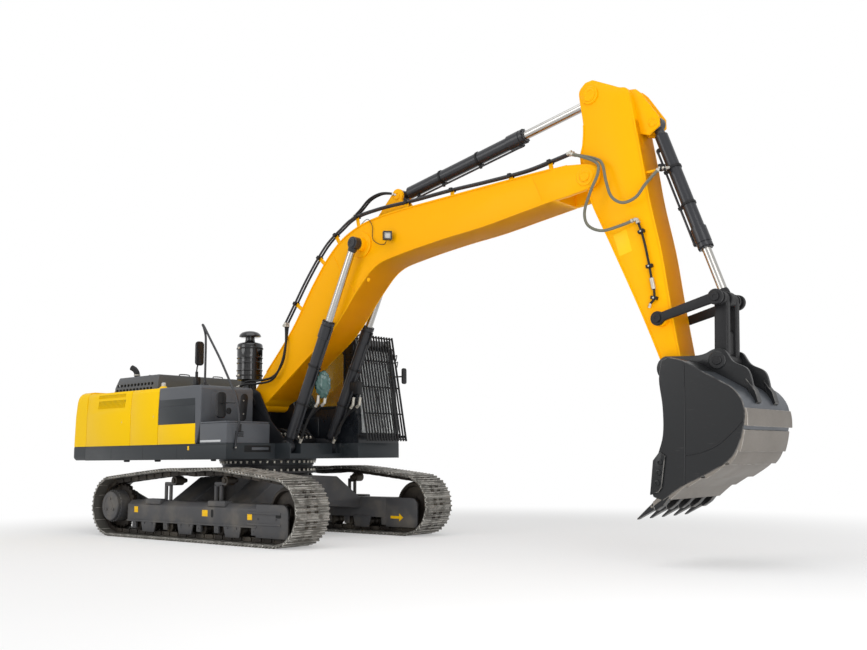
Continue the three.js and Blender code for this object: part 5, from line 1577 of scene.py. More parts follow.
class BuildRail(bpy.types.Operator):
    """Bends the handrail over the tank and hangs the mirrors"""

    bl_idname = "excavator.rail"
    bl_label = "Handrail and mirrors"

    def execute(self, context):
        radius = context.scene.excavator_upper.rail
        box_face = span("toolbox")[1].x
        tank_high = span("fuel_tank")[1]
        x0 = box_face + radius + 0.0013
        xs = tank_high.x - 0.1
        rise = BODY_TOP - DECK
        route = [
            (x0, DECK - 0.1 * rise), (x0 + 0.015, DECK + 0.06 * rise), (x0 + 0.075, DECK + 0.3 * rise),
            (x0 + 0.072, DECK + 0.49 * rise), (x0 + 0.015, DECK + 0.75 * rise), (x0 - 0.148, BODY_TOP + 0.02),
            (xs + 0.35, BODY_TOP + 0.38), (xs + 0.1, BODY_TOP + 0.7), (xs - 0.05, BODY_TOP + 0.895),
            (xs - 0.09, BODY_TOP + 0.925), (xs - 0.06, BODY_TOP + 0.88), (xs - 0.012, BODY_TOP + 0.76),
            (xs, BODY_TOP + 0.6), (xs, BODY_TOP + 0.1), (xs, tank_high.z + 0.001)
        ]
        piece = Piece("grab_rail")
        piece.add(tube([(x, RAIL_Y, z) for x, z in route], radius, 16, 120), "barrel_grey")
        foot = [(0, 0), (0.04, 0), (0.04, 0.01), (0.024, 0.014), (0.024, 0.05), (0, 0.05)]
        piece.add(spun(foot, (xs, RAIL_Y, tank_high.z), (0, 0, 1), 28), "black_plastic")
        foot_z = DECK - 0.09 * rise
        piece.add(soft_block(box_face, x0 + 0.01, RAIL_Y - 0.02, RAIL_Y + 0.02, foot_z, foot_z + 0.03, 0.004),
                  "black_plastic")
        piece.add(bolt((x0 + 0.01, RAIL_Y, foot_z + 0.015), (1, 0, 0), 0.012, 0.01), "bright_zinc")
        held = (x0 - 0.04, DECK + 0.66 * rise)
        piece.add(tube([(held[0] + 0.02, RAIL_Y, held[1]), (held[0] - 0.1, RAIL_Y, held[1] + 0.01),
                        (0.47, RAIL_Y, held[1] + 0.005)], 0.01, 10, 16), "black_plastic")
        mirror_head(piece, 0.44, RAIL_Y, 1.79, 0.39, 0.17, 1)
        piece.ride("upper", "frame_black", "handrail")

        mirror = Piece("rear_view_mirror_right")
        base = tank_high.z
        x = -0.15
        stem = [
            (x, RAIL_Y, base), (x, RAIL_Y, base + 0.14), (x, RAIL_Y, base + 0.24),
            (x + 0.02, RAIL_Y, base + 0.32), (x + 0.06, RAIL_Y, base + 0.38)
        ]
        mirror.add(tube(stem, 0.011, 12, 24), "black_plastic")
        mirror.add(soft_block(x - 0.045, x + 0.045, RAIL_Y - 0.045, RAIL_Y + 0.045, base, base + 0.14, 0.01),
                   "black_plastic")
        mirror.add(
            spun([(0, 0), (0.022, 0), (0.022, 0.1), (0, 0.1)], (x, RAIL_Y, base + 0.12), (0, 0, 1), 24),
            "cast_black"
        )
        mirror_head(mirror, x + 0.04, RAIL_Y, base + 0.31, 0.37, 0.15, 1)
        mirror.ride("upper", "cab_plastic", "mirror_right")

        left = Piece("rear_view_mirror_left")
        z = CAB_HIGH.z - 0.58
        box_low, box_high = span("mirror_left")
        arm = [(box_low.x + 0.01, CAB_HIGH.y + 0.01, z), (box_low.x + 0.1, CAB_HIGH.y + 0.012, z),
               (box_high.x - 0.04, CAB_HIGH.y + 0.03, z), (box_high.x - 0.02, CAB_HIGH.y + 0.07, z)]
        left.add(tube(arm, 0.012, 12, 24), "black_plastic")
        mirror_head(left, box_high.x - 0.03, CAB_HIGH.y + 0.075, z - 0.12, 0.26, 0.1, 1)
        left.ride("upper", "cab_plastic", "mirror_left")
        return {"FINISHED"}


class BuildBay(bpy.types.Operator):
    """Finishes the engine bay's frame and the engine, and adds the filler beside the hood"""

    bl_idname = "excavator.bay"
    bl_label = "Engine bay"

    def execute(self, context):
        bay = Piece("bay_frame")
        roof = "body_paint"
        black = "frame_paint"
        bay.add(soften(copy_of("engine_bay_frame"), 0.006),
                lambda face: roof if face.calc_center_median().z > BODY_TOP - 0.02 else black)
        x, y, z = -1.15, -1.2, BODY_TOP - 0.001
        neck = [(0, 0), (0.1, 0), (0.09, 0.015), (0.06, 0.03), (0.045, 0.05), (0, 0.05)]
        bay.add(spun(neck, (x, y, z), (0, 0, 1), 40), roof)
        cap = [(0, 0.05), (0.032, 0.05), (0.036, 0.056), (0.034, 0.1), (0.022, 0.112), (0, 0.115)]
        bay.add(spun(cap, (x, y, z), (0, 0, 1), 32), "pale_plate")
        for i in range(6):
            dx = -0.9 + 0.11 * i
            bay.add(soft_block(dx - 1.8, dx - 1.76, -1.3, -1.08, z - 0.002, z + 0.003, 0.001), black)
        bay.ride("upper", "frame_black", "engine_bay_frame")
        low, high = span("engine_block")
        engine = Piece("engine")
        engine.add(soften(copy_of("engine_block"), 0.03, 3), "cast_black")
        for i in range(6):
            place = low.x + 0.1 + 0.13 * i
            engine.add(
                soft_block(place, place + 0.1, low.y + 0.2, high.y - 0.2, high.z, high.z + 0.06, 0.02, 3),
                "barrel_grey"
            )
        fan = [(0, -0.04), (0.36, -0.04), (0.37, -0.03), (0.37, 0.03), (0.36, 0.04), (0, 0.04)]
        middle = ((low.x + high.x) / 2, high.y + 0.05, low.z + 0.42)
        engine.add(spun(fan, middle, (0, 1, 0), 40), "black_plastic")
        engine.ride("upper", "frame_black", "engine_block")
        return {"FINISHED"}


# ---------------------------------------------------------------- cab
class CabSettings(bpy.types.PropertyGroup):
    """Sizes of the cab's trim."""

    seal: length_value("Seal", "Width of the rubber round each window", 0.028)
    bars: bpy.props.IntProperty(
        name="Bars", description="Spaces between the upright bars of the guard", default=14, min=2
    )
    bar: length_value("Bar", "Radius of an upright bar", 0.015)


def cab_face_x(z):
    """The cab's front at a height: upright below the sill and leaning back above it."""
    sill, brow = DECK + 0.28, CAB_HIGH.z - 0.13
    return CAB_HIGH.x - 0.13 * max(0, (z - sill) / (brow - sill))


def seal(piece, low, high, axis, at, way, width, radius):
    """A rubber seal that follows the edge of a window, with round corners."""
    outer = rounded((low[0] - 0.004, low[1] - 0.004), (high[0] + 0.004, high[1] + 0.004), radius, 8)
    inner = rounded(
        (low[0] + width, low[1] + width), (high[0] - width, high[1] - width), max(radius - width, 0.02), 8
    )
    y0, y1 = sorted((at, at + way * 0.014))
    cutter = poly(inner, axis, y0 - 0.02, y1 + 0.02)
    piece.add(carve(soften(poly(outer, axis, y0, y1), 0.004), cutter), "window_rubber")


class BuildCab(bpy.types.Operator):
    """Finishes the cab's shell and glass, with seals, lamps, wiper and roof hatch"""

    bl_idname = "excavator.cab"
    bl_label = "Cab"

    def execute(self, context):
        width = context.scene.excavator_cab.seal
        shell = Piece("cab_shell")
        shell.add(soften(copy_of("cab_frame"), 0.012, 3), "cab_grey")
        right, left = CAB_LOW.y, CAB_HIGH.y - 0.02
        low, high = span("cab_right_window")
        seal(shell, (low.x, low.z), (high.x, high.z), "Y", right + 0.004, -1, width, 0.09)
        low, high = span("cab_corner_window")
        seal(shell, (low.x, low.z), (high.x, high.z), "Y", CAB_HIGH.y - 0.022, 1, width, 0.05)
        low, high = span("cab_rear_window")
        seal(shell, (low.y, low.z), (high.y, high.z), "X", CAB_LOW.x + 0.004, -1, width, 0.04)
        roof = CAB_HIGH.z
        x0, x1 = CAB_LOW.x + 0.4, CAB_LOW.x + 1.1
        middle = (right + left) / 2
        hatch = soft_block(x0, x1, middle - 0.28, middle + 0.28, roof - 0.03, roof - 0.002, 0.02, 3)
        shell.add(hatch, "cab_grey")
        for y in (right + 0.1, left - 0.12):
            lamp = [(0, -0.03), (0.05, -0.03), (0.055, 0), (0.055, 0.02), (0, 0.022)]
            shell.add(spun(lamp, (cab_face_x(roof - 0.1) - 0.02, y, roof - 0.06), (1, 0, 0), 32), "lamp_lens")
            rim = [(0.052, -0.01), (0.062, -0.01), (0.062, 0.03), (0.052, 0.03)]
            shell.add(spun(rim, (cab_face_x(roof - 0.1) - 0.02, y, roof - 0.06), (1, 0, 0), 32, ring=True),
                      "black_plastic")
        belt = CAB_LOW.z + 0.56
        shell.add(
            soft_block(CAB_LOW.x + 0.02, cab_face_x(belt) - 0.03, right - 0.004, right + 0.01, belt - 0.012,
                belt + 0.012, 0.004), "cab_grey"
        )
        shell.add(soft_block(CAB_LOW.x + 0.3, CAB_LOW.x + 0.95, right - 0.006, right + 0.01, CAB_LOW.z + 0.12,
                             CAB_LOW.z + 0.42, 0.012, 3), "cab_grey")
        wiper_y = middle + 0.1
        z0, z1 = DECK + 0.25, DECK + 1.05
        wiper = [
            (cab_face_x(z0) + 0.01, wiper_y, z0), (cab_face_x((z0 + z1) / 2) + 0.02, wiper_y - 0.1,
                (z0 + z1) / 2), (cab_face_x(z1) + 0.008, wiper_y - 0.16, z1)
        ]
        shell.add(tube(wiper, 0.007, 8, 12), "black_plastic")
        aerial = [(CAB_LOW.x + 0.06, left - 0.1, roof - 0.02), (CAB_LOW.x + 0.02, left - 0.1, roof)]
        shell.add(tube(aerial, 0.006, 8, 6), "black_plastic")
        shell.ride("upper", "body_grey", "cab_frame")
        for node in ("cab_right_window", "cab_corner_window", "cab_rear_window", "door_window"):
            dress(node, "clear_pane")
        dress("windshield", "front_pane")
        return {"FINISHED"}


class BuildDoor(bpy.types.Operator):
    """Finishes the cab's door with its seal and handle"""

    bl_idname = "excavator.cab_door"
    bl_label = "Cab door"

    def execute(self, context):
        door = Piece("cab_door_shell")
        door.add(soften(copy_of("cab_door"), 0.009, 3), "cab_grey")
        low, high = span("door_window")
        outside = CAB_HIGH.y - 0.021
        seal(door, (low.x, low.z), (high.x, high.z), "Y", outside, 1, context.scene.excavator_cab.seal, 0.06)
        panel_low, panel_high = span("cab_door")
        x = panel_high.x - 0.1
        z = low.z - 0.12
        handle = [
            (x - 0.14, outside, z), (x - 0.14, outside + 0.035, z), (x, outside + 0.035, z), (x, outside, z)
        ]
        door.add(tube(handle, 0.011, 12, 24), "black_plastic")
        door.add(spun([(0, 0), (0.02, 0), (0.02, 0.008), (0, 0.01)], (x - 0.2, outside, z), (0, 1, 0), 24),
                 "bright_zinc")
        door.add(soft_block(low.x + 0.05, high.x - 0.05, outside - 0.002, outside + 0.006, panel_low.z + 0.08,
                            low.z - 0.22, 0.02, 3), "cab_grey")
        door.ride("cab_door_leaf", "body_grey", "cab_door")
        return {"FINISHED"}


def cushion(x0, x1, y0, y1, z0, z1, puff):
    """A padded block: crowned in the middle, pulled in at its edges and sewn along two channels."""
    part = bmesh.new()
    bmesh.ops.create_cube(part, size=1)
    bmesh.ops.subdivide_edges(part, edges=part.edges, cuts=11, use_grid_fill=True)
    for vert in part.verts:
        x, y, z = vert.co * 2
        crown = (1 - x * x) * (1 - y * y) if abs(z) > 0.99 else 0
        waist = 1 - 0.05 * (1 - z * z)
        channel = math.exp(-((abs(y) - 0.55) * 14) ** 2) if z > 0.99 else 0
        pull = 1 - 0.08 * (abs(x * y) ** 3)
        vert.co = Vector(
            (x * waist * pull / 2, y * waist * pull / 2, z * (1 + puff * crown - 0.12 * channel) / 2)
        )
    bmesh.ops.smooth_vert(
        part, verts=part.verts, factor=0.5, use_axis_x=True, use_axis_y=True, use_axis_z=True
    )
    bmesh.ops.scale(part, vec=(x1 - x0, y1 - y0, z1 - z0), verts=part.verts)
    bmesh.ops.translate(part, vec=((x0 + x1) / 2, (y0 + y1) / 2, (z0 + z1) / 2), verts=part.verts)
    return part


class BuildCabInside(bpy.types.Operator):
    """Pads the operator's seat and builds the levers and consoles"""

    bl_idname = "excavator.cab_inside"
    bl_label = "Seat and console"

    def execute(self, context):
        low, high = span("seat")
        base = Piece("seat_base")
        base.add(
            soft_block(low.x + 0.2, high.x - 0.1, low.y + 0.1, high.y - 0.1, low.z, low.z + 0.24, 0.02, 3),
            "black_plastic"
        )
        base.add(
            soft_block(low.x + 0.18, high.x - 0.03, low.y + 0.06, high.y - 0.06, low.z + 0.2, low.z + 0.27,
                0.015, 3), "black_plastic"
        )
        for y in (low.y + 0.02, high.y - 0.08):
            base.add(soft_block(low.x + 0.25, low.x + 0.55, y, y + 0.06, low.z + 0.5, low.z + 0.56, 0.02, 3),
                     "black_plastic")
            base.add(
                soft_block(low.x + 0.27, low.x + 0.33, y + 0.01, y + 0.05, low.z + 0.24, low.z + 0.52, 0.01),
                "black_plastic"
            )
        base.ride("upper", "cab_plastic", "seat")
        pad = Piece("seat_cushion")
        pad.add(cushion(low.x + 0.16, high.x, low.y + 0.02, high.y - 0.02, low.z + 0.26, low.z + 0.385, 0.35),
                "seat_cloth")
        pad = pad.ride("upper", "cab_plastic")
        back = Piece("seat_back")
        lean = Matrix.Rotation(math.radians(-7), 4, "Y")
        upright = Matrix.Rotation(math.radians(90), 4, "Y")
        form = cushion(
            -0.36, 0.36, low.y + 0.04 - (low.y + high.y) / 2, high.y - 0.04 - (low.y + high.y) / 2, -0.055,
            0.055, 0.4
        )
        place = Matrix.Translation((low.x + 0.125, (low.y + high.y) / 2, low.z + 0.7))
        back.add(moved(form, place @ lean @ upright), "seat_cloth")
        back = back.ride("upper", "cab_plastic")
        low, high = span("console")
        console = Piece("side_console")
        console.add(soft_block(low.x, high.x, low.y, high.y, low.z, low.z + 0.52, 0.03, 4), "black_plastic")
        y = (low.y + high.y) / 2
        lever = [
            (high.x - 0.1, y, low.z + 0.5), (high.x - 0.09, y, low.z + 0.6), (high.x - 0.07, y, low.z + 0.66)
        ]
        console.add(tube(lever, 0.018, 12, 12), "hose_rubber")
        console.ride("upper", "cab_plastic", "console")
        return {"FINISHED"}


class BuildGuard(bpy.types.Operator):
    """Welds the barred guard in front of the windshield"""

    bl_idname = "excavator.guard"
    bl_label = "Front guard"

    def execute(self, context):
        settings = context.scene.excavator_cab
        bottom, top = DECK + 0.04, CAB_HIGH.z + 0.05
        y0, y1 = CAB_LOW.y + 0.01, CAB_HIGH.y - 0.056
        first, last = cab_face_x(bottom) + 0.19, cab_face_x(top) + 0.03

        def at(z):
            share = (z - bottom) / (top - bottom)
            return first * (1 - share) + last * share

        black = "cast_black"
        piece = Piece("guard_bars")
        for i in range(settings.bars + 1):
            y = y0 + (y1 - y0) * i / settings.bars
            end = i in (0, settings.bars)
            radius = 0.017 if end else settings.bar
            piece.add(rod((at(bottom), y, bottom - 0.01), (at(top), y, top + 0.005), radius, 16), black)
        for z in (bottom + 0.02, bottom + 0.42, DECK + 0.88, DECK + 1.3, top - 0.02):
            x = at(z) - 0.012
            piece.add(rod((x, y0, z), (x, y1, z), 0.012, 12), black)
        for y in (y0, y1):
            for z in (bottom + 0.06, CAB_HIGH.z - 0.26):
                piece.add(
                    soft_block(cab_face_x(z), at(z), y - 0.012, y + 0.012, z - 0.02, z + 0.02, 0.004), black
                )
                piece.add(
                    soft_block(cab_face_x(z) - 0.002, cab_face_x(z) + 0.012, y - 0.035, y + 0.035, z - 0.05,
                        z + 0.05, 0.004), black
                )
                piece.add(bolt((cab_face_x(z) + 0.012, y + 0.022, z), (1, 0, 0), 0.01, 0.008), "bright_zinc")
        hooks = y1 + 0.03
        for z in (bottom + 1.25, bottom + 1.36):
            grip = [
                (at(z), y1, z), (at(z) + 0.005, hooks + 0.02, z + 0.03),
                (at(z) - 0.02, hooks + 0.05, z + 0.01), (at(z) - 0.03, hooks + 0.04, z - 0.06)
            ]
            piece.add(tube(grip, 0.008, 10, 18), "barrel_grey")
        piece.ride("upper", "frame_black", "front_guard")
        return {"FINISHED"}


# ---------------------------------------------------------------- boom, arm and bucket
class FrontSettings(bpy.types.PropertyGroup):
    """Sizes of the boom, arm, bucket and cylinders."""

    boom_half: length_value("Boom half width", "Half the width of the boom", 0.28)
    arm_half: length_value("Arm half width", "Half the width of the arm", 0.2)
    bucket_half: length_value("Bucket half width", "Half the width of the bucket", 0.62)
    wall: length_value("Bucket wall", "Thickness of the bucket's plates", 0.032)
    teeth: bpy.props.IntProperty(name="Teeth", description="Teeth along the bucket's lip", default=5, min=2)


def weld(piece, points, radius, look, steps=None):
    """A weld bead: a slim rounded line along a seam."""
    piece.add(tube(points, radius, 8, steps), look)


def pin_head(piece, point, y, way, radius=0.075, look="boom_paint"):
    """A round pin cover with a bolted keeper, on the outside of a boss."""
    cover = [(0, -0.01), (radius, -0.01), (radius, 0.006), (radius - 0.008, 0.012), (radius * 0.6, 0.012),
             (radius * 0.55, 0.008), (0, 0.008)]
    piece.add(spun(cover, (point[0], y, point[1]), (0, way, 0), 48), look)
    for turn in (60, 180, 300):
        x = radius * 0.75 * math.cos(math.radians(turn))
        z = radius * 0.75 * math.sin(math.radians(turn))
        piece.add(bolt((point[0] + x, y + way * 0.011, point[1] + z), (0, way, 0), 0.009, 0.007), look)


FORK_ROOM = 0.205         # half the room for the arm between the ears of the boom
LUG_ROOM = 0.0603         # half the room for a cylinder's eye between its lugs
EAR_ROOM = 0.212          # half the room for the arm between the ears of the bucket


class BuildBoom(bpy.types.Operator):
    """Welds the boom from its bent box, forked tip, foot and cylinder lugs"""

    bl_idname = "excavator.boom"
    bl_label = "Boom"

    def execute(self, context):
        half = context.scene.excavator_front.boom_half
        paint = "boom_paint"
        top = [
            (0.059, 0.35), (0.177, 0.7), (0.275, 1.105), (0.363, 1.39), (0.438, 1.47), (0.531, 1.362),
            (0.691, 0.988), (0.879, 0.53), (0.975, 0.285)
        ]
        low = [
            (0.947, -0.07), (0.846, 0.1), (0.754, 0.255), (0.655, 0.455), (0.544, 0.65), (0.471, 0.73),
            (0.404, 0.59), (0.293, 0.26), (0.18, 0.1), (0.045, -0.098)
        ]
        heel = [(-0.012, -0.109), (-0.02, 0.052), (-0.008, 0.162)]
        nose = [
            (0.933, -0.05), (0.972, -0.12), (1.004, -0.162), (1.026, -0.07), (1.022, 0.078), (0.975, 0.274),
            (0.961, 0.312)
        ]
        upper = smooth_line([ON_BOOM(*p) for p in top], 56)
        lower = smooth_line([ON_BOOM(*p) for p in low], 56)
        back = smooth_line([ON_BOOM(*p) for p in heel], 8)
        fork_x = BOOM_TIP[0] - 0.439
        piece = Piece("boom_weldment")
        web = 0.012           # the webs stand in a little from the edges of the top and bottom plates
        body = soften(poly(upper + lower + back, "Y", web - half, half - web), 0.01, above=24)
        cut = FORK_ROOM + 0.007
        fork = block(fork_x, fork_x + 2, -cut, cut, BOOM_TIP[1] - 2, BOOM_TIP[1] + 2)
        piece.add(carve(body, fork), paint)
        highest = min(upper, key=lambda p: abs(p.x - fork_x)).y
        lowest = min(lower, key=lambda p: abs(p.x - fork_x)).y
        piece.add(
            block(fork_x - 0.02, fork_x + 0.004, -cut - 0.004, cut + 0.004, lowest + 0.01, highest - 0.01),
            paint
        )
        for line in (upper, lower):
            flange = band([p for p in line if p.x < fork_x + 0.02], -0.022)
            piece.add(soften(poly(flange, "Y", -half, half), 0.006, above=40), paint)
        for side in (-1, 1):
            ear = smooth_line([ON_BOOM(*p) for p in nose], 30)
            ear += [ON_BOOM(0.9, 0.43), ON_BOOM(0.9, 0.02)]
            piece.add(soften(slab(ear, side, FORK_ROOM, half), 0.01, above=30), paint)
            boss = disc(0.118, -0.02, 0.01, 0.006)
            piece.add(spun(boss, (BOOM_TIP[0], side * half, BOOM_TIP[1]), (0, side, 0), 56), paint)
            pin_head(piece, BOOM_TIP, side * (half + 0.012), side, 0.07)
        foot_half = half + 0.02
        piece.add(spun(drum(0.145, foot_half, 0.008), (BOOM_FOOT[0], 0, BOOM_FOOT[1]), (0, 1, 0), 56), paint)
        boss_end = CYLINDER_Y - 0.059
        piece.add(spun(drum(0.104, boss_end, 0.006), (BOOM_EYE[0], 0, BOOM_EYE[1]), (0, 1, 0), 48), paint)
        for side in (-1, 1):
            plate = arc(BOOM_EYE, 0.19, 0, 360, 40)[:-1]
            piece.add(soften(slab(plate, side, half - 0.01, half + 0.006), 0.005), paint)
            base = [ON_BOOM(0.47, 1.42), ON_BOOM(0.583, 1.22)]
            lug = [*base, *arc(ARM_CYLINDER_FOOT, 0.105, -38, 158, 16)]
            piece.add(soften(slab(lug, side, LUG_ROOM, 0.105), 0.008), paint)
            pin_head(piece, ARM_CYLINDER_FOOT, side * 0.105, side, 0.06)
        bend = [ON_BOOM(0.363, 1.365), ON_BOOM(0.375, 0.9), ON_BOOM(0.393, 0.6)]
        for y in (web - half - 0.001, half - web + 0.001):
            weld(piece, [(p[0], y, p[1]) for p in bend], 0.0045, "boom_paint", 16)
        plate = link_line(ON_BOOM(0.33, 0.72), ON_BOOM(0.345, 0.72), 0.03)
        piece.add(soften(poly(plate, "Y", -half - 0.002, web - half + 0.004), 0.002), paint)
        for share, left in ((0.4, 0.62), (0.44, 0.62)):
            spot = ON_BOOM(share, left)
            piece.add(
                spun([(0, 0), (0.032, 0), (0.03, 0.008), (0, 0.01)], (spot[0], web - half, spot[1]),
                    (0, -1, 0), 24), paint
            )
        piece.ride("boom_arm", "boom_yellow", "boom")
        return {"FINISHED"}


class BuildArm(bpy.types.Operator):
    """Welds the arm from its tapered box, slotted head and cylinder bracket"""

    bl_idname = "excavator.arm"
    bl_label = "Arm"

    def execute(self, context):
        half = context.scene.excavator_front.arm_half
        paint = "boom_paint"
        rear = [
            (-0.435, 0.452), (-0.416, 0.335), (-0.37, 0.286), (-0.25, 0.202), (-0.167, 0.097),
            (-0.094, -0.018), (0.102, -0.096), (0.353, -0.082), (0.704, -0.066), (0.955, -0.075)
        ]
        front = [
            (0.98, 0.159), (0.727, 0.319), (0.505, 0.468), (0.271, 0.588), (0.094, 0.701), (-0.073, 0.802),
            (-0.257, 0.9), (-0.309, 0.805), (-0.385, 0.637), (-0.424, 0.549)
        ]
        bracket = [
            (-0.302, 0.797), (-0.264, 0.962), (-0.229, 1.0), (-0.076, 1.075), (-0.037, 1.034), (-0.025, 0.87),
            (-0.063, 0.759)
        ]
        rear_line = smooth_line([ON_ARM(*p) for p in rear], 48)
        front_line = smooth_line([ON_ARM(*p) for p in front], 48)
        piece = Piece("arm_weldment")
        web = 0.01
        body = soften(poly(rear_line + front_line, "Y", web - half, half - web), 0.009, above=24)
        head = ARM_HEAD
        slot = block(head[0] - 0.5, head[0] + 0.21, -0.075, 0.075, head[1] - 0.27, head[1] + 0.5)
        swing = across(head, -0.0752, 0.0752, 0.32, 48)
        piece.add(carve(carve(body, slot), swing), paint)
        low_front = [p for p in front_line if p.y < head[1] - 0.12]
        for line in (rear_line, low_front):
            flange = band([p for p in line if p.y < BOOM_TIP[1] + 0.7], 0.02)
            piece.add(soften(poly(flange, "Y", -half, half), 0.005, above=40), paint)
        for side in (-1, 1):
            ear = [ON_ARM(*p) for p in bracket]
            piece.add(soften(slab(ear, side, LUG_ROOM, 0.1), 0.008), paint)
            pin_head(piece, BUCKET_CYLINDER_FOOT, side * 0.1, side, 0.055)
            pin_head(piece, head, side * (half + 0.012), side, 0.085)
            rim = disc(0.115, -0.01, 0.012, 0.007, 0.006)
            piece.add(spun(rim, (head[0], side * half, head[1]), (0, side, 0), 56), paint)
        tip = drum(0.12, half, 0.008)
        for point in (BOOM_TIP, BUCKET_PIN):
            piece.add(spun(tip, (point[0], 0, point[1]), (0, 1, 0), 56), paint)
        piece.add(spun(drum(0.09, 0.269, 0.006), (GUIDE_PIN[0], 0, GUIDE_PIN[1]), (0, 1, 0), 48), paint)
        centre = ON_ARM(0.376, 0.07)
        turn = Matrix.Translation((centre[0], 0, centre[1])) @ Matrix.Rotation(math.radians(-15), 4, "Y")
        label = soften(
            poly(rounded((-0.09, -0.14), (0.09, 0.14), 0.012, 3), "Y", web - half - 0.0025,
                web - half + 0.002), 0.001
        )
        piece.add(moved(label, turn), "mark_yellow")
        piece.ride("stick", "boom_yellow", "arm")
        return {"FINISHED"}


BUCKET_BACK = [
    (0.187, 0.089), (0.377, 0.029), (0.557, -0.081), (0.767, -0.201), (0.917, -0.301), (1.007, -0.461),
    (0.997, -0.671), (0.907, -0.921), (0.767, -1.061), (0.497, -1.201), (0.297, -1.291), (0.057, -1.451)
]
BUCKET_MOUTH = [
    (-0.053, -1.411), (-0.063, -1.311), (0.007, -1.001), (0.087, -0.751), (0.097, -0.451), (0.067, -0.151),
    (0.107, 0.049)
]


def bucket_point(point):
    return off(BUCKET_PIN, *point)


def bucket_shell(piece, settings):
    """The rolled back and floor, the side plates, and the strips welded on where they wear."""
    half, wall = settings.bucket_half, settings.wall
    back = smooth_line([bucket_point(p) for p in BUCKET_BACK], 66)
    strip = mark_edges(poly(band(back, -wall), "Y", -half, half), 0.004, above=40)
    room = across(BUCKET_PIN, -0.213, 0.213, 0.412, 64)
    worn_from = BUCKET_PIN[1] - 0.74
    black, worn, rubbed_sheen = "bucket_paint", "wear_steel", "rubbed_steel"

    # Side faces and the back near the pin stay black, the low back is worn bare steel, and the upper back
    # takes a lighter blue-grey steel that paints the sheen of light on it as well as its scratches.
    def by_height(face):
        middle = face.calc_center_median()
        if abs(face.normal.y) > 0.5 or middle.x < BUCKET_PIN[0] + 0.55:
            return black
        return worn if middle.z < worn_from else rubbed_sheen

    piece.add(carve(strip, room), by_height)
    side = [bucket_point(p) for p in BUCKET_MOUTH]
    mouth = smooth_line(side, 30)
    outline = parallel(back, -0.004) + mouth
    for way in (-1, 1):
        plate = mark_edges(slab(outline, way, half + 0.003, half - wall), 0.005, above=40)
        piece.add(plate, black)
        face = way * (half + 0.004)
        upright = [bucket_point(p) for p in ((0.37, 0.0), (0.35, -0.65), (0.315, -1.27))]
        weld(piece, [(p[0], face, p[1]) for p in upright], 0.006, "bucket_paint", 30)
        curve = [
            bucket_point(p) for p in ((0.33, -0.97), (0.5, -0.945), (0.7, -0.87), (0.88, -0.73),
                (0.99, -0.62))
        ]
        weld(piece, [(p[0], face, p[1]) for p in curve], 0.006, "bucket_paint", 30)
    total = len(back) - 1
    for i in range(6):
        start = int(total * (0.48 + 0.085 * i))
        stretch = back[start:min(start + 6, total + 1)]
        if len(stretch) < 3:
            continue
        raised = [p + (q - p) * (0.35 + 0.65 * k / (len(stretch) - 1)) for k, (p, q) in
                  enumerate(zip(stretch, parallel(stretch, 0.04)))]
        rib = poly(raised + list(reversed(parallel(stretch, -0.004))), "Y", 0.004 - half, half - 0.004)
        piece.add(mark_edges(rib, 0.004, above=40), worn)


def bucket_edge(piece, settings):
    """The lip, its teeth on their adapters, and the bolted side cutters."""
    half = settings.bucket_half
    black, worn = "bucket_paint", "wear_steel"
    lip = [(-0.063, -1.511), (0.117, -1.391), (0.297, -1.271), (0.277, -1.251), (-0.063, -1.461)]
    piece.add(mark_edges(poly([bucket_point(p) for p in lip], "Y", -half, half), 0.004), worn)
    wide = 0.095
    for i in range(settings.teeth):
        y = (2 * half - wide) * i / (settings.teeth - 1) - half
        adapter = [(-0.1, -1.535), (-0.03, -1.56), (0.06, -1.5), (0.15, -1.4), (0.13, -1.375), (-0.02, -1.42),
                   (-0.09, -1.49)]
        piece.add(
            mark_edges(poly([bucket_point(p) for p in adapter], "Y", y + 0.008, y + wide - 0.008), 0.008),
            black
        )
        tooth = [
            (-0.268, -1.662), (-0.133, -1.59), (-0.045, -1.545), (-0.06, -1.47), (-0.14, -1.535),
            (-0.272, -1.65)
        ]
        part = poly([bucket_point(p) for p in tooth], "Y", y, y + wide)
        middle = y + wide / 2
        reach = bucket_point((-0.27, 0))[0]
        base = bucket_point((-0.05, 0))[0]
        for vert in part.verts:
            share = max(0, min(1, (base - vert.co.x) / (base - reach)))
            vert.co.y = middle + (vert.co.y - middle) * (1 - 0.35 * share)
        piece.add(mark_edges(part, 0.005), black)
        pin_spot = bucket_point((-0.075, -1.515))
        piece.add(across(pin_spot, y - 0.006, y + wide + 0.006, 0.014, 12), worn)
    cutter = [(-0.083, -1.391), (0.02, -1.36), (0.06, -1.31), (0.117, -0.971), (0.06, -0.93), (0.037, -0.941),
              (-0.033, -1.021)]
    for way in (-1, 1):
        piece.add(
            mark_edges(slab([bucket_point(p) for p in cutter], way, half + 0.025, half - 0.01), 0.008, 2),
            black
        )
        for spot in ((0.055, -1.04), (0.035, -1.15), (0.015, -1.26)):
            x, z = bucket_point(spot)
            boss = [(0, 0), (0.034, 0), (0.03, 0.012), (0.018, 0.014), (0.016, 0.006), (0, 0.006)]
            piece.add(spun(boss, (x, way * (half + 0.0245), z), (0, way, 0), 24), black)


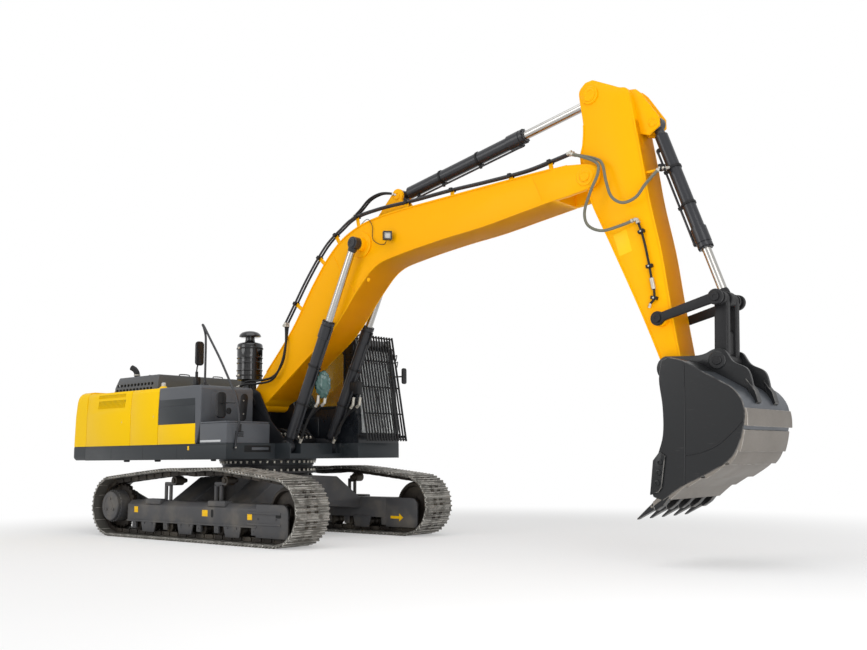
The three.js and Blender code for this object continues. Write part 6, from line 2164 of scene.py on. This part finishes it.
class BuildBucket(bpy.types.Operator):
    """Builds the bucket with its ears, lip, teeth, side cutters and wear strips"""

    bl_idname = "excavator.bucket"
    bl_label = "Bucket"

    def execute(self, context):
        settings = context.scene.excavator_front
        black = "bucket_paint"
        piece = Piece("bucket_weldment")
        bucket_shell(piece, settings)
        bucket_edge(piece, settings)
        ear = [
            (0.377, 0.119), (0.557, 0.174), (0.667, 0.159), (0.757, 0.029), (0.917, -0.071), (0.967, -0.271),
            (0.957, -0.391), (0.757, -0.221), (0.357, -0.001), (0.107, -0.001), (0.037, -0.121)
        ]
        top = smooth_line([bucket_point(p) for p in ((-0.02, 0.135), *ear[:6])], 44)
        outline = top + [bucket_point(p) for p in ear[6:]] + arc(BUCKET_PIN, 0.137, 215, 98, 16)
        for way in (-1, 1):
            piece.add(mark_edges(slab(outline, way, EAR_ROOM, EAR_ROOM + 0.05), 0.006, 2, above=30), black)
            for point in (BUCKET_PIN, LINK_PIN):
                boss = disc(0.098, -0.01, 0.014, 0.008, 0.006)
                piece.add(spun(boss, (point[0], way * 0.262, point[1]), (0, way, 0), 48), black)
                cap = disc(0.052, 0, 0.016, 0.006, 0.004)
                piece.add(spun(cap, (point[0], way * 0.273, point[1]), (0, way, 0), 36), "cast_black")
        for point in (BUCKET_PIN, LINK_PIN):
            piece.add(across(point, -0.27, 0.27, 0.045, 32), "cast_black")
        for way in (-1, 1):
            foot = [(0.9, -0.16), (1.0, -0.3), (1.03, -0.42), (0.99, -0.45), (0.93, -0.3)]
            piece.add(mark_edges(slab([bucket_point(p) for p in foot], way, 0.19, 0.29), 0.006), black)
        piece.ride("bucket_shell", "bucket_black", "bucket")
        return {"FINISHED"}


class BuildLinks(bpy.types.Operator):
    """Forges the two guide links and the bucket link"""

    bl_idname = "excavator.links"
    bl_label = "Bucket linkage"

    def execute(self, context):
        cast = "cast_black"
        guides = Piece("guide_link_pair")
        for way in (-1, 1):
            bar = link_line(GUIDE_PIN, LINK_TOP, 0.052, 0.058)
            guides.add(soften(slab(bar, way, 0.274, 0.318), 0.012, 3), cast)
            for point, radius in ((GUIDE_PIN, 0.082), (LINK_TOP, 0.088)):
                guides.add(
                    spun(drum(radius, 0.024, 0.008), (point[0], way * 0.296, point[1]), (0, 1, 0), 48), cast
                )
                cap = [
                    (0, 0), (0.05, 0), (0.05, 0.014), (0.044, 0.02), (0.02, 0.02), (0.018, 0.016), (0, 0.016)
                ]
                guides.add(spun(cap, (point[0], way * 0.319, point[1]), (0, way, 0), 36), cast)
        guides.add(across(GUIDE_PIN, -0.33, 0.33, 0.044, 32), cast)
        guides.ride("guide", "frame_black", "guide_links")

        link = Piece("bucket_link_weldment")
        for way in (-1, 1):
            side = link_line(LINK_PIN, LINK_TOP, 0.076, 0.074)
            link.add(soften(slab(side, way, 0.078, 0.172), 0.014, 3), cast)
            end = [(0, -0.02), (0.045, -0.02), (0.045, 0.1), (0, 0.1)]
            link.add(spun(end, (LINK_TOP[0], way * 0.17, LINK_TOP[1]), (0, way, 0), 36), cast)
            y = way * 0.172
            collar = disc(0.08, 0, 0.038, 0.01, 0.008)
            link.add(spun(collar, (LINK_TOP[0], y, LINK_TOP[1]), (0, way, 0), 44), cast)
        web = link_line(off(LINK_PIN, 0.0, 0.1), off(LINK_PIN, 0.008, 0.3), 0.055)
        link.add(soften(poly(web, "Y", -0.09, 0.09), 0.012, 3), cast)
        barrel = [
            (0, -0.2117), (0.078, -0.2117), (0.085, -0.204), (0.085, 0.204), (0.078, 0.2117), (0, 0.2117)
        ]
        link.add(spun(barrel, (LINK_PIN[0], 0, LINK_PIN[1]), (0, 1, 0), 48), cast)
        link.ride("link", "frame_black", "bucket_link")
        return {"FINISHED"}


# ---------------------------------------------------------------- cylinders
CYLINDERS = {
    "boom": dict(foot=BOOM_CYLINDER_FOOT, eye=BOOM_EYE, barrel=0.088, rod=0.055, gland=2.02, hold=0.57,
        eye_half=0.058, eye_radius=0.092), "arm": dict(foot=ARM_CYLINDER_FOOT, eye=ARM_HEAD, barrel=0.095,
        rod=0.058, gland=2.25, hold=0.95, eye_half=0.06, eye_radius=0.1),
    "bucket": dict(foot=BUCKET_CYLINDER_FOOT, eye=LINK_TOP, barrel=0.084, rod=0.052, gland=1.68, hold=0.86,
        eye_half=0.06, eye_radius=0.09)
}


def cylinder_pieces(kind, y, suffix, pipe_side):
    """A barrel with its gland, port block and oil pipe, and a chromed rod, each on its body."""
    c = CYLINDERS[kind]
    foot, eye = Vector((c["foot"][0], y, c["foot"][1])), Vector((c["eye"][0], y, c["eye"][1]))
    way = (eye - foot).normalized()
    length = (eye - foot).length
    across_way = way.cross(Vector((0, 1, 0))).normalized()
    out = across_way * pipe_side
    grey, black = "barrel_grey", "cast_black"
    r, shaft = c["barrel"], c["rod"]
    start, gland = c["eye_radius"] + 0.06, c["gland"]
    barrel = Piece(f"{kind}_barrel{suffix}")
    profile = [
        (0, c["eye_radius"] * 0.5), (c["eye_half"] - 0.006, c["eye_radius"] * 0.5),
        (c["eye_half"] - 0.004, start - 0.03), (r - 0.02, start), (r - 0.006, start + 0.012),
        (r - 0.006, gland - 0.27), (r + 0.008, gland - 0.265), (r + 0.008, gland - 0.075),
        (r - 0.002, gland - 0.07), (r - 0.002, gland - 0.06), (r + 0.006, gland - 0.056),
        (r + 0.006, gland - 0.018), (r - 0.002, gland - 0.013), (r - 0.01, gland - 0.012), (r - 0.014, gland),
        (shaft + 0.004, gland), (shaft + 0.002, gland - 0.02), (0, gland - 0.02)
    ]
    barrel.add(spun(profile, foot, way, 48), grey)
    eye_profile = drum(c["eye_radius"], c["eye_half"], 0.008)
    barrel.add(spun(eye_profile, foot, (0, 1, 0), 48), grey)
    for i in range(12):
        turn = Matrix.Rotation(math.tau * i / 12, 3, way)
        barrel.add(
            bolt(foot + way * (gland - 0.013) + turn @ (across_way * (r - 0.004)), way, 0.009, 0.012), black
        )
    pipe_line = r + 0.028
    near, far = foot + way * (start + 0.16), foot + way * (gland - 0.1)
    route = [
        near + out * (r - 0.01), near + out * pipe_line + way * 0.03, near + out * pipe_line + way * 0.09,
        far + out * pipe_line - way * 0.09, far + out * pipe_line - way * 0.03, far + out * (r - 0.01)
    ]
    barrel.add(tube(route, 0.014, 12, 60), grey)
    for share in (0.3, 0.62):
        middle = foot + way * (start + share * (gland - start))
        ring = spun(
            [(r - 0.006, -0.014), (r + 0.005, -0.014), (r + 0.005, 0.014), (r - 0.006, 0.014)], middle, way,
            40, ring=True
        )
        barrel.add(ring, black)
        spot = middle + out * (r + 0.02)
        barrel.add(moved(soft_block(-0.022, 0.022, -0.03, 0.03, -0.018, 0.018, 0.006), aim(spot, way)), black)
    for spot in (near, far):
        barrel.add(rod(spot + out * (r - 0.02), spot + out * (r + 0.02), 0.026, 20), black)
    body = f"{kind}_barrel{suffix}"
    barrel.ride(body, "frame_black", f"{kind}_cylinder_barrel{suffix}")

    ram = Piece(f"{kind}_rod{suffix}")
    chrome = "hard_chrome"
    ram.add(
        rod(foot + way * (gland - c["hold"]), foot + way * (length - c["eye_radius"] - 0.01), shaft, 40),
        chrome
    )
    neck = length - c["eye_radius"]
    collar = [
        (0, neck - 0.04), (shaft + 0.002, neck - 0.04), (shaft + 0.01, neck - 0.02),
        (shaft + 0.014, neck + 0.02), (0, neck + 0.02)
    ]
    rod_paint = "cast_black" if kind == "bucket" else "barrel_grey"
    ram.add(spun(collar, foot, way, 40), rod_paint)
    ram.add(spun(eye_profile, eye, (0, 1, 0), 48), rod_paint)
    for side in (-1, 1):
        if kind == "boom" and side * y > 0:
            cap = [(0, 0), (0.07, 0), (0.07, 0.01), (0.062, 0.016), (0.03, 0.016), (0.028, 0.01), (0, 0.01)]
            ram.add(spun(cap, eye + Vector((0, side * c["eye_half"], 0)), (0, side, 0), 40), rod_paint)
    ram.ride(f"{kind}_rod{suffix}", "rod_chrome", f"{kind}_cylinder_rod{suffix}")


class BuildCylinders(bpy.types.Operator):
    """Turns the four hydraulic cylinders and their rods"""

    bl_idname = "excavator.cylinders"
    bl_label = "Cylinders"

    def execute(self, context):
        cylinder_pieces("boom", -CYLINDER_Y, "_right", -1)
        cylinder_pieces("boom", CYLINDER_Y, "_left", -1)
        cylinder_pieces("arm", 0, "", -1)
        cylinder_pieces("bucket", 0, "", -1)
        return {"FINISHED"}


# ---------------------------------------------------------------- pipes, hoses and small fittings
class LineSettings(bpy.types.PropertyGroup):
    """Sizes of the hydraulic lines."""

    pipe: length_value("Pipe", "Radius of the pipes along the boom", 0.017)
    hose: length_value("Hose", "Radius of the hoses", 0.018)
    gap: length_value("Gap", "Distance between the two pipes along the boom", 0.055)


BOOM_RUN = [
    (0.165, 0.86), (0.21, 1.04), (0.26, 1.24), (0.315, 1.43), (0.36, 1.55), (0.405, 1.6), (0.455, 1.62),
    (0.53, 1.475), (0.62, 1.24), (0.71, 1.02), (0.8, 0.78), (0.89, 0.555), (0.95, 0.45), (0.985, 0.395)
]


def on_line(place, points, y):
    """Points given along a member's line, at one or more distances to the left of the machine."""
    ys = y if isinstance(y, (list, tuple)) else [y] * len(points)
    return [(place(*point)[0], side, place(*point)[1]) for point, side in zip(points, ys)]


def coupling(piece, start, way, radius, length=0.07):
    """A crimped ferrule and its nut at the end of a hose."""
    ferrule = [
        (0, 0), (radius * 1.15, 0), (radius * 1.15, length * 0.5), (radius * 0.9, length * 0.55),
        (radius * 0.9, length * 0.6), (radius * 1.35, length * 0.62), (radius * 1.35, length), (0, length)
    ]
    piece.add(spun(ferrule, start, way, 20), "bright_zinc")


def hose(piece, points, radius, skin="hose_rubber", ends=True, steps=None):
    """A hose along a smooth line, with a coupling at each end."""
    piece.add(tube(points, radius, 12, steps or 12 * (len(points) - 1)), skin)
    if ends:
        coupling(piece, points[0], Vector(points[1]) - Vector(points[0]), radius)
        coupling(piece, points[-1], Vector(points[-2]) - Vector(points[-1]), radius)


def clamp(piece, middle, along, across_way, size):
    """A two-part pipe clamp with its bolt."""
    way = Vector(along).normalized()
    side = Vector(across_way)
    up = way.cross(side).normalized()
    place = Matrix((
        (way.x, side.x, up.x, middle[0]), (way.y, side.y, up.y, middle[1]), (way.z, side.z, up.z, middle[2]),
        (0, 0, 0, 1),
    ))
    long, wide, high = size
    piece.add(moved(soft_block(-long, long, -wide, wide, -high, high, 0.006), place), "cast_black")
    piece.add(moved(bolt((0, 0, high), (0, 0, 1), 0.009, 0.008), place), "bright_zinc")


def bent(piece):
    """Makes a piece an object of its own, with its place baked into its mesh."""
    made = piece.object()
    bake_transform(made)
    return made


class BuildBoomLines(bpy.types.Operator):
    """Runs the two pipes along the boom, with their clamps, the arm cylinder's hoses and the lamp"""

    bl_idname = "excavator.boom_lines"
    bl_label = "Boom lines"

    def execute(self, context):
        settings = context.scene.excavator_lines
        paint, black = "boom_paint", "cast_black"
        first, second = -0.285, -0.285 + settings.gap
        run = Piece("boom_pipes")
        for y in (first, second):
            run.add(tube(on_line(ON_BOOM, BOOM_RUN, y), settings.pipe, 12, 84), "barrel_grey")
        line = smooth_line([ON_BOOM(*p) for p in BOOM_RUN], 130)
        for share in (0.08, 0.24, 0.36, 0.47, 0.6, 0.7, 0.82, 0.92):
            i = int(share * 130)
            spot, way = line[i], (line[i + 1] - line[i - 1]).normalized()
            middle = (spot.x, (first + second) / 2, spot.y)
            clamp(run, middle, (way.x, 0, way.y), (0, 1, 0), (0.026, 0.052, 0.026))
            below = Vector((way.y, -way.x))
            foot = [
                spot + below * 0.02 - way * 0.03, spot + below * 0.02 + way * 0.03,
                spot + below * 0.3 + way * 0.03, spot + below * 0.3 - way * 0.03
            ]
            run.add(
                soften(poly(foot, "Y", (first + second) / 2 - 0.006, (first + second) / 2 + 0.006), 0.002),
                paint
            )
        for i, y in enumerate((first, second)):
            end, before = line[-1], line[-4]
            coupling(run, (end.x, y, end.y), Vector((end.x - before.x, 0, end.y - before.y)), 0.019)
            start, after = line[0], line[3]
            coupling(run, (start.x, y, start.y), Vector((start.x - after.x, 0, start.y - after.y)), 0.019)
        spot = ON_BOOM(0.532, 0.985)
        lamp = soft_block(-0.012, 0.05, -0.064, 0.064, -0.064, 0.064, 0.012, 3)
        lens = soft_block(0.049, 0.054, -0.044, 0.044, -0.044, 0.044, 0.003)
        rim = block(0.045, 0.064, -0.062, 0.062, -0.062, 0.062)
        hole = block(0.02, 0.08, -0.045, 0.045, -0.045, 0.045)
        turn = Matrix.Translation((spot[0], -0.335, spot[1])) @ Matrix.Rotation(math.radians(-38), 4, "Z")
        run.add(moved(lamp, turn), "black_plastic")
        run.add(moved(lens, turn), "lamp_lens")
        run.add(moved(carve(rim, hole), turn), "black_plastic")
        run.add(
            soft_block(spot[0] - 0.03, spot[0] + 0.01, -0.33, -0.275, spot[1] - 0.02, spot[1] + 0.02, 0.004),
            black
        )
        cable = on_line(
            ON_BOOM, [(0.455, 1.5), (0.49, 1.45), (0.497, 1.3), (0.488, 1.13), (0.498, 1.0), (0.515, 0.93),
                (0.53, 0.975)], [-0.2, -0.288, -0.289, -0.289, -0.289, -0.292, -0.325]
        )
        run.add(tube(cable, 0.005, 8, 48), "hose_rubber")
        run.ride("boom_arm", "frame_black")

        feed = Piece("arm_cylinder_hoses")
        for shift in (0, 0.05):
            route = on_line(
                ON_BOOM, [(0.45, 1.63), (0.468, 1.72), (0.497, 1.79), (0.527, 1.77), (0.55, 1.69),
                    (0.565, 1.6)], [first + shift, -0.2 + shift, -0.17 + shift, -0.15 + shift, -0.13 + shift,
                    -0.1 + shift]
            )
            hose(feed, route, settings.hose * 0.9)
        start = on_line(ON_BOOM, [(0.45, 1.63)], 0)[0]
        end = on_line(ON_BOOM, [(0.565, 1.6)], 0)[0]
        bent(feed)
        return {"FINISHED"}


class BuildBoomFootHoses(bpy.types.Operator):
    """Loops the hoses between the upper works and the boom, and wraps the valve under the boom"""

    bl_idname = "excavator.boom_foot_hoses"
    bl_label = "Boom foot hoses"

    def execute(self, context):
        radius = context.scene.excavator_lines.hose
        loop = Piece("boom_foot_hoses")
        start = (-0.22, -0.42, BODY_TOP + 0.02)
        for y, drop in ((0, 0), (-0.05, 0.05)):
            end = on_line(ON_BOOM, [(0.165, 0.86)], -0.285 if y == 0 else -0.23)[0]
            route = [
                (start[0], start[1] + y, start[2]), (-0.05, -0.4 + y, 2.41 - drop),
                (0.2, -0.37 + y, 2.41 - drop), (0.5, -0.34 + y * 0.4, 2.46 - drop),
                (0.7, -0.33 + y * 0.3, 2.66), (0.76, -0.32, 2.95), end
            ]
            hose(loop, route, radius)
        bent(loop)

        axis = between(Vector(BOOM_CYLINDER_FOOT), Vector(BOOM_EYE))
        deck = DECK + 0.02
        for side, name in ((-1, "right"), (1, "left")):
            inner = side * 0.365
            valve = Piece(f"boom_cylinder_valve_{name}")
            body = axis(0.345, -0.24)
            if side < 0:
                blob = bmesh.new()
                bmesh.ops.create_icosphere(blob, subdivisions=4, radius=1)
                for vert in blob.verts:
                    p = vert.co
                    fold = 0.09 * math.sin(7 * p.x + 5 * p.z) * math.sin(6 * p.y - 4 * p.z)
                    fold += 0.06 * math.sin(13 * p.z + 9 * p.y)
                    vert.co = Vector(
                        (p.x * 0.13, p.y * 0.075, p.z * 0.2)
                    ) * (1 + fold) + Vector((body[0], inner, body[1]))
                valve.add(blob, "sheet_wrap")
            else:
                valve.add(
                    soft_block(body[0] - 0.06, body[0] + 0.04, inner - 0.05, inner + 0.06, body[1] - 0.12,
                        body[1] + 0.08, 0.015), "cast_black"
                )
            mount = axis(0.345, -0.135)
            valve.add(
                soft_block(mount[0] - 0.06, body[0], inner - 0.03, inner + 0.03, body[1] - 0.06,
                    body[1] + 0.08, 0.01), "cast_black"
            )
            for y in (-0.04, 0.03):
                top = (body[0] - 0.01 + y, inner + y, body[1] - 0.16)
                valve.add(rod(top, (top[0] - 0.02, top[1], top[2] - 0.12), 0.022, 16), "bright_zinc")
                low = axis(0.045, -0.14 + y)
                middle = axis(0.16, -0.17 + y)
                route = [(top[0] - 0.02, top[1], top[2] - 0.11), (middle[0], inner + y, middle[1]),
                         (low[0], side * 0.34 + y, low[1])]
                hose(valve, route, radius)
            valve.ride(f"boom_barrel_{name}", "frame_black")

        deck_lines = Piece("deck_valve")
        black = "cast_black"
        deck_lines.add(soft_block(0.42, 0.8, -0.27, 0.27, deck - 0.02, deck + 0.06, 0.015), black)
        deck_lines.add(soft_block(0.45, 0.66, -0.22, 0.22, deck + 0.05, deck + 0.1, 0.012), black)
        for i in range(6):
            y = -0.21 + 0.084 * i
            route = [
                (0.46, y, deck + 0.08), (0.44, y, deck + 0.17), (0.56, y + 0.02, deck + 0.2 - 0.02 * (i % 2)),
                (0.72, y + 0.02, deck + 0.12), (0.78, y + 0.01, deck + 0.03)
            ]
            hose(deck_lines, route, radius * 0.9)
        deck_lines.ride("upper", "frame_black")
        return {"FINISHED"}


class BuildArmLines(bpy.types.Operator):
    """Hangs the two wrapped hoses at the boom's tip and clamps the pipe on the arm's side"""

    bl_idname = "excavator.arm_lines"
    bl_label = "Arm lines"

    def execute(self, context):
        settings = context.scene.excavator_lines
        radius = settings.hose
        tip = ON_BOOM(0.989, 0.39)
        side = -0.225
        loop = Piece("arm_hose_to_pipe")
        route = [(tip[0], -0.285, tip[1])]
        route += on_line(
            ON_ARM, [(-0.03, 0.2), (0.035, 0.2), (0.1, 0.02), (0.17, -0.15), (0.235, -0.18), (0.29, -0.06),
                (0.31, 0.15), (0.318, 0.36)], [-0.3, -0.34, -0.36, -0.36, -0.35, -0.32, -0.27, side]
        )
        hose(loop, route, radius, "wrapped_hose", steps=96)
        arm_end = route[-1]
        bent(loop)

        second = Piece("arm_hose_to_cylinder")
        block_end = (ON_ARM(0.152, 0.86)[0], -0.15, ON_ARM(0.152, 0.86)[1])
        route = [(tip[0], -0.285 + settings.gap, tip[1])]
        route += on_line(
            ON_ARM, [(-0.06, 0.18), (0.0, 0.27), (0.09, 0.235), (0.17, 0.22), (0.225, 0.31), (0.235, 0.48),
                (0.2, 0.65)], [-0.24, -0.29, -0.31, -0.31, -0.3, -0.28, -0.25]
        )
        route.append(block_end)
        hose(second, route, radius, "wrapped_hose", steps=96)
        bent(second)

        arm = Piece("arm_pipe")
        run = [
            (0.32, 0.36), (0.37, 0.355), (0.44, 0.33), (0.53, 0.28), (0.6, 0.235), (0.66, 0.2), (0.69, 0.16),
            (0.7, 0.1)
        ]
        arm.add(tube(on_line(ON_ARM, run, side), 0.014, 12, 60), "hose_rubber")
        line = smooth_line([ON_ARM(*p) for p in run], 70)
        for i in (12, 32, 58):
            way = (line[i + 1] - line[i - 1]).normalized()
            clamp(arm, (line[i].x, side + 0.002, line[i].y), (way.x, 0, way.y), Vector((-way.y, 0, way.x)),
                  (0.02, 0.04, 0.026))
        way = (line[46] - line[44]).normalized()
        arm.add(rod((line[40].x, side, line[40].y), (line[48].x, side, line[48].y), 0.026, 20), "bright_zinc")
        coupling(arm, (line[-1].x, side, line[-1].y), (-0.3, 0, -1), 0.014, 0.05)
        coupling(arm, arm_end, (0.4, 0, -1), 0.02, 0.06)
        foot = ON_ARM(0.152, 0.86)
        arm.add(
            soft_block(foot[0] - 0.03, foot[0] + 0.04, -0.175, -0.1, foot[1] - 0.05, foot[1] + 0.03, 0.01),
            "cast_black"
        )
        arm.add(
            soft_block(foot[0] - 0.28, foot[0] - 0.01, -0.16, -0.13, foot[1] - 0.05, foot[1] - 0.02, 0.004),
            "boom_paint"
        )
        arm.ride("stick", "frame_black")

        port = Piece("bucket_cylinder_hose")
        way = (Vector(LINK_TOP) - Vector(BUCKET_CYLINDER_FOOT)).normalized()
        on_barrel = Vector(BUCKET_CYLINDER_FOOT) + way * 0.62
        end = (on_barrel.x - 0.02, -0.1, on_barrel.y)
        route = [
            block_end, (block_end[0] + 0.06, -0.17, block_end[2] - 0.05),
            (end[0] - 0.03, -0.15, end[2] - 0.02), end
        ]
        hose(port, route, radius * 0.85)
        bent(port)
        return {"FINISHED"}


# ---------------------------------------------------------------- the panel, and all together
SETTINGS = {
    "excavator_paint": PaintSettings, "excavator_stage": StageSettings, "excavator_track": TrackSettings,
    "excavator_upper": UpperSettings, "excavator_cab": CabSettings, "excavator_front": FrontSettings,
    "excavator_lines": LineSettings
}
OPERATORS = [
    BuildStage, BuildTracks, BuildRunningGear, BuildCarBody, BuildRevolvingFrame, BuildCounterweight,
    BuildDoors, BuildHood, BuildBay, BuildTanks, BuildToolbox, BuildAirFilter, BuildRail, BuildCab, BuildDoor,
    BuildCabInside, BuildGuard, BuildBoom, BuildArm, BuildBucket, BuildLinks, BuildCylinders, BuildBoomLines,
    BuildBoomFootHoses, BuildArmLines
]


class ExcavatorPanel(bpy.types.Panel):
    """Lists the settings and the pieces in the order in which they are built"""

    bl_idname = "VIEW3D_PT_excavator"
    bl_label = "Crawler excavator"
    bl_space_type = "VIEW_3D"
    bl_region_type = "UI"
    bl_category = "Excavator"

    def draw(self, context):
        for name, settings in SETTINGS.items():
            box = self.layout.box()
            for value in settings.__annotations__:
                box.prop(getattr(context.scene, name), value)
        for operator in OPERATORS:
            self.layout.operator(operator.bl_idname)


def register():
    for name, settings in SETTINGS.items():
        bpy.utils.register_class(settings)
        setattr(bpy.types.Scene, name, bpy.props.PointerProperty(type=settings))
    for made in (*OPERATORS, ExcavatorPanel):
        bpy.utils.register_class(made)


def unregister():
    for made in (*OPERATORS, ExcavatorPanel):
        bpy.utils.unregister_class(made)
    for name, settings in SETTINGS.items():
        delattr(bpy.types.Scene, name)
        bpy.utils.unregister_class(settings)


def main():
    register()
    for operator in OPERATORS:
        family, name = operator.bl_idname.split(".")
        getattr(getattr(bpy.ops, family), name)()


if __name__ == "__main__":
    main()
